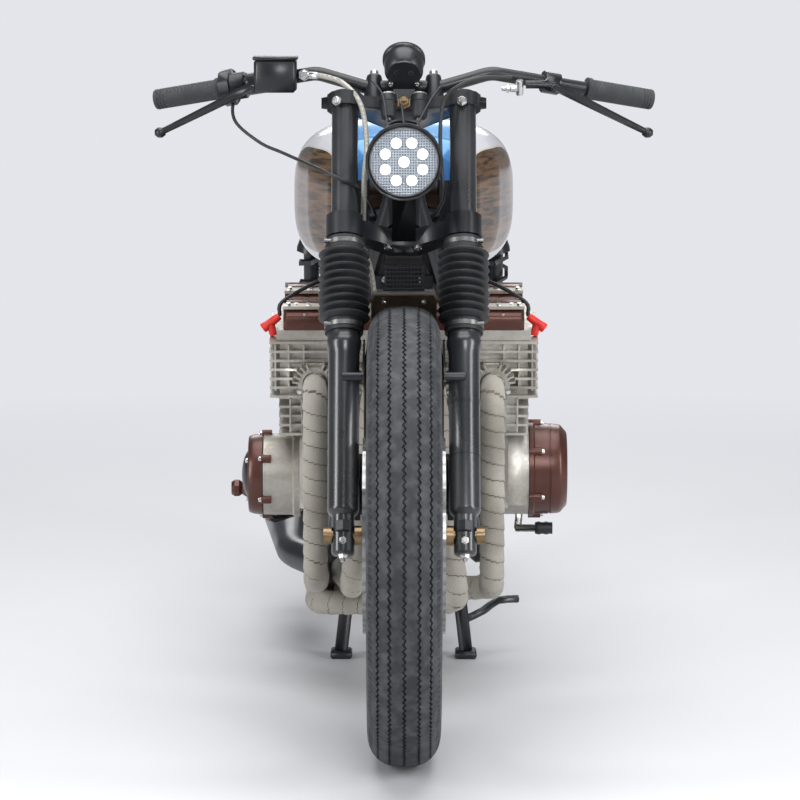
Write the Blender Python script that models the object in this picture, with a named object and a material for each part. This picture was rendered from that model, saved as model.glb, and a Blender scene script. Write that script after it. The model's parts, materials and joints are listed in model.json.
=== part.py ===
"""Brat style motorcycle on its centre stand, in metres, +Z up, front wheel towards -Y, rider's left at +X."""

import math

import bmesh
import bpy
from mathutils import Matrix, Vector

# Clearances
FACE_GAP = 0.0003
PIN_CLEARANCE = 0.0009
MOVING_CLEARANCE = 0.005

# Meshing
SMOOTH_ANGLE = math.radians(35)
WELD_DISTANCE = 1e-6
SIDEWAYS_LIMIT = 0.9
OVERLAP = 0.002

# Wheels
WHEELBASE = 1.42
FRONT_TYRE_RADIUS = 0.3415
FRONT_TYRE_HALF_WIDTH = 0.0545
FRONT_BEAD_RADIUS = 0.2425
REAR_TYRE_RADIUS = 0.335
REAR_TYRE_HALF_WIDTH = 0.060
REAR_BEAD_RADIUS = 0.2295
RIM_HALF_WIDTH = 0.031
RIM_LIP = 0.0025
RIM_LIP_HEIGHT = 0.009
RIM_DEPTH = 0.010
REAR_WHEEL_LIFT = 0.018
SPOKES_PER_WHEEL = 32
SPOKE_RADIUS = 0.0019
HUB_RADIUS = 0.030
HUB_FLANGE_RADIUS = 0.044
HUB_FLANGE_X = 0.030
HUB_FLANGE_THICKNESS = 0.006
AXLE_RADIUS = 0.009
AXLE_SPACER_RADIUS = 0.015
WHEEL_SIDES = 32
HUB_SIDES = 10
SPOKE_SIDES = 3
SPOKE_CROSSING = 0.9
SPOKE_RIM_X = 0.006
SPOKE_RIM_SPREAD = 0.0024
SPOKE_HUB_SPREAD = 0.0025
SPOKE_HUB_INSET = 0.0015
TYRE_WIDEST_SHARE = 0.45
TYRE_CROWN_POINTS = 3
TYRE_SHOULDER = 0.45
TYRE_SQUARENESS = 0.85
AXLE_NUT = 0.012
AXLE_NUT_SHARE = 0.85

# Brakes
DISC_RADIUS = 0.1455
DISC_INNER_RADIUS = 0.100
DISC_X = 0.0585
DISC_THICKNESS = 0.005
DRUM_RADIUS = 0.085
DRUM_WIDTH = 0.045
DRUM_SIDES = 14
CALIPER_WALL = 0.013
CALIPER_START = math.radians(24)
CALIPER_END = math.radians(60)
CALIPER_RISE = 0.020
CALIPER_BITE = 0.038
CALIPER_LUG = 0.018
DISC_SIDES = 24

# Fork and steering head
RAKE = math.radians(27)
FORK_OFFSET = 0.059
FORK_LEG_X = 0.0905
LOWER_LEG_RADIUS = 0.0235
FORK_COVER_RADIUS = 0.0203
AXLE_LUG_RADIUS = 0.017
AXLE_LUG_DROP = 0.030
LOWER_LEG_TOP = 0.3187
GAITER_TOP = 0.4715
GAITER_RADIUS = 0.0393
GAITER_VALLEY_RADIUS = 0.0310
GAITER_CUFF_RADIUS = 0.0290
GAITER_CUFF = 0.019
GAITER_BELLOWS = 9
LOWER_YOKE_BOTTOM = 0.4745
LOWER_YOKE_THICKNESS = 0.035
UPPER_YOKE_BOTTOM = 0.687
UPPER_YOKE_THICKNESS = 0.022
YOKE_CLAMP_RADIUS = 0.0285
YOKE_EAR_X = 0.127
FORK_CAP_HEIGHT = 0.005
STEM_RADIUS = 0.0150
HEAD_TUBE_RADIUS = 0.0265
HEAD_TUBE_CLEARANCE = 0.004
STEM_NUT = 0.010
YOKE_BOSS_X = 0.024
YOKE_RELIEF = 0.004
YOKE_ARM_SHARE = 0.6
GAITER_FOLD_SHARE = 0.5
LEG_SIDES = 12
UPPER_PLATE_RELIEF = 0.002
UPPER_YOKE_FRONT = 0.0

# Handlebar and controls
BAR_RADIUS = 0.011
BAR_HALF_WIDTH = 0.386
BAR_RISE = 0.029
BAR_CLAMP_X = 0.046
RISER_BACK = 0.030
RISER_RADIUS = 0.0165
RISER_TOP_RADIUS = 0.0115
RISER_HEIGHT = 0.052
GRIP_LENGTH = 0.112
GRIP_RADIUS = 0.0163
GRIP_END = 0.004
LEVER_RADIUS = 0.0062
LEVER_BALL_RADIUS = 0.0085
PERCH_RADIUS = 0.0175
PERCH_WIDTH = 0.026
HOUSING_RADIUS = 0.0290
HOUSING_WIDTH = 0.017
RESERVOIR_WIDTH = 0.066
RESERVOIR_DEPTH = 0.046
RESERVOIR_HEIGHT = 0.052
RESERVOIR_BEVEL = 0.005
RESERVOIR_LIP = 0.002
HOUSING_BARREL = 0.022
BAR_SIDES = 8
BAR_FLAT = 0.058
BAR_STRAIGHT = 0.268
BAR_BEND = 0.045
BAR_PULL_BACK = 0.088
BAR_END_DROP = 0.024
BAR_END_DIRECTION = Vector((0.93, 0.30, -0.17)).normalized()
LEVER_PIVOT_INWARD = 0.168
LEVER_BALL_INWARD = 0.006
LEVER_REACH = 0.045
LEVER_DROP = 0.050
ADJUSTER_LENGTH = 0.040

# Headlight and speedometer
HEADLIGHT_RADIUS = 0.056
HEADLIGHT_DEPTH = 0.145
HEADLIGHT_HEIGHT = 0.8855
HEADLIGHT_SHELL_LENGTH = 0.082
LENS_THICKNESS = 0.006
SPEEDOMETER_RADIUS = 0.033
SPEEDOMETER_DEPTH = 0.335
SPEEDOMETER_HEIGHT = 1.019
SPEEDOMETER_LENGTH = 0.042
SPEEDOMETER_TILT = math.radians(35)
SPEEDOMETER_STAY_X = 0.014
SPEEDOMETER_STAY_BACK = 0.008
HEADLIGHT_STAY_X = 0.018
HEADLIGHT_SIDES = 24

# Front fender
FRONT_FENDER_CLEARANCE = 0.018
FENDER_SHEET = 0.003
FRONT_FENDER_HALF_WIDTH = 0.0495
FENDER_STAY_X = 0.0625
FENDER_BOSS_ALONG = 0.246
FENDER_BOSS_RADIUS = 0.011
FENDER_START = math.radians(-2)
FENDER_END = math.radians(75)
FENDER_FLARE_START = math.radians(36)
FENDER_FLARE_END = math.radians(50)
FENDER_STAY_START = math.radians(42)
FENDER_STAY_SPREAD = math.radians(18)
FENDER_LIP = 0.006

# Frame
FRAME_TUBE_RADIUS = 0.014
FRAME_TUBE_SIDES = 8
PIN_SIDES = 8
SEAT_TUBE_RADIUS = 0.0125
BACKBONE_RADIUS = 0.020
BACKBONE_END_DEPTH = 0.845
BACKBONE_END_HEIGHT = 0.748
CRADLE_X = 0.120
CRADLE_HEIGHT = 0.225
CROSS_TUBE_HEIGHT = 0.693
ENGINE_MOUNT_DEPTH = 0.62
ENGINE_MOUNT_TOP = 0.275
TANK_PAD_DEPTHS = (0.50, 0.74)
DOWN_TUBE_PORT_X = 0.0935
DOWN_TUBE_START = 0.36
DOWN_TUBE_SPREAD = 0.6
DOWN_TUBE_UPPER = (0.388, 0.560)
DOWN_TUBE_LOWER = (0.405, 0.320)
DOWN_TUBE_FLARE = 0.007
CRADLE_FRONT_DEPTH = 0.480
DOWN_TUBE_BENDS = (0.10, 0.10, 0.08, 0.06)
BACKBONE_SIDES = 10
UPRIGHT_DEPTH = 0.905
SEAT_RAIL_X = 0.115
SEAT_RAIL_HEIGHT = 0.735
REAR_LOOP_DEPTH = 1.470
SWINGARM_DEPTH = 0.905
SWINGARM_HEIGHT = 0.372
SWINGARM_BOSS_RADIUS = 0.025
SWINGARM_X = 0.118
SWINGARM_WIDTH = 0.034
SWINGARM_TUBE_HEIGHT = 0.048
SWINGARM_PIVOT_HALF = 0.1010

# Shock absorbers
SHOCK_X = 0.163
SHOCK_RADIUS = 0.0275
SHOCK_BODY_RADIUS = 0.0145
SHOCK_COLLAR = 0.030
SHOCK_COIL_RADIUS = 0.0045
SHOCK_COILS = 7
SHOCK_COIL_STEPS = 6
SHOCK_TOP_DEPTH = 1.22
SHOCK_TOP_HEIGHT = 0.702
SHOCK_BOTTOM_DEPTH = 1.335
SHOCK_BOTTOM_HEIGHT = 0.368
SHOCK_PIN_RADIUS = 0.0075
SHOCK_EYE_RADIUS = 0.014
SHOCK_EYE_WIDTH = 0.022

# Centre stand
STAND_DEPTH = 0.835
STAND_HEIGHT = 0.208
STAND_SHAFT_RADIUS = 0.010
STAND_SLEEVE_RADIUS = 0.0170
STAND_SLEEVE_X = 0.084
STAND_SLEEVE_WIDTH = 0.026
STAND_FOOT_X = 0.105
STAND_FOOT_FORWARD = 0.022
STAND_FOOT_LENGTH = 0.050
STAND_FOOT_WIDTH = 0.036
STAND_LEG_RADIUS = 0.012
STAND_BRIDGE_HEIGHT = 0.090

# Engine
CRANK_DEPTH = 0.545
CRANK_HEIGHT = 0.357
CYLINDER_LEAN = math.radians(10)
BORE_SPACING = 0.093
CASE_HALF_WIDTH = 0.166
BLOCK_BASE = 0.085
BLOCK_TOP = 0.150
HEAD_TOP = 0.243
CAM_COVER_TOP = 0.298
CYLINDER_HALF_DEPTH = 0.085
BLOCK_HALF_WIDTH = 0.198
HEAD_HALF_WIDTH = 0.212
CAM_COVER_HALF_WIDTH = 0.190
FIN_THICKNESS = 0.004
FIN_PITCH = 0.0125
FIN_DEPTH = 0.016
PORT_ALONG = 0.180
PORT_COLLAR_RADIUS = 0.030
PORT_COLLAR_LENGTH = 0.018
ALTERNATOR_RADIUS = 0.0735
ALTERNATOR_SEAT_X = 0.200
ALTERNATOR_OUTER_X = 0.262
IGNITION_RADIUS = 0.0655
IGNITION_OUTER_X = 0.2255
IGNITION_CAP_X = 0.2607
COVER_SIDES = 20
FIN_FRONT_SHARE = 0.6
CASE_LOWER_HALF_WIDTH = 0.100
CASE_NOTCH_X = 0.062
CASE_NOTCH_DEPTH = CRANK_DEPTH + 0.190
CASE_RIGHT_NOTCH_DEPTH = CRANK_DEPTH + 0.220
SUMP_DROP = 0.150
CLUTCH_DEPTH = CRANK_DEPTH + 0.145
CLUTCH_HEIGHT = 0.335
CLUTCH_RADIUS = 0.066
CAM_FLANGE = 0.016
INTAKE_ALONG = 0.190
INTAKE_RADIUS = 0.020
INTAKE_END = CYLINDER_HALF_DEPTH + PORT_COLLAR_LENGTH + 0.006
CARBURETTOR_LENGTH = 0.075
FILTER_LENGTH = 0.080
FILTER_HALF_WIDTH = 0.082
FILTER_HALF_HEIGHT = 0.036
FILTER_SQUARENESS = 1.3
COIL_X = 0.032
COIL_DEPTH = 0.55
COIL_HEIGHT = 0.735
COIL_RADIUS = 0.015
COIL_LENGTH = 0.080
PLUG_CAP_X = 0.2095
PLUG_CAP_RADIUS = 0.0085
PLUG_CAP_LENGTH = 0.030
PLUG_LEAD_RADIUS = 0.0035
PLUG_LEAD_HEIGHT = 0.6705

# Exhaust
HEADER_RADIUS = 0.0195
COLLECTOR_RADIUS = 0.044
COLLECTOR_PIPE_RADIUS = 0.027
MUFFLER_RADIUS = 0.062
MUFFLER_WALL = 0.003
MUFFLER_PIPE_SHARE = 0.30
MUFFLER_SIDES = 16
MUFFLER_BENDS = (0.07, 0.12)
MUFFLER_LIP_SHARE = 0.95
HEADER_FRONT_DEPTH = 0.381
HEADER_BOTTOM_DEPTH = 0.400
HEADER_OUTER_LOW = 0.194
HEADER_INNER_LOW = 0.186
HEADER_INNER_LOW_X = 0.083
HEADER_SIDES = 8
HEADER_INSERT = 0.030
HEADER_CROSSINGS = (((0.480, 0.600, 0.186), (0.455, 0.555, 0.158)), ((0.480, 0.600, 0.194), (0.500, 0.605, 0.176)))
COLLECTOR_PIPE_GAP = 0.001
COLLECTOR_PLACES = ((-1, 1), (1, 1), (-1, -1), (1, -1))
HEADER_BENDS = (0.030, 0.060, 0.050, 0.040)
COLLECTOR_X = -0.120
COLLECTOR_DEPTH = 0.640
COLLECTOR_HEIGHT = 0.160
COLLECTOR_LENGTH = 0.090

# Chain
CHAIN_PITCH = 0.015875
CHAIN_X = 0.080
CHAIN_WIDTH = 0.021
CHAIN_LINK_HEIGHT = 0.0145
FRONT_SPROCKET_TEETH = 17
REAR_SPROCKET_TEETH = 41
SPROCKET_DEPTH = CRANK_DEPTH + 0.255
SPROCKET_HEIGHT = 0.370
SPROCKET_THICKNESS = 0.008
SPROCKET_TIP_CLEARANCE = 0.0013
SPROCKET_TOOTH_HEIGHT = 0.006
CHAIN_INNER_SHARE = 0.72

# Tank and seat
TANK_FRONT = 0.425
TANK_REAR = 0.855
TANK_HALF_WIDTH = 0.178
TANK_BOTTOM = 0.681
TANK_TOP = 0.925
TUNNEL_HALF_WIDTH = 0.056
SEAT_REAR = 1.482
SEAT_HALF_WIDTH = 0.122
SEAT_THICKNESS = 0.062
SEAT_GAP = 0.008
SEAT_WIDTHS = ((0, 0.80), (0.05, 0.90), (0.3, 1.0), (0.8, 0.98), (0.95, 0.90), (1, 0.72))
SEAT_HEIGHTS = ((0, 0.80), (0.05, 0.98), (0.5, 0.92), (0.85, 1.08), (0.97, 1.05), (1, 0.85))
TUNNEL_CLEARANCE = 0.012
TANK_RING_POINTS = 20
TANK_SQUARENESS = 1.25
TANK_WIDTHS = ((0, 0.50), (0.06, 0.66), (0.25, 0.86), (0.55, 1.0), (0.85, 0.90), (1, 0.62))
TANK_TOP_DROPS = ((0, 0.045), (0.06, 0.022), (0.3, 0.0), (0.6, 0.012), (0.85, 0.045), (1, 0.080))
TANK_BOTTOM_RISES = ((0, 0.030), (0.06, 0.012), (0.2, 0.0), (0.70, 0.0), (0.86, 0.085), (1, 0.092))
FILLER_DEPTH = 0.58
FILLER_RADIUS = 0.030
FILLER_SINK = 0.006
FILLER_TILT = math.radians(2)
BATTERY_HALF_WIDTH = 0.085
BATTERY_HEIGHT = 0.165
REAR_FENDER_CLEARANCE = 0.010
REAR_FENDER_START = math.radians(-28)
REAR_FENDER_END = math.radians(48)
TAIL_LAMP_RADIUS = 0.026

# Foot controls and regulator
PEG_DEPTH = SPROCKET_DEPTH
PEG_HEIGHT = 0.290
PEG_MOUNT_X = 0.150
PEG_RADIUS = 0.0125
PEG_PLAIN_LENGTH = 0.030
PEG_TOOTH_PITCH = 0.018
PEG_OUTER_X = {"left": 0.270, "right": 0.293}
PEDAL_PIVOT_HEIGHT = 0.256
SHIFT_SHAFT_DEPTH = CLUTCH_DEPTH
SHIFT_SHAFT_HEIGHT = 0.325
SHIFT_TOE_DEPTH = SHIFT_SHAFT_DEPTH - 0.140
SHIFT_TOE_HEIGHT = 0.263
REGULATOR_HALF_WIDTH = 0.032
REGULATOR_HALF_HEIGHT = 0.029
REGULATOR_HEIGHT = 0.686
REGULATOR_BACK_DEPTH = 0.315
REGULATOR_THICKNESS = 0.023
REGULATOR_FINS = 11

# Places that follow from the sizes above
LOWER_LEG_FLAT = LOWER_LEG_RADIUS * math.cos(math.pi / LEG_SIDES)
SEAT_TUBE_FLAT = SEAT_TUBE_RADIUS * math.cos(math.pi / PIN_SIDES)
FRONT_HUB_END = DISC_X + DISC_THICKNESS / 2 + OVERLAP / 2
FRONT_AXLE_Y = (FRONT_TYRE_RADIUS - WHEELBASE - REAR_TYRE_RADIUS) / 2
REAR_AXLE_HEIGHT = REAR_TYRE_RADIUS + REAR_WHEEL_LIFT
FORK_AXIS = Vector((0, math.sin(RAKE), math.cos(RAKE)))
FORK_BACK = Vector((0, math.cos(RAKE), -math.sin(RAKE)))
X_AXIS = Vector((1, 0, 0))
Z_AXIS = Vector((0, 0, 1))
FORWARD = Vector((0, -1, 0))


def spot(x, depth, height):
    """A point given by its distance behind the front axle and its height above the floor."""
    return Vector((x, FRONT_AXLE_Y + depth, height))


def on_fork(x, along, back=0.0):
    """A point in the slanted plane of the fork: along its legs from the axle, and behind them."""
    return spot(x, 0, FRONT_TYRE_RADIUS) + FORK_AXIS * along + FORK_BACK * back


def on_cylinder(x, along, across=0.0):
    """A point by the leaning cylinders: along their axis from the crankshaft, and behind that axis."""
    up = Vector((0, -math.sin(CYLINDER_LEAN), math.cos(CYLINDER_LEAN)))
    rearward = Vector((0, math.cos(CYLINDER_LEAN), math.sin(CYLINDER_LEAN)))
    return spot(x, CRANK_DEPTH, CRANK_HEIGHT) + up * along + rearward * across


FRONT_AXLE = spot(0, 0, FRONT_TYRE_RADIUS)
REAR_AXLE = spot(0, WHEELBASE, REAR_AXLE_HEIGHT)
STEERING_CENTRE = on_fork(0, (LOWER_YOKE_BOTTOM + UPPER_YOKE_BOTTOM) / 2, FORK_OFFSET)
SIDES = {"left": 1, "right": -1}
MUFFLER_CORNERS = [spot(-0.120, 0.772, 0.160), spot(-0.188, 0.900, 0.165), spot(-0.194, 1.280, 0.190)]


# Scene, materials and objects


def clear_scene():
    for obj in list(bpy.data.objects):
        bpy.data.objects.remove(obj, do_unlink=True)


def make_material(name, colour, roughness, metallic):
    made = bpy.data.materials.new(name)
    made.use_nodes = True
    shader = made.node_tree.nodes["Principled BSDF"]
    shader.inputs["Base Color"].default_value = (*colour, 1)
    shader.inputs["Roughness"].default_value = roughness
    shader.inputs["Metallic"].default_value = metallic
    return made


def make_body(name, place, parent=None):
    """An empty that carries one moving body, with its origin on the body's joint."""
    empty = bpy.data.objects.new(name, None)
    bpy.context.collection.objects.link(empty)
    empty.parent = parent
    empty.location = place - (world_place(parent) if parent else Vector())
    return empty


def world_place(obj):
    place = obj.location.copy()
    return place + world_place(obj.parent) if obj.parent else place


def add_piece(name, mesh, look, body, origin=None):
    """Makes a mesh that was drawn in the world's frame into a named piece of a body."""
    origin = world_place(body) if origin is None else origin
    mesh.transform(Matrix.Translation(-origin))
    mesh.name = name
    colour, roughness, metallic = look
    mesh.materials.clear()
    mesh.materials.append(make_material(name, colour, roughness, metallic))
    mesh.shade_smooth()
    mesh.set_sharp_from_angle(angle=SMOOTH_ANGLE)
    obj = bpy.data.objects.new(name, mesh)
    bpy.context.collection.objects.link(obj)
    obj.parent = body
    obj.location = origin - world_place(body)
    return obj


# Shapes, each drawn as one closed mesh in the world's frame


def loft(rings, closed=False):
    """Skins rings of equally many points. The ends are capped, or joined if the loft closes on itself."""
    shape = bmesh.new()
    rows = [[shape.verts.new(point) for point in ring] for ring in rings]
    count = len(rows[0])
    pairs = list(zip(rows, rows[1:] + rows[:1] if closed else rows[1:]))
    for row, following in pairs:
        for i in range(count):
            k = (i + 1) % count
            shape.faces.new((row[i], row[k], following[k], following[i]))
    if not closed:
        shape.faces.new(rows[0])
        shape.faces.new(rows[-1])
    return as_mesh(shape)


def as_mesh(shape):
    bmesh.ops.remove_doubles(shape, verts=shape.verts, dist=WELD_DISTANCE)
    bmesh.ops.recalc_face_normals(shape, faces=shape.faces)
    mesh = bpy.data.meshes.new("shape")
    shape.to_mesh(mesh)
    shape.free()
    return mesh


def basis_of(axis):
    """Two unit vectors at right angles to an axis and to each other."""
    axis = axis.normalized()
    guide = X_AXIS if abs(axis.dot(X_AXIS)) < SIDEWAYS_LIMIT else Vector((0, 0, 1))
    first = axis.cross(guide).normalized()
    return first, axis.cross(first).normalized()


def circle(centre, axis, radius, sides, squash=1.0):
    first, second = basis_of(axis)
    turns = [2 * math.pi * (i + 0.5) / sides for i in range(sides)]
    return [centre + first * radius * squash * math.cos(a) + second * radius * math.sin(a) for a in turns]


def turned(origin, axis, profile, sides):
    """A body turned about an axis, from (distance along it, radius) pairs, with flat ends."""
    axis = axis.normalized()
    return loft([circle(origin + axis * along, axis, radius, sides) for along, radius in profile])


def turned_ring(origin, axis, profile, sides, phase=0.5):
    """A ring turned about an axis, from a closed profile that stays off the axis."""
    first, second = basis_of(axis)
    axis = axis.normalized()
    rings = []
    for i in range(sides):
        angle = 2 * math.pi * (i + phase) / sides
        outward = first * math.cos(angle) + second * math.sin(angle)
        rings.append([origin + axis * along + outward * radius for along, radius in profile])
    return loft(rings, closed=True)


def bore_over(radius, sides):
    """The corner radius of a many-sided bore whose flats just clear a round bar."""
    return (radius + FACE_GAP) / math.cos(math.pi / sides)


def cylinder(start, end, radius, sides=16, end_radius=None):
    return loft([
        circle(start, end - start, radius, sides),
        circle(end, end - start, radius if end_radius is None else end_radius, sides),
    ])


def smooth_route(points, steps=4):
    """Points along the smooth curve through a few chosen ones."""
    padded = [points[0] * 2 - points[1], *points, points[-1] * 2 - points[-2]]
    route = []
    for before, start, end, after in zip(padded, padded[1:], padded[2:], padded[3:]):
        for i in range(steps):
            route.append(catmull(before, start, end, after, i / steps))
    return route + [points[-1]]


def rounded_route(corners, bends, steps=2):
    """Straight runs between corners, each corner rounded by an arc of its own radius."""
    route = [corners[0]]
    for before, corner, after, bend in zip(corners, corners[1:], corners[2:], bends):
        back, ahead = (before - corner).normalized(), (after - corner).normalized()
        half_opening = back.angle(ahead) / 2
        reach = bend / math.tan(half_opening)
        centre = corner + (back + ahead).normalized() * (bend / math.sin(half_opening))
        start = corner + back * reach - centre
        turn = math.pi - 2 * half_opening
        hinge = back.cross(ahead)
        for i in range(steps + 1):
            route.append(centre + Matrix.Rotation(-turn * i / steps, 3, hinge) @ start)
    return route + [corners[-1]]


def catmull(before, start, end, after, t):
    return 0.5 * (
        start * 2
        + (end - before) * t
        + (before * 2 - start * 5 + end * 4 - after) * t**2
        + (start * 3 - before - end * 3 + after) * t**3
    )


def tube(points, radius, sides=10, radii=None, squash=1.0):
    """A round bar along a route, with its section carried along without twisting."""
    radii = radii or [radius] * len(points)
    rings = []
    first = None
    for i, point in enumerate(points):
        ahead = Vector()
        if i > 0:
            ahead += (point - points[i - 1]).normalized()
        if i + 1 < len(points):
            ahead += (points[i + 1] - point).normalized()
        ahead.normalize()
        first = basis_of(ahead)[0] if first is None else (first - ahead * first.dot(ahead)).normalized()
        second = ahead.cross(first)
        turns = [2 * math.pi * (k + 0.5) / sides for k in range(sides)]
        rings.append([
            point + first * radii[i] * squash * math.cos(a) + second * radii[i] * math.sin(a) for a in turns
        ])
    return loft(rings)


def slab(outline, thickness):
    """An outline of points in one plane, given thickness along a vector."""
    return loft([outline, [point + thickness for point in outline]])


def box(low, high):
    """An upright box between two corners."""
    corners = [(low.x, low.y), (high.x, low.y), (high.x, high.y), (low.x, high.y)]
    return loft([[Vector((x, y, z)) for x, y in corners] for z in (low.z, high.z)])


def bevelled(mesh, width, segments=1, angle=math.radians(40)):
    obj = helper(mesh)
    bevel = obj.modifiers.new("bevel", "BEVEL")
    bevel.width = width
    bevel.segments = segments
    bevel.limit_method = "ANGLE"
    bevel.angle_limit = angle
    return evaluated(obj)


def helper(mesh):
    obj = bpy.data.objects.new("helper", mesh)
    bpy.context.collection.objects.link(obj)
    obj.hide_render = True
    obj.display_type = "WIRE"
    return obj


def evaluated(obj, others=()):
    """The mesh that an object's modifiers give. The object and its helpers go."""
    graph = bpy.context.evaluated_depsgraph_get()
    mesh = bpy.data.meshes.new_from_object(obj.evaluated_get(graph))
    for spent in (obj, *others):
        bpy.data.objects.remove(spent, do_unlink=True)
    return mesh


def combine(first, others, operation):
    obj = helper(first)
    tools = [helper(mesh) for mesh in others]
    for tool in tools:
        boolean = obj.modifiers.new(operation.lower(), "BOOLEAN")
        boolean.operation = operation
        boolean.solver = "EXACT"
        boolean.object = tool
    return evaluated(obj, tools)


def joined(first, *others):
    return combine(first, others, "UNION")


def cut(first, *others):
    return combine(first, others, "DIFFERENCE")


def both_sides(points):
    """A route and its mirror image, as two lists."""
    return points, [Vector((-point.x, point.y, point.z)) for point in points]


# Looks: colour, roughness, metallic

SATIN_BLACK = ((0.012, 0.014, 0.018), 0.38, 0.3)
FORK_BLACK = ((0.020, 0.024, 0.034), 0.35, 0.5)
RUBBER = ((0.030, 0.031, 0.034), 0.75, 0.0)
TYRE_RUBBER = ((0.045, 0.048, 0.054), 0.80, 0.0)
CAST_ALLOY = ((0.52, 0.50, 0.47), 0.45, 0.9)
BROWN_METAL = ((0.115, 0.035, 0.024), 0.40, 0.7)
BRONZE = ((0.42, 0.27, 0.12), 0.40, 1.0)
STEEL = ((0.60, 0.60, 0.60), 0.30, 1.0)
RED_CAP = ((0.60, 0.03, 0.02), 0.45, 0.0)
HEADER_WRAP = ((0.42, 0.39, 0.34), 0.90, 0.0)
PEARL_PAINT = ((0.70, 0.71, 0.74), 0.25, 0.3)
SEAT_COVER = ((0.045, 0.025, 0.016), 0.60, 0.0)
LAMP_GLASS = ((0.85, 0.87, 0.90), 0.08, 0.0)
RED_GLASS = ((0.45, 0.01, 0.01), 0.12, 0.0)


# Wheels


def tyre_profile(outer, half_width, bead):
    """The section from the bead inside the rim's lip, over the widest place, to the rounded crown."""
    seat = RIM_HALF_WIDTH - RIM_LIP - FACE_GAP * 2
    lip = bead + RIM_LIP_HEIGHT + FACE_GAP * 2
    middle = bead + (outer - bead) * TYRE_WIDEST_SHARE
    shoulder = (half_width * 0.5 + seat * 0.5, lip + (middle - lip) * TYRE_SHOULDER)
    half = [(seat, bead), (RIM_HALF_WIDTH - FACE_GAP * 2, lip), shoulder]
    for i in range(TYRE_CROWN_POINTS):
        angle = math.pi / 2 * i / TYRE_CROWN_POINTS
        across = half_width * math.cos(angle) ** TYRE_SQUARENESS
        half.append((across, middle + (outer - middle) * math.sin(angle) ** TYRE_SQUARENESS))
    return half + [(0, outer)] + [(-across, radius) for across, radius in reversed(half)]


def make_tyre(centre, outer, half_width, bead):
    return turned_ring(centre, X_AXIS, tyre_profile(outer, half_width, bead + FACE_GAP), WHEEL_SIDES, 0)


def make_rim(centre, bead):
    """A rim with a sharp lip at each side of the tyre's bead and a dropped middle."""
    half = [(RIM_HALF_WIDTH / 2, bead - RIM_DEPTH), (RIM_HALF_WIDTH, bead - RIM_LIP)]
    half += [(RIM_HALF_WIDTH, bead + RIM_LIP_HEIGHT), (RIM_HALF_WIDTH - RIM_LIP, bead)]
    return turned_ring(centre, X_AXIS, half + [(-x, radius) for x, radius in reversed(half)], WHEEL_SIDES, 0)


def make_spokes(centre, bead, flange_radius, flange_x):
    """Crossed spokes from both hub flanges to the middle of the rim, those of each lean in a plane of their own."""
    spokes = []
    step = 2 * math.pi / SPOKES_PER_WHEEL
    for i in range(SPOKES_PER_WHEEL):
        side = 1 if i % 2 else -1
        family = 1 if i % 4 < 2 else -1
        foot_x = side * (flange_x - SPOKE_HUB_INSET + family * SPOKE_HUB_SPREAD)
        head_x = side * (SPOKE_RIM_X + family * SPOKE_RIM_SPREAD)
        foot_radius = flange_radius - HUB_FLANGE_THICKNESS
        foot = centre + wheel_point(foot_x, foot_radius, (i + 0.5) * step + SPOKE_CROSSING * family)
        head = centre + wheel_point(head_x, bead - RIM_DEPTH / 2, (i + 0.5) * step)
        spokes.append(cylinder(foot, head, SPOKE_RADIUS, SPOKE_SIDES))
    return spokes


def wheel_point(x, radius, angle):
    return Vector((x, radius * math.sin(angle), radius * math.cos(angle)))


def hub_profile(half_width, flange_x, flange_radius, bore):
    """Outer outline of a hub, closed along its bore."""
    inner_x = flange_x - HUB_FLANGE_THICKNESS
    outer_x = flange_x + HUB_FLANGE_THICKNESS / 2
    return [
        (-half_width, bore),
        (-half_width, HUB_RADIUS),
        (-outer_x, HUB_RADIUS),
        (-outer_x, flange_radius),
        (-inner_x, flange_radius),
        (-inner_x, HUB_RADIUS - HUB_FLANGE_THICKNESS),
        (inner_x, HUB_RADIUS - HUB_FLANGE_THICKNESS),
        (inner_x, flange_radius),
        (outer_x, flange_radius),
        (outer_x, HUB_RADIUS),
        (half_width, HUB_RADIUS),
        (half_width, bore),
    ]


def make_disc(side):
    """A brake disc on the end of the front hub."""
    x = side * DISC_X
    half = DISC_THICKNESS / 2
    return turned_ring(FRONT_AXLE, X_AXIS, [
        (x - half, HUB_RADIUS - OVERLAP),
        (x - half, DISC_RADIUS),
        (x + half, DISC_RADIUS),
        (x + half, HUB_RADIUS - OVERLAP),
    ], DISC_SIDES)


def make_front_wheel(body):
    rim = make_rim(FRONT_AXLE, FRONT_BEAD_RADIUS)
    bore = AXLE_RADIUS + PIN_CLEARANCE
    hub = turned_ring(
        FRONT_AXLE, X_AXIS, hub_profile(FRONT_HUB_END, HUB_FLANGE_X, HUB_FLANGE_RADIUS, bore), HUB_SIDES
    )
    spokes = make_spokes(FRONT_AXLE, FRONT_BEAD_RADIUS, HUB_FLANGE_RADIUS, HUB_FLANGE_X)
    wheel = joined(rim, hub, *spokes, make_disc(1), make_disc(-1))
    add_piece("front_wheel", wheel, CAST_ALLOY, body)
    tyre = make_tyre(FRONT_AXLE, FRONT_TYRE_RADIUS, FRONT_TYRE_HALF_WIDTH, FRONT_BEAD_RADIUS)
    add_piece("front_tyre", tyre, TYRE_RUBBER, body)


def sprocket(centre, teeth, bore, thickness):
    """A toothed plate whose tips stay inside the chain that runs round it."""
    tip = teeth * CHAIN_PITCH / (2 * math.pi) - CHAIN_LINK_HEIGHT / 2 - SPROCKET_TIP_CLEARANCE
    root = tip - SPROCKET_TOOTH_HEIGHT
    outline = []
    for i in range(teeth):
        for share, radius in ((-0.25, root), (0.25, tip)):
            outline.append(centre + wheel_point(0, radius, 2 * math.pi * (i + share) / teeth))
    shift = X_AXIS * thickness
    plate = slab([point - shift / 2 for point in outline], shift)
    return cut(plate, cylinder(centre - shift, centre + shift, bore, HUB_SIDES))


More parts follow.
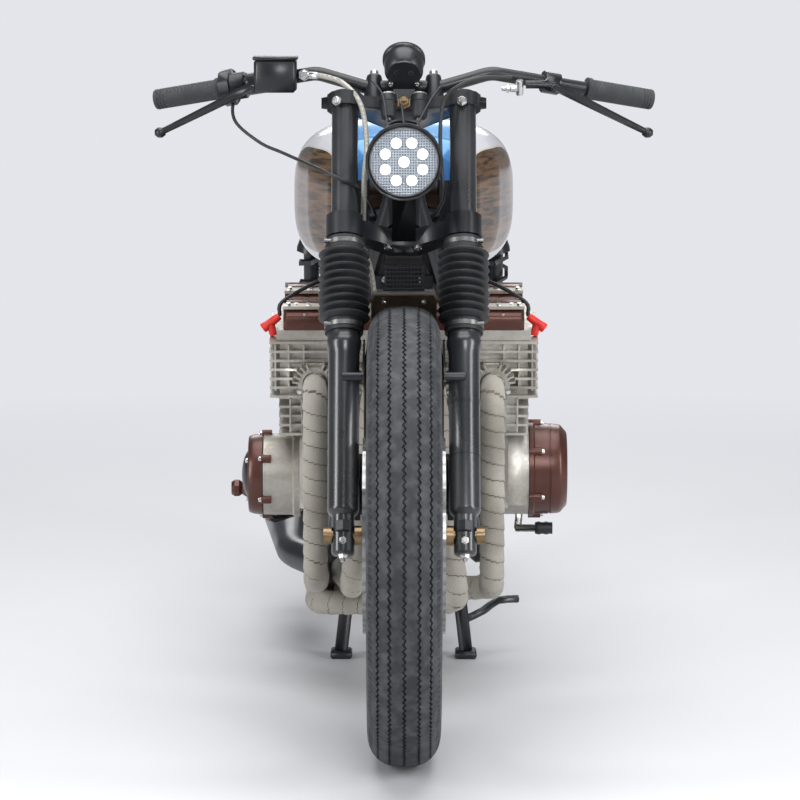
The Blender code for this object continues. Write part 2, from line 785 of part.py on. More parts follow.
def make_rear_wheel(body):
    rim = make_rim(REAR_AXLE, REAR_BEAD_RADIUS)
    bore = AXLE_RADIUS + PIN_CLEARANCE
    drum = turned_ring(REAR_AXLE, X_AXIS, [
        (-DRUM_WIDTH, bore),
        (-DRUM_WIDTH, DRUM_RADIUS),
        (-HUB_FLANGE_THICKNESS, DRUM_RADIUS),
        (0, HUB_RADIUS),
        (HUB_FLANGE_X, HUB_RADIUS),
        (HUB_FLANGE_X, DRUM_RADIUS - HUB_FLANGE_RADIUS / 4),
        (DRUM_WIDTH, DRUM_RADIUS - HUB_FLANGE_RADIUS / 4),
        (DRUM_WIDTH, HUB_FLANGE_RADIUS),
        (CHAIN_X, HUB_FLANGE_RADIUS),
        (CHAIN_X, bore),
    ], DRUM_SIDES)
    spokes = make_spokes(REAR_AXLE, REAR_BEAD_RADIUS, DRUM_RADIUS - HUB_FLANGE_RADIUS / 4, HUB_FLANGE_X + 0.005)
    driven = sprocket(REAR_AXLE + X_AXIS * CHAIN_X, REAR_SPROCKET_TEETH, HUB_RADIUS, SPROCKET_THICKNESS)
    add_piece("rear_wheel", joined(rim, drum, *spokes, driven), CAST_ALLOY, body)
    tyre = make_tyre(REAR_AXLE, REAR_TYRE_RADIUS, REAR_TYRE_HALF_WIDTH, REAR_BEAD_RADIUS)
    add_piece("rear_tyre", tyre, TYRE_RUBBER, body)


# Front axle, fork and yokes


def make_front_axle(body):
    """The axle with the bronze spacers that hold the wheel between the legs."""
    leg_inner = FORK_LEG_X - AXLE_LUG_RADIUS
    seat = leg_inner - FACE_GAP
    inner = FRONT_HUB_END + PIN_CLEARANCE
    end = FORK_LEG_X + AXLE_LUG_RADIUS + AXLE_NUT
    nut = FORK_LEG_X + AXLE_LUG_RADIUS + FACE_GAP
    half = [
        (inner, AXLE_RADIUS),
        (inner, AXLE_SPACER_RADIUS),
        (seat, AXLE_SPACER_RADIUS),
        (seat, AXLE_RADIUS),
        (nut, AXLE_RADIUS),
        (nut, AXLE_SPACER_RADIUS * AXLE_NUT_SHARE),
        (end, AXLE_SPACER_RADIUS * AXLE_NUT_SHARE),
    ]
    profile = [(-x, radius) for x, radius in reversed(half)] + half
    add_piece("front_axle", turned(FRONT_AXLE, X_AXIS, profile, HUB_SIDES), BRONZE, body)


def make_fork_leg(name, side, body):
    """A lower leg with its axle lug, and the covered upper tube that runs through both yokes."""
    x = side * FORK_LEG_X
    top = UPPER_YOKE_BOTTOM + UPPER_YOKE_THICKNESS + FORK_CAP_HEIGHT
    taper = LOWER_LEG_RADIUS - AXLE_LUG_RADIUS
    profile = [
        (-AXLE_LUG_DROP, AXLE_LUG_RADIUS),
        (AXLE_LUG_DROP, AXLE_LUG_RADIUS),
        (AXLE_LUG_DROP + taper, LOWER_LEG_RADIUS),
        (LOWER_LEG_TOP, LOWER_LEG_RADIUS),
        (LOWER_LEG_TOP, FORK_COVER_RADIUS),
        (top, FORK_COVER_RADIUS),
    ]
    leg = turned(on_fork(x, 0), FORK_AXIS, profile, LEG_SIDES)
    hole = cylinder(
        on_fork(x - side * LOWER_LEG_RADIUS * 2, 0), on_fork(x + side * LOWER_LEG_RADIUS * 2, 0),
        AXLE_RADIUS + FACE_GAP, HUB_SIDES,
    )
    add_piece(name, cut(leg, hole), FORK_BLACK, body)


def make_gaiter(name, side, body):
    """A rubber bellows over the fork tube, with a plain cuff at each end."""
    start = LOWER_LEG_TOP + FACE_GAP
    bore = FORK_COVER_RADIUS + FACE_GAP
    bellows = GAITER_TOP - start - GAITER_CUFF * 2
    pitch = bellows / GAITER_BELLOWS
    profile = [(start, bore), (start, GAITER_CUFF_RADIUS), (start + GAITER_CUFF, GAITER_CUFF_RADIUS)]
    for i in range(GAITER_BELLOWS):
        fold = start + GAITER_CUFF + pitch * i
        profile.append((fold + pitch * GAITER_FOLD_SHARE, GAITER_RADIUS))
        profile.append((fold + pitch, GAITER_VALLEY_RADIUS))
    profile += [(GAITER_TOP, GAITER_VALLEY_RADIUS), (GAITER_TOP, bore)]
    ring = turned_ring(on_fork(side * FORK_LEG_X, 0), FORK_AXIS, profile, LEG_SIDES)
    add_piece(name, ring, RUBBER, body)


def clamp_bores(low, high, x, back, radius):
    return [
        cylinder(on_fork(side * x, low, back), on_fork(side * x, high, back), radius, LEG_SIDES)
        for side in SIDES.values()
    ]


def yoke_plate(bottom, thickness, outline):
    """A plate across both fork legs, from (x, back) points of its left half."""
    half = [on_fork(x, bottom, back) for x, back in outline]
    other = [on_fork(-x, bottom, back) for x, back in reversed(outline)]
    return slab(half + other, FORK_AXIS * thickness)


def make_lower_yoke(body):
    """The lower triple clamp with the steering stem that rises through the head tube."""
    bottom = LOWER_YOKE_BOTTOM
    top = bottom + LOWER_YOKE_THICKNESS
    arms = yoke_plate(bottom + YOKE_RELIEF, LOWER_YOKE_THICKNESS - YOKE_RELIEF * 2, [
        (YOKE_BOSS_X, FORK_OFFSET - YOKE_BOSS_X),
        (FORK_LEG_X, -YOKE_CLAMP_RADIUS * YOKE_ARM_SHARE),
        (FORK_LEG_X, YOKE_CLAMP_RADIUS * YOKE_ARM_SHARE),
        (YOKE_BOSS_X, FORK_OFFSET + YOKE_BOSS_X),
    ])
    clamps = clamp_bores(bottom, top, FORK_LEG_X, 0, YOKE_CLAMP_RADIUS)
    stem_top = UPPER_YOKE_BOTTOM - FACE_GAP
    stem = cylinder(on_fork(0, bottom, FORK_OFFSET), on_fork(0, stem_top, FORK_OFFSET), STEM_RADIUS, LEG_SIDES)
    tubes = clamp_bores(bottom - OVERLAP, top + OVERLAP, FORK_LEG_X, 0, FORK_COVER_RADIUS + FACE_GAP)
    add_piece("lower_yoke", cut(joined(arms, *clamps, stem), *tubes), SATIN_BLACK, body)


def make_upper_yoke(body):
    """The upper triple clamp with its pinch lugs and the nut of the steering stem."""
    bottom = UPPER_YOKE_BOTTOM
    top = bottom + UPPER_YOKE_THICKNESS
    plate = yoke_plate(bottom + UPPER_PLATE_RELIEF, UPPER_YOKE_THICKNESS - UPPER_PLATE_RELIEF * 2, [
        (YOKE_BOSS_X, UPPER_YOKE_FRONT),
        (FORK_LEG_X, -YOKE_CLAMP_RADIUS * YOKE_ARM_SHARE),
        (YOKE_EAR_X, 0),
        (FORK_LEG_X, YOKE_CLAMP_RADIUS * YOKE_ARM_SHARE),
        (YOKE_BOSS_X, FORK_OFFSET + YOKE_BOSS_X),
    ])
    clamps = clamp_bores(bottom, top, FORK_LEG_X, 0, YOKE_CLAMP_RADIUS)
    nut_foot = on_fork(0, top - UPPER_PLATE_RELIEF - OVERLAP, FORK_OFFSET)
    nut = cylinder(nut_foot, on_fork(0, top + STEM_NUT, FORK_OFFSET), STEM_RADIUS, 6)
    tubes = clamp_bores(bottom - OVERLAP, top + OVERLAP, FORK_LEG_X, 0, FORK_COVER_RADIUS + FACE_GAP)
    add_piece("upper_yoke", cut(joined(plate, *clamps, nut), *tubes), SATIN_BLACK, body)


# Handlebar and controls


def bar_route():
    """The handlebar's centre line from its middle to the left end."""
    clamp = on_fork(0, UPPER_YOKE_BOTTOM + UPPER_YOKE_THICKNESS + BAR_RISE, RISER_BACK)
    corners = [clamp, clamp + X_AXIS * BAR_FLAT, bar_point(BAR_STRAIGHT), bar_point(0)]
    return rounded_route(corners, (BAR_BEND, BAR_BEND))


def bar_point(inward):
    """A point on the straight outer part of the handlebar, this far in from its left end."""
    clamp = on_fork(0, UPPER_YOKE_BOTTOM + UPPER_YOKE_THICKNESS + BAR_RISE, RISER_BACK)
    end = Vector((BAR_HALF_WIDTH, clamp.y + BAR_PULL_BACK, clamp.z - BAR_END_DROP))
    return end - BAR_END_DIRECTION * inward


def whole_bar(radius):
    """The bar as one bent tube, also used a little thicker to cut what is clamped on it."""
    left = bar_route()
    right = [Vector((-point.x, point.y, point.z)) for point in reversed(left[1:])]
    return tube(right + left, radius, BAR_SIDES)


def on_side(point, side):
    return Vector((point.x * side, point.y, point.z))


def make_handlebar(body):
    """The bent bar with the two tapered risers that hold it on the upper yoke."""
    base = UPPER_YOKE_BOTTOM + UPPER_YOKE_THICKNESS - UPPER_PLATE_RELIEF + FACE_GAP
    risers = [
        turned(on_fork(side * BAR_CLAMP_X, base, RISER_BACK), FORK_AXIS, [
            (0, RISER_RADIUS),
            (RISER_HEIGHT * 0.7, RISER_RADIUS * 0.9),
            (RISER_HEIGHT, RISER_TOP_RADIUS),
        ], 10)
        for side in SIDES.values()
    ]
    add_piece("handlebar", joined(whole_bar(BAR_RADIUS), *risers), SATIN_BLACK, body)


def make_grip(name, side, body):
    """A rubber grip with a blind bore over the end of the bar."""
    inner = on_side(bar_point(GRIP_LENGTH - GRIP_END), side)
    outward = on_side(bar_point(0) - bar_point(1), side)
    profile = [
        (GRIP_LENGTH - GRIP_END + FACE_GAP, bore_over(BAR_RADIUS, HUB_SIDES)),
        (0, bore_over(BAR_RADIUS, HUB_SIDES)),
        (0, GRIP_RADIUS * 1.1),
        (GRIP_END, GRIP_RADIUS * 1.1),
        (GRIP_END, GRIP_RADIUS),
        (GRIP_LENGTH - GRIP_END, GRIP_RADIUS),
        (GRIP_LENGTH, GRIP_RADIUS * 0.85),
    ]
    add_piece(name, turned(inner, outward, profile, HUB_SIDES), RUBBER, body)


def ring_on_bar(side, inward, width, radius):
    """A solid collar round the straight outer part of the bar, before its bore is cut."""
    start = on_side(bar_point(inward), side)
    end = on_side(bar_point(inward + width), side)
    return cylinder(start, end, radius, HUB_SIDES)


def lever_blade(side):
    """A hand lever in front of its grip, tapering to a ball."""
    pivot = bar_point(LEVER_PIVOT_INWARD) + Vector((0, -LEVER_REACH, 0))
    ball = bar_point(LEVER_BALL_INWARD) + Vector((0, -LEVER_REACH, -LEVER_DROP))
    middle = pivot.lerp(ball, 0.45) + Vector((0, -LEVER_REACH / 3, 0))
    route = [on_side(point, side) for point in smooth_route([pivot, middle, ball], 2)]
    radii = [LEVER_RADIUS * (1.25 - 0.45 * i / (len(route) - 1)) for i in range(len(route))]
    blade = tube(route, LEVER_RADIUS, 6, radii)
    end = on_side(ball, side)
    knob = turned(end - X_AXIS * side * LEVER_BALL_RADIUS, X_AXIS * side, [
        (0, LEVER_BALL_RADIUS * 0.5),
        (LEVER_BALL_RADIUS * 0.6, LEVER_BALL_RADIUS),
        (LEVER_BALL_RADIUS * 1.4, LEVER_BALL_RADIUS),
        (LEVER_BALL_RADIUS * 2, LEVER_BALL_RADIUS * 0.5),
    ], 8)
    return blade, knob, on_side(pivot, side)


def perch(side):
    """The clamp round the bar with the arm that carries the lever's pivot."""
    ring = ring_on_bar(side, LEVER_PIVOT_INWARD - PERCH_WIDTH / 2, PERCH_WIDTH, PERCH_RADIUS)
    on_bar = on_side(bar_point(LEVER_PIVOT_INWARD), side)
    pivot = on_bar + Vector((0, -LEVER_REACH, 0))
    arm = cylinder(on_bar, pivot + FORWARD * LEVER_RADIUS, PERCH_WIDTH * 0.45, 8)
    return ring, arm


def make_clutch_lever(body):
    blade, knob, pivot = lever_blade(1)
    ring, arm = perch(1)
    adjuster = cylinder(pivot, pivot - X_AXIS * ADJUSTER_LENGTH, LEVER_RADIUS * 1.1, 8)
    lever = cut(joined(ring, arm, blade, knob, adjuster), whole_bar(BAR_RADIUS + FACE_GAP))
    add_piece("clutch_lever", lever, SATIN_BLACK, body)


def make_brake_lever(body):
    """The front brake lever with its master cylinder and square reservoir."""
    blade, knob, pivot = lever_blade(-1)
    ring, arm = perch(-1)
    low = pivot + Vector((-RESERVOIR_WIDTH * 0.05, -RESERVOIR_DEPTH * 0.35, -LEVER_RADIUS * 2))
    high = low + Vector((RESERVOIR_WIDTH, RESERVOIR_DEPTH, RESERVOIR_HEIGHT))
    tank = bevelled(box(low, high), RESERVOIR_BEVEL)
    lid_low = Vector((low.x - RESERVOIR_LIP, low.y - RESERVOIR_LIP, high.z - RESERVOIR_LIP))
    lid_high = Vector((high.x + RESERVOIR_LIP, high.y + RESERVOIR_LIP, high.z + RESERVOIR_LIP * 2))
    lid = bevelled(box(lid_low, lid_high), RESERVOIR_LIP)
    lever = joined(ring, arm, blade, knob, tank, lid)
    add_piece("brake_lever", cut(lever, whole_bar(BAR_RADIUS + FACE_GAP)), SATIN_BLACK, body)


def make_throttle_housing(body):
    start = GRIP_LENGTH + FACE_GAP
    ring = ring_on_bar(-1, start, HOUSING_WIDTH, HOUSING_RADIUS)
    barrel = ring_on_bar(-1, start + HOUSING_WIDTH - OVERLAP, HOUSING_BARREL, PERCH_RADIUS * 1.2)
    housing = cut(joined(ring, barrel), whole_bar(BAR_RADIUS + FACE_GAP))
    add_piece("throttle_housing", housing, SATIN_BLACK, body)


# Headlight, speedometer, front fender and calipers


def make_headlight(body):
    """A short shell on a bracket from the lower yoke, with a lens plate in its open front."""
    face = spot(0, HEADLIGHT_DEPTH, HEADLIGHT_HEIGHT)
    rearward = -FORWARD
    shell = turned(face, rearward, [
        (LENS_THICKNESS + FACE_GAP, HEADLIGHT_RADIUS - RIM_LIP),
        (0, HEADLIGHT_RADIUS - RIM_LIP),
        (0, HEADLIGHT_RADIUS + RIM_LIP),
        (LENS_THICKNESS * 2, HEADLIGHT_RADIUS + RIM_LIP),
        (LENS_THICKNESS * 2, HEADLIGHT_RADIUS),
        (HEADLIGHT_SHELL_LENGTH * 0.6, HEADLIGHT_RADIUS * 0.9),
        (HEADLIGHT_SHELL_LENGTH, HEADLIGHT_RADIUS * 0.5),
    ], HEADLIGHT_SIDES)
    yoke_front = on_fork(0, LOWER_YOKE_BOTTOM + LOWER_YOKE_THICKNESS / 2, FORK_OFFSET - YOKE_BOSS_X)
    hanger = face + rearward * HEADLIGHT_SHELL_LENGTH * 0.7
    foot = yoke_front - FORK_BACK * FACE_GAP - X_AXIS * HEADLIGHT_STAY_X
    corner = hanger - X_AXIS * HEADLIGHT_STAY_X
    stay = slab([
        corner,
        foot - FORK_AXIS * HEADLIGHT_STAY_X / 2,
        foot + FORK_AXIS * HEADLIGHT_STAY_X / 2,
        corner + rearward * HEADLIGHT_STAY_X,
    ], X_AXIS * HEADLIGHT_STAY_X * 2)
    add_piece("headlight_shell", joined(shell, stay), SATIN_BLACK, body)
    lens = turned(face, rearward, [
        (-LENS_THICKNESS * 0.3, HEADLIGHT_RADIUS * 0.75),
        (0, HEADLIGHT_RADIUS - RIM_LIP - FACE_GAP),
        (LENS_THICKNESS, HEADLIGHT_RADIUS - RIM_LIP - FACE_GAP),
    ], HEADLIGHT_SIDES)
    add_piece("headlight_lens", lens, LAMP_GLASS, body)


def make_speedometer(body):
    """A small round dial tilted up to the rider, on a stalk from the upper yoke."""
    centre = spot(0, SPEEDOMETER_DEPTH, SPEEDOMETER_HEIGHT)
    facing = Vector((0, math.cos(SPEEDOMETER_TILT), math.sin(SPEEDOMETER_TILT)))
    can = turned(centre - facing * SPEEDOMETER_LENGTH / 2, facing, [
        (0, SPEEDOMETER_RADIUS * 0.72),
        (SPEEDOMETER_LENGTH * 0.2, SPEEDOMETER_RADIUS * 0.9),
        (SPEEDOMETER_LENGTH * 0.8, SPEEDOMETER_RADIUS * 0.94),
        (SPEEDOMETER_LENGTH * 0.8, SPEEDOMETER_RADIUS),
        (SPEEDOMETER_LENGTH, SPEEDOMETER_RADIUS),
    ], 18)
    plate_top = UPPER_YOKE_BOTTOM + UPPER_YOKE_THICKNESS - UPPER_PLATE_RELIEF
    base = on_fork(0, plate_top + FACE_GAP, SPEEDOMETER_STAY_BACK)
    stay = slab([
        base + Vector((-SPEEDOMETER_STAY_X, 0, 0)),
        base + Vector((SPEEDOMETER_STAY_X, 0, 0)),
        centre + Vector((SPEEDOMETER_STAY_X * 1.6, 0, 0)),
        centre + Vector((-SPEEDOMETER_STAY_X * 1.6, 0, 0)),
    ], FORK_BACK * FENDER_SHEET)
    add_piece("speedometer", joined(can, stay), SATIN_BLACK, body)


def fender_point(centre, x, radius, angle):
    """A point over a wheel: the angle runs rearward from straight above its axle."""
    return centre + Vector((x, radius * math.sin(angle), radius * math.cos(angle)))


def arch(centre, radius, half_at, start, end, steps, drop):
    """A curved sheet over a wheel, with turned-down edges. half_at gives its half width at an angle."""
    rings = []
    for i in range(steps + 1):
        share = i / steps
        angle = start + (end - start) * share
        half = half_at(angle)
        inner = [(-half, -drop), (-half * 0.92, 0), (half * 0.92, 0), (half, -drop)]
        outer = [(half + FENDER_SHEET, -drop), (half * 0.92 + FENDER_SHEET, FENDER_SHEET)]
        outer += [(-x, lift) for x, lift in reversed(outer)]
        rings.append([fender_point(centre, x, radius + lift, angle) for x, lift in inner + outer])
    return loft(rings)


def front_fender_half(angle):
    """The front fender's half width: narrow between the gaiters, then flared to its stays."""
    share = (angle - FENDER_FLARE_START) / (FENDER_FLARE_END - FENDER_FLARE_START)
    flare = FENDER_STAY_X - FRONT_FENDER_HALF_WIDTH
    return FRONT_FENDER_HALF_WIDTH - FENDER_SHEET + flare * min(max(share, 0), 1)


def make_front_fender(body):
    """A narrow arch behind the gaiters, held by stays at bosses on the lower legs."""
    radius = FRONT_TYRE_RADIUS + FRONT_FENDER_CLEARANCE
    sheet = arch(FRONT_AXLE, radius, front_fender_half, FENDER_START, FENDER_END, 10, FENDER_LIP)
    pieces = []
    for side in SIDES.values():
        inner = side * (FENDER_STAY_X - FENDER_SHEET)
        corners = [
            (FENDER_BOSS_ALONG - FENDER_BOSS_RADIUS, RAKE - FENDER_STAY_SPREAD / 3),
            (FENDER_BOSS_ALONG + FENDER_BOSS_RADIUS, RAKE - FENDER_STAY_SPREAD / 3),
            (radius - FENDER_LIP / 2, FENDER_STAY_START),
            (radius - FENDER_LIP / 2, FENDER_STAY_START + FENDER_STAY_SPREAD),
        ]
        outline = [fender_point(FRONT_AXLE, inner, r, a) for r, a in corners]
        pieces.append(slab(outline, X_AXIS * side * FENDER_SHEET))
        boss = on_fork(0, FENDER_BOSS_ALONG)
        leg_face = FORK_LEG_X - LOWER_LEG_FLAT - FACE_GAP
        pieces.append(cylinder(
            boss + X_AXIS * side * (FENDER_STAY_X - FENDER_SHEET / 2),
            boss + X_AXIS * side * leg_face,
            FENDER_BOSS_RADIUS * 0.7,
            10,
        ))
    add_piece("front_fender", joined(sheet, *pieces), SATIN_BLACK, body)


def polar_on_fork(x, radius, angle):
    """A point round the front axle: the angle runs rearward from the line of the fork legs."""
    return on_fork(x, radius * math.cos(angle), radius * math.sin(angle))


def make_caliper(name, side, body):
    """A brake caliper behind its fork leg, astride the disc."""
    angles = [CALIPER_START + (CALIPER_END - CALIPER_START) * i / 4 for i in range(5)]
    outer_arc = [polar_on_fork(0, DISC_RADIUS + CALIPER_RISE, angle) for angle in angles]
    inner_arc = [polar_on_fork(0, DISC_RADIUS - CALIPER_BITE, angle) for angle in reversed(angles)]
    half = DISC_THICKNESS / 2 + MOVING_CLEARANCE
    inner = DISC_X - half - CALIPER_WALL
    outer = DISC_X + half + CALIPER_WALL
    shell = slab([point + X_AXIS * side * inner for point in outer_arc + inner_arc], X_AXIS * side * (outer - inner))
    slot = turned_ring(FRONT_AXLE, X_AXIS, [
        (side * DISC_X - half, DISC_INNER_RADIUS / 2),
        (side * DISC_X - half, DISC_RADIUS + MOVING_CLEARANCE),
        (side * DISC_X + half, DISC_RADIUS + MOVING_CLEARANCE),
        (side * DISC_X + half, DISC_INNER_RADIUS / 2),
    ], DISC_SIDES)
    leg_face = LOWER_LEG_FLAT + FACE_GAP
    lug_x = DISC_X + half + OVERLAP
    middle = math.cos(CALIPER_START) * DISC_RADIUS
    lug = slab([
        on_fork(side * lug_x, middle - CALIPER_LUG * 2, leg_face),
        on_fork(side * lug_x, middle, leg_face),
        on_fork(side * lug_x, middle - CALIPER_LUG, leg_face + CALIPER_LUG * 2),
        on_fork(side * lug_x, middle - CALIPER_LUG * 3, leg_face + CALIPER_LUG * 2),
    ], X_AXIS * side * (FORK_LEG_X - lug_x))
    add_piece(name, cut(joined(shell, lug), slot), SATIN_BLACK, body)


# Cables and hoses


# Frame, swingarm, shock absorbers and stand


def head_tube_end(share):
    """A point on the steering axis, from the head tube's lower end at 0 to its upper end at 1."""
    low = LOWER_YOKE_BOTTOM + LOWER_YOKE_THICKNESS + HEAD_TUBE_CLEARANCE
    high = UPPER_YOKE_BOTTOM - HEAD_TUBE_CLEARANCE
    return on_fork(0, low + (high - low) * share, FORK_OFFSET)


def backbone_height(depth):
    """The height of the backbone's centre line at a distance behind the front axle."""
    start = head_tube_end(0.5)
    start_depth = start.y - FRONT_AXLE_Y
    share = (depth - start_depth) / (BACKBONE_END_DEPTH - start_depth)
    return start.z + (BACKBONE_END_HEIGHT - start.z) * share


def nearest_on_backbone(point):
    """The point of the backbone's centre line that is nearest to another point."""
    start = head_tube_end(0.5)
    along = (spot(0, BACKBONE_END_DEPTH, BACKBONE_END_HEIGHT) - start).normalized()
    return start + along * (point - start).dot(along)


def make_frame(body):
    """The double cradle: head tube, backbone, down tubes, cradle rails, uprights and the looped seat rails."""
    head_low = head_tube_end(0)
    head_high = head_tube_end(1)
    head_tube = cylinder(head_low, head_high, HEAD_TUBE_RADIUS, LEG_SIDES)
    head_bore = cylinder(
        head_low - FORK_AXIS * HEAD_TUBE_CLEARANCE, head_high + FORK_AXIS * HEAD_TUBE_CLEARANCE,
        STEM_RADIUS + PIN_CLEARANCE, LEG_SIDES,
    )
    backbone = cylinder(
        head_low.lerp(head_high, 0.5), spot(0, BACKBONE_END_DEPTH, BACKBONE_END_HEIGHT), BACKBONE_RADIUS,
        BACKBONE_SIDES,
    )
    down_route = rounded_route([
        head_low.lerp(head_high, DOWN_TUBE_START) + X_AXIS * HEAD_TUBE_RADIUS * DOWN_TUBE_SPREAD,
        spot(DOWN_TUBE_PORT_X, *DOWN_TUBE_UPPER),
        spot(DOWN_TUBE_PORT_X + DOWN_TUBE_FLARE, *DOWN_TUBE_LOWER),
        spot(CRADLE_X, CRADLE_FRONT_DEPTH, CRADLE_HEIGHT),
        spot(CRADLE_X, UPRIGHT_DEPTH + 0.005, CRADLE_HEIGHT),
        spot(SEAT_RAIL_X - 0.005, UPRIGHT_DEPTH - 0.050, SEAT_RAIL_HEIGHT),
    ], DOWN_TUBE_BENDS)
    down_tubes = [tube(route, FRAME_TUBE_RADIUS, FRAME_TUBE_SIDES) for route in both_sides(down_route)]
    loop = rounded_route([
        spot(BACKBONE_RADIUS * 0.6, BACKBONE_END_DEPTH - 0.065, BACKBONE_END_HEIGHT + 0.008),
        spot(SEAT_RAIL_X, BACKBONE_END_DEPTH + 0.010, SEAT_RAIL_HEIGHT),
        spot(SEAT_RAIL_X, REAR_LOOP_DEPTH, SEAT_RAIL_HEIGHT),
        spot(0, REAR_LOOP_DEPTH, SEAT_RAIL_HEIGHT),
    ], (0.04, 0.09), 3)
    around = loop + [Vector((-point.x, point.y, point.z)) for point in reversed(loop[:-1])]
    rails = tube(around, SEAT_TUBE_RADIUS, FRAME_TUBE_SIDES)
    pieces = [backbone, *down_tubes, rails, *frame_bosses(), *frame_cross_tubes(), *frame_plates()]
    add_piece("frame", cut(joined(head_tube, *pieces), head_bore), SATIN_BLACK, body)


def frame_cross_tubes():
    """The stand's shaft and the tube under the seat, from side to side."""
    return [
        cylinder(spot(-CRADLE_X, depth, height), spot(CRADLE_X, depth, height), radius, PIN_SIDES)
        for depth, height, radius in (
            (STAND_DEPTH, STAND_HEIGHT, STAND_SHAFT_RADIUS),
            (UPRIGHT_DEPTH - 0.040, CROSS_TUBE_HEIGHT, SEAT_TUBE_RADIUS),
        )
    ]


def frame_bosses():
    """Bosses along X on both sides: swingarm pivot, stand lugs, shock mounts and peg mounts."""
    stand_inner = STAND_SLEEVE_X + STAND_SLEEVE_WIDTH / 2 + MOVING_CLEARANCE
    bosses = []
    for side in SIDES.values():
        for inner, outer, depth, height, radius in (
            (SWINGARM_PIVOT_HALF + FACE_GAP, CRADLE_X + 0.018, SWINGARM_DEPTH, SWINGARM_HEIGHT, 0.026),
            (stand_inner, CRADLE_X + 0.006, STAND_DEPTH, STAND_HEIGHT, 0.022),
            (SEAT_RAIL_X, SHOCK_X + SHOCK_EYE_WIDTH / 2 + 0.006, SHOCK_TOP_DEPTH, SHOCK_TOP_HEIGHT, SHOCK_PIN_RADIUS),
            (SEAT_RAIL_X, SHOCK_X - SHOCK_EYE_WIDTH / 2 - FACE_GAP, SHOCK_TOP_DEPTH, SHOCK_TOP_HEIGHT, SHOCK_EYE_RADIUS * 0.75),
            (CRADLE_X, PEG_MOUNT_X, PEG_DEPTH, PEG_HEIGHT, PEG_RADIUS),
        ):
            start = spot(side * inner, depth, height)
            bosses.append(cylinder(start, spot(side * outer, depth, height), radius, PIN_SIDES))
    pedal = spot(-CRADLE_X, PEG_DEPTH, PEDAL_PIVOT_HEIGHT)
    bosses.append(cylinder(pedal, spot(-PEG_MOUNT_X, PEG_DEPTH, PEDAL_PIVOT_HEIGHT), SHOCK_PIN_RADIUS, PIN_SIDES))
    return bosses


def frame_plates():
    """Flat brackets: peg plates, engine mounts, shock gussets, the plate between the down tubes and the tank pads."""
    plates = []
    for side in SIDES.values():
        peg = [(-0.040, CRADLE_HEIGHT), (0.030, CRADLE_HEIGHT), (0.016, PEG_HEIGHT + 0.012), (-0.016, PEG_HEIGHT + 0.012)]
        plates.append(slab(
            [spot(side * (CRADLE_X - 0.004), PEG_DEPTH + back, height) for back, height in peg], X_AXIS * side * 0.008
        ))
        inner = side * (CASE_LOWER_HALF_WIDTH + FACE_GAP)
        mount = [(-0.020, CRADLE_HEIGHT), (0.020, CRADLE_HEIGHT), (0.014, ENGINE_MOUNT_TOP), (-0.014, ENGINE_MOUNT_TOP)]
        plates.append(slab(
            [spot(inner, ENGINE_MOUNT_DEPTH + back, height) for back, height in mount],
            X_AXIS * side * (CRADLE_X - CASE_LOWER_HALF_WIDTH),
        ))
        gusset = [(-0.030, SEAT_RAIL_HEIGHT), (0.030, SEAT_RAIL_HEIGHT), (0.010, SHOCK_TOP_HEIGHT - 0.014), (-0.010, SHOCK_TOP_HEIGHT - 0.014)]
        plates.append(slab(
            [spot(side * (SEAT_RAIL_X - 0.004), SHOCK_TOP_DEPTH + back, height) for back, height in gusset],
            X_AXIS * side * 0.008,
        ))
    plates.append(box(
        spot(-REGULATOR_HALF_WIDTH * 1.4, REGULATOR_BACK_DEPTH + FACE_GAP, REGULATOR_HEIGHT - 0.010),
        spot(REGULATOR_HALF_WIDTH * 1.4, REGULATOR_BACK_DEPTH + 0.030, REGULATOR_HEIGHT + 0.010),
    ))
    for depth in TANK_PAD_DEPTHS:
        height = backbone_height(depth)
        plates.append(box(
            spot(-0.014, depth - 0.012, height),
            spot(0.014, depth + 0.012, height + BACKBONE_RADIUS + TUNNEL_CLEARANCE - FACE_GAP - 0.003),
        ))
    return plates


def make_swingarm(body):
    """Two arms from the pivot tube to the rear axle, which passes through the wheel's hub."""
    pivot = spot(0, SWINGARM_DEPTH, SWINGARM_HEIGHT)
    half = SWINGARM_PIVOT_HALF
    tube_across = cylinder(pivot - X_AXIS * half, pivot + X_AXIS * half, SWINGARM_BOSS_RADIUS, HUB_SIDES)
    route = rounded_route([
        pivot + X_AXIS * (half - 0.022) + FORWARD * 0.012,
        pivot + X_AXIS * (half - 0.022) - FORWARD * 0.045,
        spot(SWINGARM_X, SWINGARM_DEPTH + 0.165, SWINGARM_HEIGHT - 0.006),
        REAR_AXLE + X_AXIS * SWINGARM_X - FORWARD * 0.045,
    ], (0.08, 0.08))
    squash = SWINGARM_WIDTH / SWINGARM_TUBE_HEIGHT
    arms = [tube(points, SWINGARM_TUBE_HEIGHT / 2, 8, squash=squash) for points in both_sides(route)]
    end = SWINGARM_X + SWINGARM_WIDTH / 2 + AXLE_NUT
    axle = cylinder(REAR_AXLE - X_AXIS * end, REAR_AXLE + X_AXIS * end, AXLE_RADIUS, PIN_SIDES)
    mounts = [
        cylinder(
            spot(side * SWINGARM_X, SHOCK_BOTTOM_DEPTH, SHOCK_BOTTOM_HEIGHT),
            spot(side * (SHOCK_X + SHOCK_EYE_WIDTH / 2 + 0.006), SHOCK_BOTTOM_DEPTH, SHOCK_BOTTOM_HEIGHT),
            SHOCK_PIN_RADIUS, PIN_SIDES,
        )
        for side in SIDES.values()
    ]
    add_piece("swingarm", joined(tube_across, *arms, axle, *mounts, *brake_plate()), SATIN_BLACK, body)


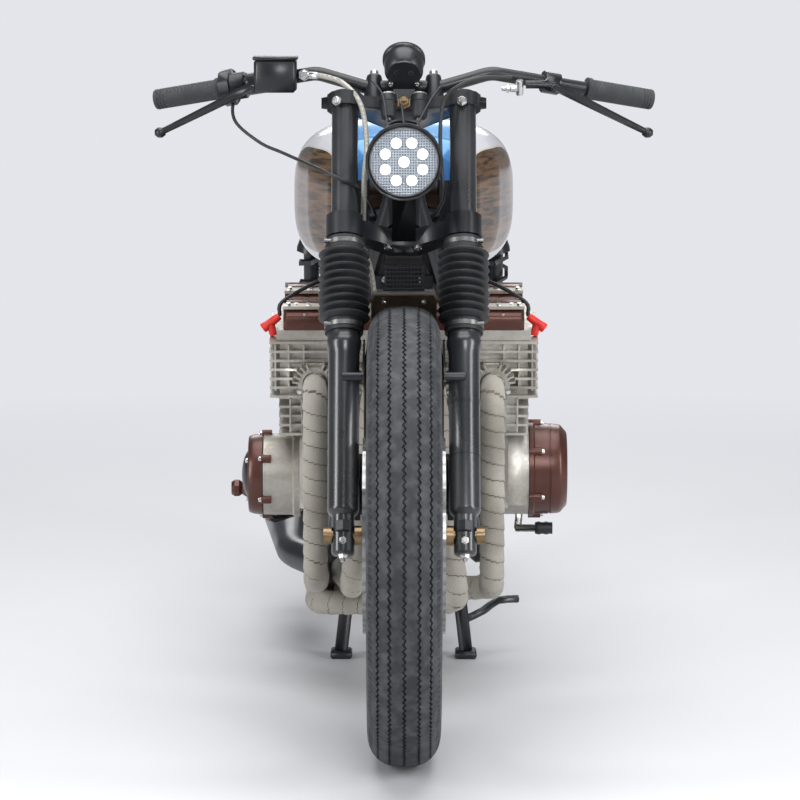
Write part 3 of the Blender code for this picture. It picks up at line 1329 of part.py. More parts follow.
def brake_plate():
    """The fixed plate of the rear drum brake, with the torque arm that holds it to the right arm."""
    inner = -(DRUM_WIDTH + MOVING_CLEARANCE)
    plate = turned(REAR_AXLE + X_AXIS * inner, -X_AXIS, [
        (0, DRUM_RADIUS),
        (0.008, DRUM_RADIUS),
        (0.020, DRUM_RADIUS * 0.5),
        (SWINGARM_X - SWINGARM_WIDTH / 2 + inner, AXLE_SPACER_RADIUS),
    ], 14)
    low = REAR_AXLE + Vector((inner - 0.018, 0, -DRUM_RADIUS * 0.75))
    arm_end = spot(-SWINGARM_X + SWINGARM_WIDTH / 2 - 0.004, SWINGARM_DEPTH + 0.300, SWINGARM_HEIGHT - 0.030)
    torque_arm = cylinder(low + X_AXIS * 0.010, arm_end - X_AXIS * 0.004, 0.006, 8)
    lug = cylinder(low + X_AXIS * 0.016, low - X_AXIS * 0.004, 0.011, 8)
    end_lug = cylinder(arm_end, arm_end - X_AXIS * 0.012 + Vector((0, 0, 0.020)), 0.009, 8)
    return plate, lug, torque_arm, end_lug


def make_shock(name, side, body):
    """A shock absorber with its coil spring round the damper, and an eye at each end."""
    top = spot(side * SHOCK_X, SHOCK_TOP_DEPTH, SHOCK_TOP_HEIGHT)
    bottom = spot(side * SHOCK_X, SHOCK_BOTTOM_DEPTH, SHOCK_BOTTOM_HEIGHT)
    axis = (top - bottom).normalized()
    length = (top - bottom).length
    seat = SHOCK_EYE_RADIUS + 0.010
    spring_end = length - seat - SHOCK_COLLAR
    damper = turned(bottom, axis, [
        (0, 0.009),
        (seat, 0.012),
        (seat, SHOCK_RADIUS * 0.9),
        (seat + 0.006, SHOCK_RADIUS * 0.9),
        (seat + 0.006, SHOCK_BODY_RADIUS),
        (spring_end, SHOCK_BODY_RADIUS),
        (spring_end, SHOCK_RADIUS),
        (length - seat, SHOCK_RADIUS * 0.6),
        (length - seat + 0.006, 0.010),
        (length, 0.009),
    ], PIN_SIDES)
    spring = coil(bottom + axis * (seat + 0.004), axis, spring_end - seat - 0.002)
    eyes = [
        cylinder(end - X_AXIS * SHOCK_EYE_WIDTH / 2, end + X_AXIS * SHOCK_EYE_WIDTH / 2, SHOCK_EYE_RADIUS, PIN_SIDES)
        for end in (top, bottom)
    ]
    bores = [
        cylinder(end - X_AXIS * SHOCK_EYE_WIDTH, end + X_AXIS * SHOCK_EYE_WIDTH, SHOCK_PIN_RADIUS + FACE_GAP, PIN_SIDES)
        for end in (top, bottom)
    ]
    add_piece(name, cut(joined(damper, spring, *eyes), *bores), SATIN_BLACK, body)


def coil(start, axis, length):
    """A coil spring as one wound bar."""
    first, second = basis_of(axis)
    points = []
    count = SHOCK_COILS * SHOCK_COIL_STEPS
    middle = SHOCK_RADIUS - SHOCK_COIL_RADIUS
    for i in range(count + 1):
        angle = 2 * math.pi * i / SHOCK_COIL_STEPS
        outward = first * math.cos(angle) + second * math.sin(angle)
        points.append(start + axis * (length * i / count) + outward * middle)
    return tube(points, SHOCK_COIL_RADIUS, 3)


def make_centre_stand(body):
    """Two splayed legs with feet, joined by a cross tube, turning on the shaft under the frame."""
    sleeves, legs, feet, bores = [], [], [], []
    foot_depth = STAND_DEPTH - STAND_FOOT_FORWARD
    for side in SIDES.values():
        inner = side * (STAND_SLEEVE_X - STAND_SLEEVE_WIDTH / 2)
        outer = side * (STAND_SLEEVE_X + STAND_SLEEVE_WIDTH / 2)
        start = spot(inner, STAND_DEPTH, STAND_HEIGHT)
        end = spot(outer, STAND_DEPTH, STAND_HEIGHT)
        sleeves.append(cylinder(start, end, STAND_SLEEVE_RADIUS, HUB_SIDES))
        reach = (end - start) * 0.2
        bores.append(cylinder(start - reach, end + reach, STAND_SHAFT_RADIUS + PIN_CLEARANCE, PIN_SIDES))
        legs.append(cylinder(
            spot(side * STAND_SLEEVE_X, STAND_DEPTH - 0.002, STAND_HEIGHT - STAND_SLEEVE_RADIUS * 0.85),
            spot(side * STAND_FOOT_X, foot_depth, STAND_LEG_RADIUS),
            STAND_LEG_RADIUS, PIN_SIDES,
        ))
        feet.append(bevelled(box(
            spot(side * STAND_FOOT_X - STAND_FOOT_WIDTH / 2, foot_depth - STAND_FOOT_LENGTH / 2, 0),
            spot(side * STAND_FOOT_X + STAND_FOOT_WIDTH / 2, foot_depth + STAND_FOOT_LENGTH / 2, 0.012),
        ), 0.003))
    bridge_end = spot(STAND_FOOT_X - 0.008, foot_depth + 0.008, STAND_BRIDGE_HEIGHT)
    bridge = cylinder(on_side(bridge_end, -1), bridge_end, STAND_LEG_RADIUS * 0.8, PIN_SIDES)
    tang = tube(smooth_route([
        spot(STAND_FOOT_X - 0.006, foot_depth + 0.006, 0.060),
        spot(STAND_FOOT_X + 0.030, foot_depth + 0.020, 0.075),
        spot(STAND_FOOT_X + 0.055, foot_depth + 0.060, 0.085),
        spot(STAND_FOOT_X + 0.090, foot_depth + 0.075, 0.085),
    ], 2), 0.007, 6)
    stand = joined(sleeves[0], sleeves[1], *legs, *feet, bridge, tang)
    add_piece("centre_stand", cut(stand, *bores), SATIN_BLACK, body)


# Engine


def cylinder_slab(half_width, low, high, half_depth):
    """A block square to the leaning cylinders."""
    outline = [
        on_cylinder(-half_width, low, -half_depth),
        on_cylinder(-half_width, high, -half_depth),
        on_cylinder(-half_width, high, half_depth),
        on_cylinder(-half_width, low, half_depth),
    ]
    return slab(outline, X_AXIS * half_width * 2)


def finned_block(low, high, half_width, half_depth):
    """A core with cooling fins all round it, square to the cylinders."""
    core = cylinder_slab(half_width - FIN_DEPTH, low, high, half_depth - FIN_DEPTH * FIN_FRONT_SHARE)
    count = int((high - low) / FIN_PITCH)
    fins = []
    for i in range(count):
        start = low + (high - low - FIN_THICKNESS) * i / max(count - 1, 1)
        fin = cylinder_slab(half_width, start, start + FIN_THICKNESS, half_depth)
        fins.append(fin)
    return core, fins


def make_cylinder_block(body):
    core, fins = finned_block(BLOCK_BASE + FACE_GAP, BLOCK_TOP, BLOCK_HALF_WIDTH, CYLINDER_HALF_DEPTH - 0.008)
    add_piece("cylinder_block", joined(core, *fins), CAST_ALLOY, body)


def bore_places():
    """The four cylinders' places across the engine, from the right."""
    return [BORE_SPACING * (i - 1.5) for i in range(4)]


def make_cylinder_head(body):
    """The finned head with an exhaust collar in front of each cylinder and an intake stub behind it."""
    core, fins = finned_block(BLOCK_TOP + FACE_GAP, HEAD_TOP, HEAD_HALF_WIDTH, CYLINDER_HALF_DEPTH)
    front = CYLINDER_HALF_DEPTH - FIN_DEPTH * FIN_FRONT_SHARE
    collars = []
    for x in bore_places():
        port = on_cylinder(x, PORT_ALONG, -front)
        ahead = on_cylinder(x, PORT_ALONG, -1) - on_cylinder(x, PORT_ALONG, 0)
        reach = FIN_DEPTH * FIN_FRONT_SHARE + PORT_COLLAR_LENGTH
        collars.append(cylinder(port - ahead * OVERLAP, port + ahead * reach, PORT_COLLAR_RADIUS, PIN_SIDES))
        intake = on_cylinder(x, INTAKE_ALONG, front)
        collars.append(cylinder(intake + ahead * OVERLAP, intake - ahead * (reach + 0.006), INTAKE_RADIUS, PIN_SIDES))
    add_piece("cylinder_head", joined(core, *fins, *collars), CAST_ALLOY, body)


def make_cam_cover(body):
    """The cover over both camshafts, as two rounded humps on one flange."""
    base = HEAD_TOP + FACE_GAP
    hump_half = CYLINDER_HALF_DEPTH * 0.40
    flange = cylinder_slab(CAM_COVER_HALF_WIDTH + 0.010, base, base + CAM_FLANGE, CYLINDER_HALF_DEPTH - 0.006)
    humps = []
    for place in (-1, 1):
        middle = place * (CYLINDER_HALF_DEPTH - hump_half - 0.006)
        outline = [
            on_cylinder(-CAM_COVER_HALF_WIDTH, base + along, middle + across)
            for along, across in [
                (0.004, -hump_half),
                (0.040, -hump_half),
                (CAM_COVER_TOP - HEAD_TOP - 0.012, -hump_half * 0.75),
                (CAM_COVER_TOP - HEAD_TOP, -hump_half * 0.35),
                (CAM_COVER_TOP - HEAD_TOP, hump_half * 0.35),
                (CAM_COVER_TOP - HEAD_TOP - 0.012, hump_half * 0.75),
                (0.040, hump_half),
                (0.004, hump_half),
            ]
        ]
        humps.append(bevelled(slab(outline, X_AXIS * CAM_COVER_HALF_WIDTH * 2), 0.005))
    add_piece("cam_cover", joined(flange, *humps), BROWN_METAL, body)


def make_crankcase(body):
    """The cast case: crankshaft chamber, gearbox behind it and the sump below, with round seats for its covers."""
    outline = [
        (-0.098, 0.018), (-0.098, -0.040), (-0.060, -0.096), (0.040, -0.104), (0.250, -0.092),
        (0.305, -0.030), (0.300, 0.040), (0.215, 0.086), (0.090, 0.100),
    ]
    profile = [spot(-CASE_HALF_WIDTH, CRANK_DEPTH + back, CRANK_HEIGHT + up) for back, up in outline]
    top_front = on_cylinder(-CASE_HALF_WIDTH, BLOCK_BASE, -CYLINDER_HALF_DEPTH + 0.006)
    top_rear = on_cylinder(-CASE_HALF_WIDTH, BLOCK_BASE, CYLINDER_HALF_DEPTH - 0.006)
    profile[-1:] = [top_rear, top_front]
    case = bevelled(slab(profile, X_AXIS * CASE_HALF_WIDTH * 2), 0.010)
    low = CRANK_HEIGHT - 0.090
    relief = [
        slab([
            spot(side * CASE_LOWER_HALF_WIDTH, 0.30, low - 0.100),
            spot(side * CASE_LOWER_HALF_WIDTH, 0.30, low + 0.012),
            spot(side * (CASE_LOWER_HALF_WIDTH + 0.030), 0.30, low + 0.042),
            spot(side * (CASE_HALF_WIDTH + 0.02), 0.30, low + 0.042),
            spot(side * (CASE_HALF_WIDTH + 0.02), 0.30, low - 0.100),
        ], Vector((0, 0.7, 0)))
        for side in SIDES.values()
    ]
    notches = [
        box(spot(CASE_NOTCH_X, CASE_NOTCH_DEPTH, 0.2), spot(CASE_HALF_WIDTH + 0.02, 1.0, 0.6)),
        box(spot(-CASE_HALF_WIDTH - 0.02, CASE_RIGHT_NOTCH_DEPTH, 0.2), spot(-CASE_LOWER_HALF_WIDTH, 1.0, 0.6)),
    ]
    drive = sprocket(spot(CHAIN_X, SPROCKET_DEPTH, SPROCKET_HEIGHT), FRONT_SPROCKET_TEETH, 0.006, SPROCKET_THICKNESS)
    shaft = cylinder(
        spot(CASE_NOTCH_X - OVERLAP, SPROCKET_DEPTH, SPROCKET_HEIGHT),
        spot(CHAIN_X + 0.010, SPROCKET_DEPTH, SPROCKET_HEIGHT), 0.014, 12,
    )
    sump = bevelled(box(
        spot(-CASE_LOWER_HALF_WIDTH * 0.85, CRANK_DEPTH - 0.050, CRANK_HEIGHT - SUMP_DROP),
        spot(CASE_LOWER_HALF_WIDTH * 0.85, CRANK_DEPTH + 0.190, CRANK_HEIGHT - 0.080),
    ), 0.012)
    seat = cylinder(
        spot(CASE_HALF_WIDTH - 0.010, CRANK_DEPTH, CRANK_HEIGHT + 0.004),
        spot(ALTERNATOR_SEAT_X, CRANK_DEPTH, CRANK_HEIGHT + 0.004), ALTERNATOR_RADIUS, COVER_SIDES,
    )
    case = joined(cut(case, *relief, *notches), sump, seat, shaft, drive)
    add_piece("crankcase", case, CAST_ALLOY, body)


def make_engine_covers(body):
    """The brown alternator cover at the left end of the crankshaft, and the ignition cover at the right."""
    centre = spot(ALTERNATOR_SEAT_X + FACE_GAP, CRANK_DEPTH, CRANK_HEIGHT + 0.004)
    length = ALTERNATOR_OUTER_X - ALTERNATOR_SEAT_X
    alternator = turned(centre, X_AXIS, [
        (0, ALTERNATOR_RADIUS + 0.003),
        (0.008, ALTERNATOR_RADIUS + 0.003),
        (0.010, ALTERNATOR_RADIUS),
        (length - 0.012, ALTERNATOR_RADIUS - 0.002),
        (length, ALTERNATOR_RADIUS - 0.014),
    ], COVER_SIDES)
    add_piece("alternator_cover", alternator, BROWN_METAL, body)
    start = spot(-CASE_HALF_WIDTH - FACE_GAP, CRANK_DEPTH, CRANK_HEIGHT - 0.005)
    drum = turned(start, -X_AXIS, [
        (0, IGNITION_RADIUS * 1.05),
        (0.010, IGNITION_RADIUS * 1.05),
        (0.012, IGNITION_RADIUS),
        (IGNITION_OUTER_X - CASE_HALF_WIDTH, IGNITION_RADIUS),
    ], COVER_SIDES)
    add_piece("ignition_housing", drum, CAST_ALLOY, body)
    cap_start = spot(-IGNITION_OUTER_X - FACE_GAP * 2, CRANK_DEPTH, CRANK_HEIGHT - 0.005)
    reach = IGNITION_CAP_X - IGNITION_OUTER_X
    cap = turned(cap_start, -X_AXIS, [
        (0, IGNITION_RADIUS),
        (reach * 0.65, IGNITION_RADIUS * 0.95),
        (reach * 0.72, IGNITION_RADIUS * 0.62),
        (reach * 0.72, IGNITION_RADIUS * 0.46),
        (reach, IGNITION_RADIUS * 0.30),
    ], COVER_SIDES)
    add_piece("ignition_cap", cap, BROWN_METAL, body)


def make_clutch_cover(body):
    """The round clutch cover low behind the ignition cover, on the right."""
    start = spot(-CASE_HALF_WIDTH - FACE_GAP, CLUTCH_DEPTH, CLUTCH_HEIGHT)
    cover = turned(start, -X_AXIS, [
        (0, CLUTCH_RADIUS),
        (0.020, CLUTCH_RADIUS),
        (0.030, CLUTCH_RADIUS * 0.88),
        (0.034, CLUTCH_RADIUS * 0.5),
    ], COVER_SIDES)
    add_piece("clutch_cover", cover, CAST_ALLOY, body)


def make_sprocket_cover(body):
    """The cover beside the gearbox sprocket on the left, seated on the case in front of the chain."""
    inner = CHAIN_X + CHAIN_WIDTH / 2 + MOVING_CLEARANCE
    outline = [
        (CASE_NOTCH_DEPTH + FACE_GAP, CRANK_HEIGHT + 0.055),
        (CASE_NOTCH_DEPTH + 0.070, CRANK_HEIGHT + 0.062),
        (CASE_NOTCH_DEPTH + 0.118, CRANK_HEIGHT + 0.030),
        (CASE_NOTCH_DEPTH + 0.118, CRANK_HEIGHT - 0.020),
        (CASE_NOTCH_DEPTH + 0.070, CRANK_HEIGHT - 0.050),
        (CASE_NOTCH_DEPTH + FACE_GAP, CRANK_HEIGHT - 0.050),
    ]
    points = [spot(inner, depth, height) for depth, height in outline]
    cover = bevelled(slab(points, X_AXIS * (CASE_HALF_WIDTH - 0.012 - inner)), 0.006)
    add_piece("sprocket_cover", cover, CAST_ALLOY, body)


def make_ignition_leads(name, side, body):
    """A coil under the backbone with two leads to the red caps of its two spark plugs."""
    coil = spot(side * COIL_X, COIL_DEPTH, COIL_HEIGHT)
    along = Vector((0, COIL_LENGTH / 2, 0))
    hanger = nearest_on_backbone(coil) - coil
    reach = hanger.length - BACKBONE_RADIUS - FACE_GAP
    pieces = [
        cylinder(coil - along, coil + along, COIL_RADIUS, 10),
        cylinder(coil, coil + hanger.normalized() * reach, COIL_RADIUS * 0.4, 6),
    ]
    up = on_cylinder(0, 1) - on_cylinder(0, 0)
    outer = on_cylinder(side * PLUG_CAP_X, HEAD_TOP + PLUG_CAP_RADIUS + FACE_GAP, 0)
    valley = on_cylinder(side * BORE_SPACING, HEAD_TOP + CAM_FLANGE + FACE_GAP * 3, 0)
    for cap, lean in ((outer, side), (valley, 0)):
        top = cap + up * PLUG_CAP_LENGTH + X_AXIS * lean * PLUG_CAP_LENGTH * 0.5
        pieces.append(cylinder(cap, top, PLUG_CAP_RADIUS, PIN_SIDES))
        shelf = Vector((0, coil.y + PLUG_CAP_LENGTH * (1 if lean else 0.4), PLUG_LEAD_HEIGHT))
        route = smooth_route([
            top - up * PLUG_CAP_RADIUS,
            Vector((top.x, top.y, PLUG_LEAD_HEIGHT)),
            shelf + X_AXIS * (side * COIL_X * 0.5 + top.x * 0.5),
            shelf + X_AXIS * side * (COIL_X + 0.010),
            Vector((coil.x, shelf.y, coil.z - COIL_RADIUS * 0.6)),
        ], 2)
        pieces.append(tube(route, PLUG_LEAD_RADIUS, 5))
    add_piece(name, joined(pieces[0], *pieces[1:]), RED_CAP, body)


# Exhaust


def header_routes():
    """Centre lines of the four headers, from the ports down the front and back under the sump to the collector."""
    front = CYLINDER_HALF_DEPTH + PORT_COLLAR_LENGTH + FACE_GAP
    inlets = collector_inlets()
    routes = []
    for x, end in zip(bore_places(), inlets):
        outer = abs(x) > BORE_SPACING
        port = on_cylinder(x, PORT_ALONG, -front)
        ahead = on_cylinder(0, 0, -1) - on_cylinder(0, 0, 0)
        knee = port + ahead * ((HEADER_FRONT_DEPTH + FRONT_AXLE_Y - port.y) / ahead.y)
        low_x = x if outer else math.copysign(HEADER_INNER_LOW_X, x)
        low = HEADER_OUTER_LOW if outer else HEADER_INNER_LOW
        heel = spot(low_x, HEADER_BOTTOM_DEPTH, low)
        start_depth, end_depth, start_height = HEADER_CROSSINGS[outer][x > 0]
        crossing = [spot(low_x, start_depth, start_height), spot(end.x, end_depth, end.z)]
        corners = [port, knee, heel, *crossing, end + Vector((0, HEADER_INSERT, 0))]
        routes.append(rounded_route(corners, HEADER_BENDS))
    return routes


def collector_inlets():
    """The four pipe ends at the collector, the right pair above the left pair."""
    centre = spot(COLLECTOR_X, COLLECTOR_DEPTH, COLLECTOR_HEIGHT)
    offset = HEADER_RADIUS + COLLECTOR_PIPE_GAP
    return [centre + Vector((offset * across, 0, offset * up)) for across, up in COLLECTOR_PLACES]


def make_exhaust(body):
    """The wrapped headers with their collector, and the short megaphone on the right."""
    headers = [tube(route, HEADER_RADIUS, HEADER_SIDES) for route in header_routes()]
    start = spot(COLLECTOR_X, COLLECTOR_DEPTH + HEADER_INSERT / 2, COLLECTOR_HEIGHT)
    collector = turned(start, -FORWARD, [
        (0, COLLECTOR_RADIUS),
        (HEADER_INSERT, COLLECTOR_RADIUS),
        (COLLECTOR_LENGTH, COLLECTOR_PIPE_RADIUS),
    ], 16)
    add_piece("exhaust_headers", joined(headers[0], *headers[1:], collector), HEADER_WRAP, body)
    begin = start - FORWARD * (COLLECTOR_LENGTH + FACE_GAP)
    route = rounded_route([begin, *MUFFLER_CORNERS], MUFFLER_BENDS, 3)
    route[-1:] = [route[-2].lerp(route[-1], share) for share in (0.5, MUFFLER_LIP_SHARE, 1)]
    radii = muffler_radii(route)
    shell = tube(route, MUFFLER_RADIUS, MUFFLER_SIDES, radii)
    outward = (route[-1] - route[-2]).normalized()
    hollow = cylinder(
        route[-1] + outward * OVERLAP, route[-3], radii[-1] - MUFFLER_WALL, MUFFLER_SIDES, radii[-3] - MUFFLER_WALL
    )
    add_piece("muffler", cut(shell, hollow), SATIN_BLACK, body)


def muffler_radii(route):
    """The radius at each point: a plain pipe, then an even widening to the mouth."""
    travels = [0.0]
    for before, point in zip(route, route[1:]):
        travels.append(travels[-1] + (point - before).length)
    radii = []
    for travel in travels:
        widening = max(0.0, travel / travels[-1] - MUFFLER_PIPE_SHARE) / (1 - MUFFLER_PIPE_SHARE)
        radii.append(COLLECTOR_PIPE_RADIUS + (MUFFLER_RADIUS - COLLECTOR_PIPE_RADIUS) * widening)
    return radii


# Chain


def chain_loop():
    """Places and outward directions at each pin round both sprockets."""
    front = spot(CHAIN_X, SPROCKET_DEPTH, SPROCKET_HEIGHT)
    rear = REAR_AXLE + X_AXIS * CHAIN_X
    small = FRONT_SPROCKET_TEETH * CHAIN_PITCH / (2 * math.pi)
    large = REAR_SPROCKET_TEETH * CHAIN_PITCH / (2 * math.pi)
    reach = (rear - front).length
    along = (rear - front) / reach
    up = X_AXIS.cross(along)
    lean = math.asin((large - small) / reach)
    straight = reach * math.cos(lean)
    lengths = (straight, large * (math.pi + 2 * lean), straight, small * (math.pi - 2 * lean))
    links = 2 * round(sum(lengths) / CHAIN_PITCH / 2)
    places = []
    for i in range(links):
        travel = sum(lengths) * i / links
        leg = 0
        while travel > lengths[leg]:
            travel -= lengths[leg]
            leg += 1
        share = travel / lengths[leg]
        top = up * math.cos(lean) - along * math.sin(lean)
        bottom = -up * math.cos(lean) - along * math.sin(lean)
        if leg == 0:
            places.append(((front + top * small).lerp(rear + top * large, share), top))
        elif leg == 2:
            places.append(((rear + bottom * large).lerp(front + bottom * small, share), bottom))
        else:
            centre, radius, start = (rear, large, top) if leg == 1 else (front, small, bottom)
            turn = lengths[leg] / radius * share
            outward = Matrix.Rotation(-turn, 3, X_AXIS) @ start
            places.append((centre + outward * radius, outward))
    return places


def make_chain(body):
    """A roller chain as one closed band, with wide outer and narrow inner links by turns."""
    rings = []
    for i, (place, outward) in enumerate(chain_loop()):
        half_width = CHAIN_WIDTH / 2 * (1.0 if i % 2 else CHAIN_INNER_SHARE)
        rings.append([
            place + X_AXIS * (half_width * across) + outward * (CHAIN_LINK_HEIGHT / 2 * lift)
            for across, lift in ((-1, -1), (1, -1), (1, 1), (-1, 1))
        ])
    add_piece("chain", loft(rings, closed=True), STEEL, body)


# Carburettors and filters


def make_carburettors(body):
    """Four carburettors side by side on one rail, each with its float bowl and its slide dome."""
    start = INTAKE_END + FACE_GAP
    pieces = []
    for x in bore_places():
        throat = cylinder(
            on_cylinder(x, INTAKE_ALONG, start), on_cylinder(x, INTAKE_ALONG, start + CARBURETTOR_LENGTH), 0.023, PIN_SIDES
        )
        middle = on_cylinder(x, INTAKE_ALONG, start + CARBURETTOR_LENGTH * 0.5)
        bowl = box(middle + Vector((-0.021, -0.020, -0.052)), middle + Vector((0.021, 0.020, 0)))
        dome = turned(middle, Vector((0, 0, 1)), [(0, 0.022), (0.038, 0.022), (0.044, 0.016)], PIN_SIDES)
        pieces += [throat, bowl, dome]
    left = on_cylinder(BORE_SPACING * 1.5, INTAKE_ALONG, start + CARBURETTOR_LENGTH * 0.5)
    right = Vector((-left.x, left.y, left.z))
    drop = Vector((0, 0, -0.012))
    pieces.append(cylinder(left + drop, right + drop, 0.009, 6))
    add_piece("carburettors", joined(pieces[0], *pieces[1:]), CAST_ALLOY, body)


def make_air_filter(name, side, body):
    """An oval pod filter that serves the two carburettors of its side."""
    start = INTAKE_END + CARBURETTOR_LENGTH + FACE_GAP * 2
    up = on_cylinder(0, 1) - on_cylinder(0, 0)
    rings = []
    for share, grow in ((0, 0.82), (0.12, 1.0), (0.2, 0.93), (0.85, 0.98), (0.9, 1.04), (1, 0.98)):
        centre = on_cylinder(side * BORE_SPACING, INTAKE_ALONG, start + FILTER_LENGTH * share)
        rings.append(oval(centre, FILTER_HALF_WIDTH * grow, FILTER_HALF_HEIGHT * grow, 16, FILTER_SQUARENESS, up))
    add_piece(name, loft(rings), SATIN_BLACK, body)


def oval(centre, half_width, half_height, count, squareness, up):
    """A flattened oval across the motorcycle, squarer than an ellipse as squareness falls below 2."""
    points = []
    for i in range(count):
        angle = 2 * math.pi * (i + 0.5) / count
        across = half_width * signed_power(math.cos(angle), squareness / 2)
        points.append(centre + X_AXIS * across + up * (half_height * signed_power(math.sin(angle), squareness / 2)))
    return points


def signed_power(value, power):
    return math.copysign(abs(value) ** power, value)


# Tank, seat, boxes, fender and lamp


def eased(share, knots):
    """A smooth curve through (share, value) knots."""
    points = [Vector((place, value, 0)) for place, value in knots]
    for (low, _), (high, _), k in zip(knots, knots[1:], range(len(knots))):
        if share <= high:
            t = (share - low) / (high - low)
            before = points[max(k - 1, 0)]
            after = points[min(k + 2, len(points) - 1)]
            return catmull(before, points[k], points[k + 1], after, t).y
    return knots[-1][1]


def tank_ring(share):
    """One cross-section of the tank, from its front at 0 to its rear at 1."""
    half = TANK_HALF_WIDTH * eased(share, TANK_WIDTHS)
    top = TANK_TOP - eased(share, TANK_TOP_DROPS)
    low = TANK_BOTTOM + eased(share, TANK_BOTTOM_RISES)
    centre = spot(0, TANK_FRONT + (TANK_REAR - TANK_FRONT) * share, (top + low) / 2)
    return oval(centre, half, (top - low) / 2, TANK_RING_POINTS, TANK_SQUARENESS, Z_AXIS)


def make_fuel_tank(body):
    """The long rounded tank with a tunnel over the backbone and a flat seat for the filler cap."""
    shares = [0, 0.02, 0.07] + [0.15 + 0.72 * i / 5 for i in range(6)] + [0.94, 0.98, 1]
    skin = loft([tank_ring(share) for share in shares])
    rise = BACKBONE_RADIUS + TUNNEL_CLEARANCE
    front, rear = TANK_FRONT - 0.05, TANK_REAR + 0.05
    tunnel = slab([
        spot(-TUNNEL_HALF_WIDTH, front, backbone_height(front) + rise),
        spot(-TUNNEL_HALF_WIDTH, rear, backbone_height(rear) + rise),
        spot(-TUNNEL_HALF_WIDTH, rear, TANK_BOTTOM - 0.05),
        spot(-TUNNEL_HALF_WIDTH, front, TANK_BOTTOM - 0.05),
    ], X_AXIS * TUNNEL_HALF_WIDTH * 2)
    cap = filler_place()
    recess = cylinder(cap, cap + filler_axis() * 0.05, FILLER_RADIUS + 0.003, 20)
    add_piece("fuel_tank", cut(skin, tunnel, recess), PEARL_PAINT, body)


def filler_axis():
    return Vector((0, math.sin(FILLER_TILT), math.cos(FILLER_TILT)))


def filler_place():
    """The middle of the filler's flat seat, sunk a little below the tank's top."""
    share = (FILLER_DEPTH - TANK_FRONT) / (TANK_REAR - TANK_FRONT)
    top = TANK_TOP - eased(share, TANK_TOP_DROPS)
    return spot(0, FILLER_DEPTH, top - FILLER_SINK)


def make_filler_cap(body):
    cap = turned(filler_place() + filler_axis() * FACE_GAP, filler_axis(), [
        (0, FILLER_RADIUS),
        (0.012, FILLER_RADIUS),
        (0.016, FILLER_RADIUS * 0.88),
    ], 20)
    add_piece("filler_cap", cap, STEEL, body)


def make_seat(body):
    """The flat bench seat on the rails."""
    base = SEAT_RAIL_HEIGHT + SEAT_TUBE_RADIUS + FACE_GAP
    front = TANK_REAR + SEAT_GAP
    rings = []
    for share in (0, 0.015, 0.05, 0.2, 0.4, 0.6, 0.8, 0.95, 0.985, 1):
        half = SEAT_HALF_WIDTH * eased(share, SEAT_WIDTHS)
        high = SEAT_THICKNESS * eased(share, SEAT_HEIGHTS)
        centre = spot(0, front + (SEAT_REAR - front) * share, base)
        rings.append([
            centre + Vector((half * across, 0, high * lift))
            for across, lift in (
                (-0.90, 0), (-0.985, 0.12), (-1.0, 0.45), (-0.97, 0.78), (-0.88, 0.95), (-0.55, 1.0), (0, 1.01),
                (0.55, 1.0), (0.88, 0.95), (0.97, 0.78), (1.0, 0.45), (0.985, 0.12), (0.90, 0),
            )
        ])
    add_piece("seat", loft(rings), SEAT_COVER, body)


def make_battery_box(body):
    top = CROSS_TUBE_HEIGHT - SEAT_TUBE_FLAT - FACE_GAP
    low = spot(-BATTERY_HALF_WIDTH, UPRIGHT_DEPTH - 0.075, top - BATTERY_HEIGHT)
    high = spot(BATTERY_HALF_WIDTH, UPRIGHT_DEPTH + 0.085, top)
    add_piece("battery_box", bevelled(box(low, high), 0.008), SATIN_BLACK, body)


def make_rear_fender(body):
    """A short arch over the rear tyre, hung from the seat loop."""
    radius = REAR_TYRE_RADIUS + REAR_FENDER_CLEARANCE
    half = REAR_TYRE_HALF_WIDTH + MOVING_CLEARANCE + FENDER_SHEET
    sheet = arch(REAR_AXLE, radius, lambda angle: half, REAR_FENDER_START, REAR_FENDER_END, 9, FENDER_LIP * 2)
    angle = math.asin((REAR_LOOP_DEPTH - WHEELBASE) / radius)
    foot = fender_point(REAR_AXLE, 0, radius + FENDER_SHEET / 2, angle)
    top = SEAT_RAIL_HEIGHT - SEAT_TUBE_RADIUS - FACE_GAP
    hanger = box(
        Vector((-0.022, foot.y - 0.010, foot.z - FENDER_SHEET / 4)),
        Vector((0.022, foot.y + 0.010, top)),
    )
    add_piece("rear_fender", joined(sheet, hanger), SATIN_BLACK, body)


def make_tail_lamp(body):
    start = spot(0, REAR_LOOP_DEPTH + SEAT_TUBE_RADIUS + FACE_GAP, SEAT_RAIL_HEIGHT)
    lamp = turned(start, Vector((0, 1, 0)), [
        (0, TAIL_LAMP_RADIUS * 0.6),
        (0.010, TAIL_LAMP_RADIUS),
        (0.030, TAIL_LAMP_RADIUS),
        (0.036, TAIL_LAMP_RADIUS * 0.8),
    ], 16)
    add_piece("tail_lamp", lamp, RED_GLASS, body)


# Foot controls and regulator


def make_foot_peg(name, side, outer_x, body):
    """A serrated foot peg on the boss of the frame's peg plate."""
    start = spot(side * (PEG_MOUNT_X + FACE_GAP), PEG_DEPTH, PEG_HEIGHT)
    length = outer_x - PEG_MOUNT_X
    profile = [(0, PEG_RADIUS)]
    profile.append((PEG_PLAIN_LENGTH, PEG_RADIUS))
    teeth = int((length - PEG_PLAIN_LENGTH) / PEG_TOOTH_PITCH)
    for i in range(teeth):
        at = PEG_PLAIN_LENGTH + i * PEG_TOOTH_PITCH
        profile.append((at + PEG_TOOTH_PITCH * 0.3, PEG_RADIUS * 1.15))
        profile.append((at + PEG_TOOTH_PITCH * 0.7, PEG_RADIUS * 1.15))
        profile.append((at + PEG_TOOTH_PITCH, PEG_RADIUS * 0.85))
    add_piece(name, turned(start, X_AXIS * side, profile, PIN_SIDES), BROWN_METAL, body)


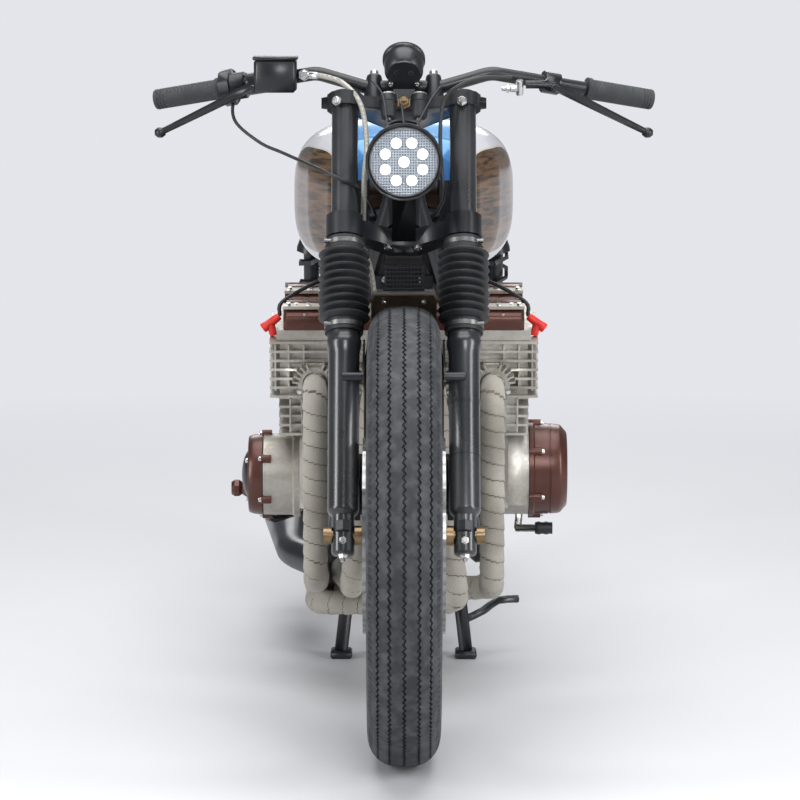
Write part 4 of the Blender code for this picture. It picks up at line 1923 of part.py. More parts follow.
def make_brake_pedal(body):
    """The rear brake pedal on the right: an arm from its pivot to a pad outside the engine covers."""
    pivot = spot(-(PEG_MOUNT_X + FACE_GAP), PEG_DEPTH, PEDAL_PIVOT_HEIGHT)
    hub = cylinder(pivot, pivot - X_AXIS * 0.016, 0.013, 10)
    arm = tube(smooth_route([
        pivot - X_AXIS * 0.008,
        pivot + Vector((-0.040, -0.040, -0.004)),
        pivot + Vector((-0.066, -0.090, -0.004)),
        pivot + Vector((-0.072, -0.140, 0.010)),
        pivot + Vector((-0.075, -0.165, 0.022)),
    ], 2), 0.0065, 6)
    pad_centre = pivot + Vector((-0.080, -0.168, 0.026))
    pad = bevelled(box(pad_centre - Vector((0.012, 0.020, 0.006)), pad_centre + Vector((0.012, 0.020, 0.006))), 0.002)
    add_piece("brake_pedal", joined(hub, arm, pad), SATIN_BLACK, body)


def make_shift_lever(body):
    """The gear lever on its shaft out of the left side of the case."""
    root = spot(CASE_HALF_WIDTH + FACE_GAP, SHIFT_SHAFT_DEPTH, SHIFT_SHAFT_HEIGHT)
    shaft = cylinder(root, root + X_AXIS * 0.024, 0.007, 10)
    knee = root + X_AXIS * 0.018
    toe = spot(knee.x, SHIFT_TOE_DEPTH, SHIFT_TOE_HEIGHT)
    arm = tube(smooth_route([knee, knee.lerp(toe, 0.5) + Vector((0.004, 0, -0.010)), toe], 3), 0.006, 6)
    pin = cylinder(toe - X_AXIS * 0.004, toe + X_AXIS * 0.030, 0.006, 6)
    rubber = turned(toe + X_AXIS * 0.028, X_AXIS, [
        (0, 0.0095), (0.006, 0.011), (0.012, 0.0095), (0.018, 0.011), (0.024, 0.0095), (0.028, 0.010),
    ], PIN_SIDES)
    add_piece("shift_lever", joined(shaft, arm, pin, rubber), STEEL, body)


def make_regulator(body):
    """The finned regulator in front of the down tubes, below the lower yoke."""
    half, tall = REGULATOR_HALF_WIDTH, REGULATOR_HALF_HEIGHT
    back = REGULATOR_BACK_DEPTH
    plate = box(spot(-half, back - 0.012, REGULATOR_HEIGHT - tall), spot(half, back, REGULATOR_HEIGHT + tall))
    fins = []
    for i in range(REGULATOR_FINS):
        x = -half * 0.86 + half * 1.72 * i / (REGULATOR_FINS - 1)
        fins.append(box(
            spot(x - 0.0013, back - REGULATOR_THICKNESS, REGULATOR_HEIGHT - tall * 0.7),
            spot(x + 0.0013, back - 0.011, REGULATOR_HEIGHT + tall * 0.96),
        ))
    add_piece("regulator", joined(plate, *fins), SATIN_BLACK, body)


# Assembly


def make_chassis(body):
    make_frame(body)
    make_swingarm(body)
    make_crankcase(body)
    make_cylinder_block(body)
    make_cylinder_head(body)
    make_cam_cover(body)
    make_engine_covers(body)
    make_clutch_cover(body)
    make_sprocket_cover(body)
    make_exhaust(body)
    make_carburettors(body)
    make_chain(body)
    make_fuel_tank(body)
    make_filler_cap(body)
    make_seat(body)
    make_battery_box(body)
    make_rear_fender(body)
    make_tail_lamp(body)
    make_brake_pedal(body)
    make_shift_lever(body)
    make_regulator(body)
    for name, side in SIDES.items():
        make_shock(f"shock_{name}", side, body)
        make_ignition_leads(f"ignition_leads_{name}", side, body)
        make_air_filter(f"air_filter_{name}", side, body)
        make_foot_peg(f"foot_peg_{name}", side, PEG_OUTER_X[name], body)


def make_steering(body):
    make_front_axle(body)
    make_lower_yoke(body)
    make_upper_yoke(body)
    make_handlebar(body)
    make_clutch_lever(body)
    make_brake_lever(body)
    make_throttle_housing(body)
    make_headlight(body)
    make_speedometer(body)
    make_front_fender(body)
    for name, side in SIDES.items():
        make_fork_leg(f"fork_leg_{name}", side, body)
        make_gaiter(f"gaiter_{name}", side, body)
        make_caliper(f"caliper_{name}", side, body)
        make_grip(f"grip_{name}", side, body)


def make_motorcycle():
    clear_scene()
    chassis = make_body("chassis", Vector())
    steering = make_body("steering", STEERING_CENTRE, chassis)
    make_chassis(chassis)
    make_steering(steering)
    make_front_wheel(make_body("front_wheel_spin", FRONT_AXLE, steering))
    make_rear_wheel(make_body("rear_wheel_spin", REAR_AXLE, chassis))
    make_centre_stand(make_body("stand_fold", spot(0, STAND_DEPTH, STAND_HEIGHT), chassis))


make_motorcycle()
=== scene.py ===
"""Looks of the brat style motorcycle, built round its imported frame."""

import json
import math

import bmesh
import bpy
import numpy as np
from mathutils import Matrix, Vector
from mathutils.bvhtree import BVHTree

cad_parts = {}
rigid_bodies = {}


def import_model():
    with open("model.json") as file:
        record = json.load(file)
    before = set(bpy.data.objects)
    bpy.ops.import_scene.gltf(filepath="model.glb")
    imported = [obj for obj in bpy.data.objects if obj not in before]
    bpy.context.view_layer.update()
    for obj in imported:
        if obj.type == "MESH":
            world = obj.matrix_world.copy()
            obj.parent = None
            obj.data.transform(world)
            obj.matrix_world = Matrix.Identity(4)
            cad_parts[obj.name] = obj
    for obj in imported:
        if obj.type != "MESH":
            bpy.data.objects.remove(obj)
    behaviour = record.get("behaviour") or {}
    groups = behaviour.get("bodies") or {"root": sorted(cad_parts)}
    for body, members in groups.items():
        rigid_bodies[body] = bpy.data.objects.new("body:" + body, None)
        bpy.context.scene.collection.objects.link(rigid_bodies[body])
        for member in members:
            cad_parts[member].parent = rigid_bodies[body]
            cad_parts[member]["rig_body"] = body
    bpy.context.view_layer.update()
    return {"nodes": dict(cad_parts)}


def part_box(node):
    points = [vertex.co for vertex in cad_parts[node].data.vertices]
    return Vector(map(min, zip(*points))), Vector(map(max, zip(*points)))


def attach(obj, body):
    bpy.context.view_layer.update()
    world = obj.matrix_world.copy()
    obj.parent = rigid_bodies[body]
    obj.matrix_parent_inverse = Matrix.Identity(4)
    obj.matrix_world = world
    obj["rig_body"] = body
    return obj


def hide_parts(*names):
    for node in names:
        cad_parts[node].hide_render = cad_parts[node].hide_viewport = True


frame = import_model()
NODES = frame["nodes"]

# Places that the part's source also names
FRONT_AXLE_Y = -0.70675
RAKE = math.radians(27)
FORK_AXIS = Vector((0, math.sin(RAKE), math.cos(RAKE)))
FORK_BACK = Vector((0, math.cos(RAKE), -math.sin(RAKE)))
FRONT_AXLE = Vector((0, FRONT_AXLE_Y, 0.3415))
REAR_AXLE = Vector((0, FRONT_AXLE_Y + 1.42, 0.353))
X_AXIS = Vector((1, 0, 0))
FORK_LEG_X = 0.0905
RIM_HALF_WIDTH = 0.031
DISC_RADIUS = 0.150
CYLINDER_LEAN = math.radians(10)

# Tank paint: the oval side panel, its pale border, the blue bands beside the middle of the top, and
# near-black painted shade low in the tank's middle
PANEL_Y, PANEL_Z = -0.165, 0.795
PANEL_HALF_LENGTH, PANEL_HALF_HEIGHT = 0.118, 0.086
PANEL_FROM_X = 0.078
BORDER_SHARE = 0.93
BAND_FROM_X, BAND_TO_X, BAND_FROM_Z = 0.030, 0.074, 0.835
# Reach of the near-black painted shade low in the tank's middle: its half width and its top
PAINTED_SHADE_HALF_WIDTH, PAINTED_SHADE_TO_Z = 0.080, 0.836

# Camera
CAMERA_PLACE = Vector((-0.006, FRONT_AXLE_Y - 6.056, 1.3477))
CAMERA_PITCH = math.radians(7.554)
CAMERA_FOCAL_PIXELS = 4137.4
PHOTO_WIDTH = 800


def spot(x, depth, height):
    return Vector((x, FRONT_AXLE_Y + depth, height))


def on_fork(x, along, back=0.0):
    return Vector((x, 0, 0)) + Vector((0, FRONT_AXLE.y, FRONT_AXLE.z)) + FORK_AXIS * along + FORK_BACK * back


# Materials


class Look:
    """A procedural material whose colour, roughness and bump come from nodes in the piece's own space."""

    def __init__(self, name, colour, roughness, metallic=0.0, **sockets):
        self.material = bpy.data.materials.new(name)
        self.material.use_nodes = True
        self.tree = self.material.node_tree
        self.shader = self.tree.nodes["Principled BSDF"]
        self.shader.inputs["Base Color"].default_value = (*colour, 1)
        self.shader.inputs["Roughness"].default_value = roughness
        self.shader.inputs["Metallic"].default_value = metallic
        for socket, value in sockets.items():
            self.shader.inputs[socket.replace("_", " ")].default_value = value
        self.colour = colour
        self.coordinates = self.tree.nodes.new("ShaderNodeTexCoord").outputs["Object"]
        self.last_bump = None

    def link(self, output, socket):
        self.tree.links.new(output, socket)

    def math(self, operation, first, second=0.0):
        node = self.tree.nodes.new("ShaderNodeMath")
        node.operation = operation
        for socket, value in zip(node.inputs, (first, second)):
            if isinstance(value, (int, float)):
                socket.default_value = value
            else:
                self.link(value, socket)
        return node.outputs[0]

    def split(self):
        node = self.tree.nodes.new("ShaderNodeSeparateXYZ")
        self.link(self.coordinates, node.inputs[0])
        return node.outputs

    def around(self, axle):
        """The distance from an axle that lies along X."""
        _, y, z = self.split()
        ahead = self.math("POWER", self.math("SUBTRACT", y, axle.y), 2)
        above = self.math("POWER", self.math("SUBTRACT", z, axle.z), 2)
        return self.math("SQRT", self.math("ADD", ahead, above))

    def noise(self, scale, detail=3.0, stretch=None, distortion=0.0):
        node = self.tree.nodes.new("ShaderNodeTexNoise")
        node.inputs["Scale"].default_value = scale
        node.inputs["Detail"].default_value = detail
        node.inputs["Distortion"].default_value = distortion
        self.link(self.stretched(stretch), node.inputs["Vector"])
        return node.outputs["Fac"]

    def cells(self, scale):
        node = self.tree.nodes.new("ShaderNodeTexVoronoi")
        node.inputs["Scale"].default_value = scale
        self.link(self.coordinates, node.inputs["Vector"])
        return node.outputs["Distance"]

    def waves(self, scale, axis="Z", distortion=0.0, turn=(0, 0, 0)):
        node = self.tree.nodes.new("ShaderNodeTexWave")
        node.bands_direction = axis
        node.inputs["Scale"].default_value = scale
        node.inputs["Distortion"].default_value = distortion
        self.link(self.stretched(None, turn), node.inputs["Vector"])
        return node.outputs["Fac"]

    def stretched(self, stretch, turn=(0, 0, 0)):
        if stretch is None and not any(turn):
            return self.coordinates
        node = self.tree.nodes.new("ShaderNodeMapping")
        node.inputs["Scale"].default_value = stretch or (1, 1, 1)
        node.inputs["Rotation"].default_value = turn
        self.link(self.coordinates, node.inputs["Vector"])
        return node.outputs[0]

    def ramp(self, factor, low, high, to_low=0.0, to_high=1.0):
        node = self.tree.nodes.new("ShaderNodeMapRange")
        node.inputs["From Min"].default_value = low
        node.inputs["From Max"].default_value = high
        node.inputs["To Min"].default_value = to_low
        node.inputs["To Max"].default_value = to_high
        self.link(factor, node.inputs["Value"])
        return node.outputs[0]

    def mix(self, factor, first, second):
        node = self.tree.nodes.new("ShaderNodeMix")
        node.data_type = "RGBA"
        self.link(factor, node.inputs["Factor"])
        for socket, value in ((node.inputs[6], first), (node.inputs[7], second)):
            if isinstance(value, tuple):
                socket.default_value = (*value, 1)
            else:
                self.link(value, socket)
        return node.outputs[2]

    def paint(self, output):
        self.link(output, self.shader.inputs["Base Color"])
        return self

    def vary(self, scale, spread, rough_spread=0.08, detail=4.0, stretch=None):
        """Uneven colour and gloss from one broad noise."""
        fac = self.ramp(self.noise(scale, detail, stretch), 0.3, 0.7)
        darker = tuple(c * (1 - spread) for c in self.colour)
        lighter = tuple(min(1, c * (1 + spread)) for c in self.colour)
        self.paint(self.mix(fac, darker, lighter))
        rough = self.shader.inputs["Roughness"].default_value
        uneven = self.ramp(fac, 0, 1, rough - rough_spread, rough + rough_spread)
        self.link(uneven, self.shader.inputs["Roughness"])
        return self

    def bump(self, height, distance, strength=1.0):
        node = self.tree.nodes.new("ShaderNodeBump")
        node.inputs["Distance"].default_value = distance
        node.inputs["Strength"].default_value = strength
        self.link(height, node.inputs["Height"])
        if self.last_bump:
            self.link(self.last_bump, node.inputs["Normal"])
        self.last_bump = node.outputs[0]
        self.link(self.last_bump, self.shader.inputs["Normal"])
        return self


def satin_black():
    look = Look(
        "satin_black", (0.008, 0.009, 0.012), 0.36, 0.0, Specular_IOR_Level=0.5, Coat_Weight=0.12,
        Coat_Roughness=0.2,
    )
    look.vary(9, 0.35)
    return look.bump(look.noise(900, 2), 0.0002, 0.25).material


def fork_black():
    look = Look(
        "fork_black", (0.017, 0.0185, 0.0215), 0.30, 0.0, Specular_IOR_Level=0.6, Coat_Weight=0.35,
        Coat_Roughness=0.18,
    )
    look.vary(14, 0.3, 0.05)
    return look.bump(look.noise(1100, 2), 0.0001, 0.2).material


def plain_rubber():
    look = Look("rubber", (0.014, 0.015, 0.017), 0.48, 0.0, Specular_IOR_Level=0.5)
    look.vary(30, 0.4, 0.1)
    return look.bump(look.noise(700, 3), 0.0003, 0.35).material


def tyre_rubber(axle):
    """Black rubber with a pale dust low in the grooves and a fine skin."""
    look = Look("tyre_rubber", (0.022, 0.024, 0.028), 0.62, 0.0, Specular_IOR_Level=0.35)
    radius = look.around(axle)
    dust = look.math("MULTIPLY", look.ramp(look.noise(55, 5), 0.42, 0.68), 0.55)
    ripples = look.math("SINE", look.math("MULTIPLY", radius, 900))
    bands = look.math("MULTIPLY", look.ramp(ripples, -1, 1), 0.12)
    look.paint(look.mix(look.math("ADD", dust, bands), (0.026, 0.028, 0.032), (0.095, 0.098, 0.104)))
    return look.bump(look.noise(450, 4), 0.0004, 0.4).material


def cast_alloy():
    """Bead-blasted cast alloy: fine grain, soft stains and darker recesses."""
    look = Look("cast_alloy", (0.50, 0.48, 0.45), 0.42, 0.75)
    stain = look.ramp(look.noise(11, 6, distortion=0.6), 0.32, 0.72)
    fine = look.ramp(look.noise(160, 4), 0.35, 0.7)
    colour = look.mix(stain, (0.33, 0.305, 0.26), (0.62, 0.60, 0.56))
    look.paint(look.mix(look.math("MULTIPLY", fine, 0.25), colour, (0.30, 0.28, 0.25)))
    look.link(look.ramp(fine, 0, 1, 0.34, 0.55), look.shader.inputs["Roughness"])
    return look.bump(look.noise(650, 3), 0.0005, 0.5).material


def wheel_alloy(axle):
    """Bright rim and spokes, with turned discs near the hub."""
    look = Look("wheel_alloy", (0.55, 0.55, 0.56), 0.28, 0.9)
    radius = look.around(axle)
    disc = look.math("LESS_THAN", radius, DISC_RADIUS)
    turning = look.ramp(look.math("SINE", look.math("MULTIPLY", radius, 5200)), -1, 1)
    dull = look.ramp(look.noise(40, 5), 0.3, 0.7)
    bright = look.mix(dull, (0.46, 0.46, 0.46), (0.68, 0.68, 0.69))
    turned = look.mix(turning, (0.30, 0.30, 0.30), (0.46, 0.46, 0.46))
    look.paint(look.mix(disc, bright, turned))
    look.link(look.ramp(dull, 0, 1, 0.20, 0.38), look.shader.inputs["Roughness"])
    return look.bump(look.math("MULTIPLY", turning, disc), 0.0002, 0.3).material


def brown_metal():
    """Metallic brown lacquer with flakes and slightly worn high spots."""
    look = Look("brown_metal", (0.105, 0.034, 0.022), 0.36, 0.55, Coat_Weight=0.3, Coat_Roughness=0.25)
    flake = look.ramp(look.cells(1500), 0.0, 0.5)
    broad = look.ramp(look.noise(18, 4), 0.35, 0.7)
    flaked = look.mix(flake, (0.155, 0.056, 0.038), (0.085, 0.026, 0.017))
    look.paint(look.mix(look.math("MULTIPLY", broad, 0.6), flaked, (0.070, 0.024, 0.017)))
    return look.bump(look.noise(500, 3), 0.0004, 0.35).material


def steel(name="steel", colour=(0.58, 0.58, 0.57), roughness=0.26):
    look = Look(name, colour, roughness, 1.0)
    look.vary(60, 0.18, 0.07)
    return look.bump(look.noise(900, 2, (1, 0.1, 0.1)), 0.0001, 0.3).material


def bronze():
    look = Look("bronze", (0.27, 0.19, 0.11), 0.38, 1.0)
    look.vary(70, 0.25)
    return look.bump(look.noise(800, 2), 0.0002, 0.3).material


def red_rubber():
    look = Look("red_rubber", (0.62, 0.022, 0.014), 0.42, 0.0, Specular_IOR_Level=0.5)
    look.vary(60, 0.2)
    return look.bump(look.noise(500, 2), 0.0002, 0.3).material


def header_wrap():
    """Woven heat wrap: overlapping turns with a fine weave and soot stains; the darker step at each turn's
    edge is painted shade, in its own look.
    """
    look = Look("header_wrap", (0.40, 0.37, 0.32), 0.92, 0.0, Sheen_Weight=0.25, Sheen_Roughness=0.6)
    weave = look.math("MULTIPLY", look.waves(260, "Z", 3.0), look.ramp(look.cells(520), 0.0, 0.6))
    fibres = look.noise(420, 4, (1, 1, 3))
    stain = look.ramp(look.noise(13, 5), 0.38, 0.75)
    body = look.mix(stain, (0.47, 0.44, 0.38), (0.24, 0.215, 0.18))
    gaps = look.math("MULTIPLY", look.ramp(weave, 0.1, 0.8, 1, 0), 0.45)
    look.paint(look.mix(gaps, body, (0.20, 0.185, 0.16)))
    look.bump(weave, 0.0005, 0.6)
    return look.bump(fibres, 0.0004, 0.4).material


def wrap_edge_shade():
    """Painted shade on the step where one turn of wrap lies over the next."""
    look = Look("wrap_edge_shade", (0.17, 0.15, 0.125), 0.95)
    look.vary(60, 0.35)
    return look.bump(look.noise(420, 4), 0.0005, 0.5).material


def tank_paint():
    """Pearl tank with a dark grained side panel in a pale border, blue bands beside the top's middle, and
    near-black painted shade low in its middle.
    """
    look = Look("tank_paint", (0.72, 0.73, 0.76), 0.24, 0.2, Coat_Weight=0.35, Coat_Roughness=0.08)
    x, y, z = look.split()
    across = look.math("ABSOLUTE", x)
    along = look.math("DIVIDE", look.math("ABSOLUTE", look.math("SUBTRACT", y, PANEL_Y)), PANEL_HALF_LENGTH)
    tall = look.math("DIVIDE", look.math("ABSOLUTE", look.math("SUBTRACT", z, PANEL_Z)), PANEL_HALF_HEIGHT)
    oval = look.math("ADD", look.math("POWER", along, 3.2), look.math("POWER", tall, 2.6))
    side = look.math("GREATER_THAN", across, PANEL_FROM_X)
    panel = look.math("MULTIPLY", look.math("LESS_THAN", oval, 1.0), side)
    inner = look.math("MULTIPLY", look.math("LESS_THAN", oval, BORDER_SHARE), side)
    grain = look.ramp(look.noise(26, 7, (1, 0.35, 5), 1.2), 0.40, 0.62)
    wood = look.mix(grain, (0.150, 0.078, 0.030), (0.018, 0.011, 0.006))
    flake = look.ramp(look.cells(1800), 0.0, 0.6)
    pearl = look.mix(flake, (0.76, 0.77, 0.80), (0.62, 0.63, 0.67))
    outside = look.math("GREATER_THAN", across, BAND_FROM_X)
    band = look.math("MULTIPLY", outside, look.math("LESS_THAN", across, BAND_TO_X))
    high = look.math("MULTIPLY", band, look.math("GREATER_THAN", z, BAND_FROM_Z))
    blue = look.mix(look.ramp(z, 0.84, 0.93), (0.035, 0.16, 0.42), (0.10, 0.34, 0.68))
    banded = look.mix(high, pearl, blue)
    # Painted shade: near-black over the tank's middle below the bands, covering the tunnel and the low
    # middle of both ends
    narrow = look.math("LESS_THAN", across, PAINTED_SHADE_HALF_WIDTH)
    tunnel = look.math("MULTIPLY", narrow, look.math("LESS_THAN", z, PAINTED_SHADE_TO_Z))
    shaded = look.mix(tunnel, banded, (0.010, 0.011, 0.014))
    look.paint(look.mix(inner, look.mix(panel, shaded, (0.60, 0.58, 0.52)), wood))
    look.link(look.ramp(look.noise(8, 3), 0.3, 0.7, 0.14, 0.24), look.shader.inputs["Roughness"])
    return look.bump(look.noise(300, 2), 0.0001, 0.15).material


def seat_leather():
    """Brown leather with a fine grain."""
    look = Look("seat_leather", (0.060, 0.030, 0.017), 0.48, Specular_IOR_Level=0.45, Sheen_Weight=0.05)
    look.vary(22, 0.45, 0.1, 6.0)
    look.bump(look.cells(420), 0.0006, 0.55)
    return look.bump(look.noise(70, 4), 0.0010, 0.25).material


def thread():
    look = Look("thread", (0.36, 0.27, 0.16), 0.7)
    look.vary(300, 0.3)
    return look.bump(look.noise(2500, 2), 0.0002, 0.5).material


def filter_black():
    look = Look("filter_black", (0.030, 0.031, 0.033), 0.7)
    folds = look.waves(110, "X")
    # Painted shade: the colour darkens in the pleats' hollows and lightens on their crests, following the
    # folds of the bump
    look.paint(look.mix(folds, (0.010, 0.010, 0.011), (0.075, 0.075, 0.078)))
    look.bump(folds, 0.0020, 0.7)
    return look.bump(look.noise(900, 2), 0.0003, 0.4).material


def box_black():
    look = Look("box_black", (0.020, 0.020, 0.022), 0.5)
    look.vary(20, 0.3)
    return look.bump(look.cells(700), 0.0003, 0.4).material


def chain_steel():
    look = Look("chain_steel", (0.30, 0.29, 0.28), 0.38, 0.9)
    oil = look.ramp(look.noise(90, 5), 0.4, 0.7)
    look.paint(look.mix(oil, (0.40, 0.39, 0.37), (0.06, 0.052, 0.045)))
    return look.bump(look.noise(600, 3), 0.0003, 0.4).material


def lamp_glass():
    look = Look("lamp_glass", (0.95, 0.96, 0.98), 0.04, 0.0, Transmission_Weight=1.0, IOR=1.12)
    haze = look.ramp(look.noise(60, 3), 0.3, 0.7, 0.01, 0.03)
    look.link(haze, look.shader.inputs["Roughness"])
    return look.material


def lamp_light():
    look = Look("lamp_light", (1, 1, 1), 0.4, 0.0, Emission_Strength=2.6)
    spread = look.mix(look.ramp(look.noise(400, 2), 0.3, 0.7), (0.97, 0.98, 1.0), (1.0, 1.0, 1.0))
    look.link(spread, look.shader.inputs["Emission Color"])
    return look.paint(spread).material


def reflector():
    look = Look("reflector", (0.55, 0.57, 0.60), 0.32, 0.5)
    grid = look.math("MULTIPLY", look.waves(78, "X"), look.waves(78, "Z"))
    look.paint(look.mix(look.ramp(grid, 0.25, 0.45), (0.50, 0.54, 0.57), (0.10, 0.11, 0.125)))
    return look.bump(grid, 0.0008, 0.8).material


def red_lens():
    look = Look("red_lens", (0.50, 0.008, 0.006), 0.12, 0.0, Coat_Weight=0.5)
    look.vary(40, 0.2, 0.04)
    return look.bump(look.waves(130, "X"), 0.0005, 0.5).material


def grip_rubber():
    """Grip rubber with a fine diagonal knurl."""
    look = Look("grip_rubber", (0.050, 0.055, 0.060), 0.55, 0.0, Specular_IOR_Level=0.4)
    look.vary(50, 0.2)
    first, second = (look.waves(240, "X", turn=(0, 0.8 * way, 0.7 * way)) for way in (1, -1))
    return look.bump(look.math("MAXIMUM", first, second), 0.0009, 0.9).material


def braided_hose():
    """Braided steel hose under a clear sleeve."""
    look = Look("braided_hose", (0.50, 0.50, 0.50), 0.45, 0.3)
    first, second = (look.waves(160, "Z", turn=(0.8 * way, 0, 0)) for way in (1, -1))
    braid = look.math("MAXIMUM", first, second)
    look.paint(look.mix(braid, (0.14, 0.135, 0.12), (0.42, 0.41, 0.37)))
    return look.bump(braid, 0.0005, 0.8).material


def satin_brown():
    """The fender's dark brown underside."""
    look = Look("satin_brown", (0.050, 0.034, 0.020), 0.45)
    look.vary(30, 0.3)
    return look.bump(look.noise(500, 2), 0.0002, 0.3).material


LOOKS = {
    "satin_black": satin_black(),
    "fork_black": fork_black(),
    "rubber": plain_rubber(),
    "cast_alloy": cast_alloy(),
    "brown": brown_metal(),
    "steel": steel(),
    "dark_steel": steel("dark_steel", (0.22, 0.22, 0.22), 0.35),
    "bronze": bronze(),
    "red": red_rubber(),
    "wrap": header_wrap(),
    "wrap_edge_shade": wrap_edge_shade(),
    "tank": tank_paint(),
    "hose": braided_hose(),
    "satin_brown": satin_brown(),
    "seat": seat_leather(),
    "thread": thread(),
    "filter": filter_black(),
    "box": box_black(),
    "chain": chain_steel(),
    "glass": lamp_glass(),
    "light": lamp_light(),
    "reflector": reflector(),
    "red_lens": red_lens(),
    "grip": grip_rubber(),
    "front_wheel": wheel_alloy(FRONT_AXLE),
    "rear_wheel": wheel_alloy(REAR_AXLE),
    "front_tyre": tyre_rubber(FRONT_AXLE),
    "rear_tyre": tyre_rubber(REAR_AXLE),
}

NODE_LOOKS = {
    "fork_black": ("fork_leg_left", "fork_leg_right"),
    "rubber": ("gaiter_left", "gaiter_right"),
    "grip": ("grip_left", "grip_right"),
    "cast_alloy": (
        "crankcase", "cylinder_block", "cylinder_head", "ignition_housing", "clutch_cover", "sprocket_cover",
        "carburettors",
    ),
    "brown": ("cam_cover", "alternator_cover", "ignition_cap", "foot_peg_left", "foot_peg_right"),
    "bronze": ("front_axle",),
    "steel": ("filler_cap", "shift_lever"),
    "red": ("ignition_leads_left", "ignition_leads_right"),
    "wrap": ("exhaust_headers",),
    "tank": ("fuel_tank",),
    "seat": ("seat",),
    "filter": ("air_filter_left", "air_filter_right"),
    "box": ("battery_box",),
    "chain": ("chain",),
    "glass": ("headlight_lens",),
    "red_lens": ("tail_lamp",),
    "front_wheel": ("front_wheel",),
    "rear_wheel": ("rear_wheel",),
    "front_tyre": ("front_tyre",),
    "rear_tyre": ("rear_tyre",),
}


def dress_nodes():
    """Gives each carried-over node its material; what isn't listed is satin black."""
    chosen = {node: look for look, nodes in NODE_LOOKS.items() for node in nodes}
    for name, node in NODES.items():
        node.data.materials.clear()
        node.data.materials.append(LOOKS[chosen.get(name, "satin_black")])


# Shapes, drawn in the row's frame


def make_piece(name, points, faces, look, body, smooth=True):
    mesh = bpy.data.meshes.new(name)
    mesh.from_pydata([tuple(point) for point in points], [], [tuple(face) for face in faces])
    mesh.validate()
    mesh.materials.append(LOOKS[look])
    if smooth:
        mesh.shade_smooth()
        mesh.set_sharp_from_angle(angle=math.radians(38))
    piece = bpy.data.objects.new(name, mesh)
    bpy.context.scene.collection.objects.link(piece)
    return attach(piece, body)


def frame_of(axis):
    axis = axis.normalized()
    side = axis.cross(Vector((0, 0, 1)))
    if side.length < 0.1:
        side = axis.cross(Vector((0, 1, 0)))
    side.normalize()
    return side, side.cross(axis).normalized(), axis


def circle(centre, side, up, radius, sides, phase=0.0):
    """Points round a centre, in the plane of two directions."""
    angles = [2 * math.pi * (i + phase) / sides for i in range(sides)]
    return [centre + (side * math.cos(angle) + up * math.sin(angle)) * radius for angle in angles]


def row_faces(rows, sides, closed=False):
    """Faces between rows of points that each run round, with both end rows filled unless the rows close."""
    faces = []
    for row in range(rows if closed else rows - 1):
        here, there = row * sides, (row + 1) % rows * sides
        for i in range(sides):
            j = (i + 1) % sides
            faces.append((here + i, here + j, there + j, there + i))
    if not closed:
        faces.append(tuple(reversed(range(sides))))
        faces.append(tuple(range((rows - 1) * sides, rows * sides)))
    return faces


def revolve(base, axis, profile, sides, phase=0.0, closed=False):
    """Points and faces of a profile of (along, radius) turned round an axis."""
    side, up, axis = frame_of(axis)
    points = []
    for along, radius in profile:
        points += circle(base + axis * along, side, up, radius, sides, phase)
    return points, row_faces(len(profile), sides, closed)


# A box's faces, for corners that run round one end and then round the other, and for the opposite turn
BOX_FACES = [(3, 2, 1, 0), (4, 5, 6, 7), (0, 1, 5, 4), (1, 2, 6, 5), (2, 3, 7, 6), (3, 0, 4, 7)]
TURNED_BOX_FACES = [(0, 1, 2, 3), (7, 6, 5, 4), (0, 4, 5, 1), (1, 5, 6, 2), (2, 6, 7, 3), (3, 7, 4, 0)]


class Gathered:
    """Points and faces of several shapes that become one piece."""

    def __init__(self):
        self.points = []
        self.faces = []

    def add(self, shape):
        points, faces = shape
        start = len(self.points)
        self.points.extend(points)
        self.faces.extend(tuple(start + i for i in face) for face in faces)

    def turn(self, *shape, **more):
        """Adds a profile turned round an axis."""
        self.add(revolve(*shape, **more))

    def made(self, name, look, body, smooth=True):
        return make_piece(name, self.points, self.faces, look, body, smooth)


def frames_along(route):
    """Each point of a route with two directions square to it that don't twist."""
    side = None
    frames = []
    for i, point in enumerate(route):
        ahead = (route[min(i + 1, len(route) - 1)] - route[max(i - 1, 0)]).normalized()
        side = frame_of(ahead)[0] if side is None else (side - ahead * side.dot(ahead)).normalized()
        frames.append((point, side, ahead.cross(side)))
    return frames


def pipe(route, radius, sides=8):
    """A round tube along a route of points."""
    points = []
    for point, side, up in frames_along(route):
        points += circle(point, side, up, radius, sides)
    return points, row_faces(len(route), sides)


# Node copies with rounded shading, and finer forms of turned and bent nodes

TUBE_NODES = (
    "frame", "swingarm", "centre_stand", "shock_left", "shock_right", "clutch_lever", "brake_lever",
    "headlight_shell", "upper_yoke", "lower_yoke", "front_axle", "air_filter_left", "air_filter_right",
    "throttle_housing", "tail_lamp", "rear_fender", "brake_pedal", "caliper_left", "caliper_right",
)
ROUTE_STEPS = 12
FINE_NODES = ("crankcase", "cylinder_block", "cylinder_head", "sprocket_cover", "carburettors", "filler_cap")


def rounded_copy(name, degrees):
    """A copy of a node with its facets shaded as one round face where they meet at less than an angle."""
    mesh = NODES[name].data.copy()
    work = bmesh.new()
    work.from_mesh(mesh)
    bmesh.ops.remove_doubles(work, verts=work.verts[:], dist=0.00001)
    bmesh.ops.dissolve_limit(work, angle_limit=math.radians(0.6), verts=work.verts[:], edges=work.edges[:])
    work.to_mesh(mesh)
    work.free()
    mesh.shade_smooth()
    mesh.set_sharp_from_angle(angle=math.radians(degrees))
    piece = bpy.data.objects.new(name + "_rounded", mesh)
    bpy.context.scene.collection.objects.link(piece)
    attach(piece, NODES[name]["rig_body"])
    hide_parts(name)
    return piece


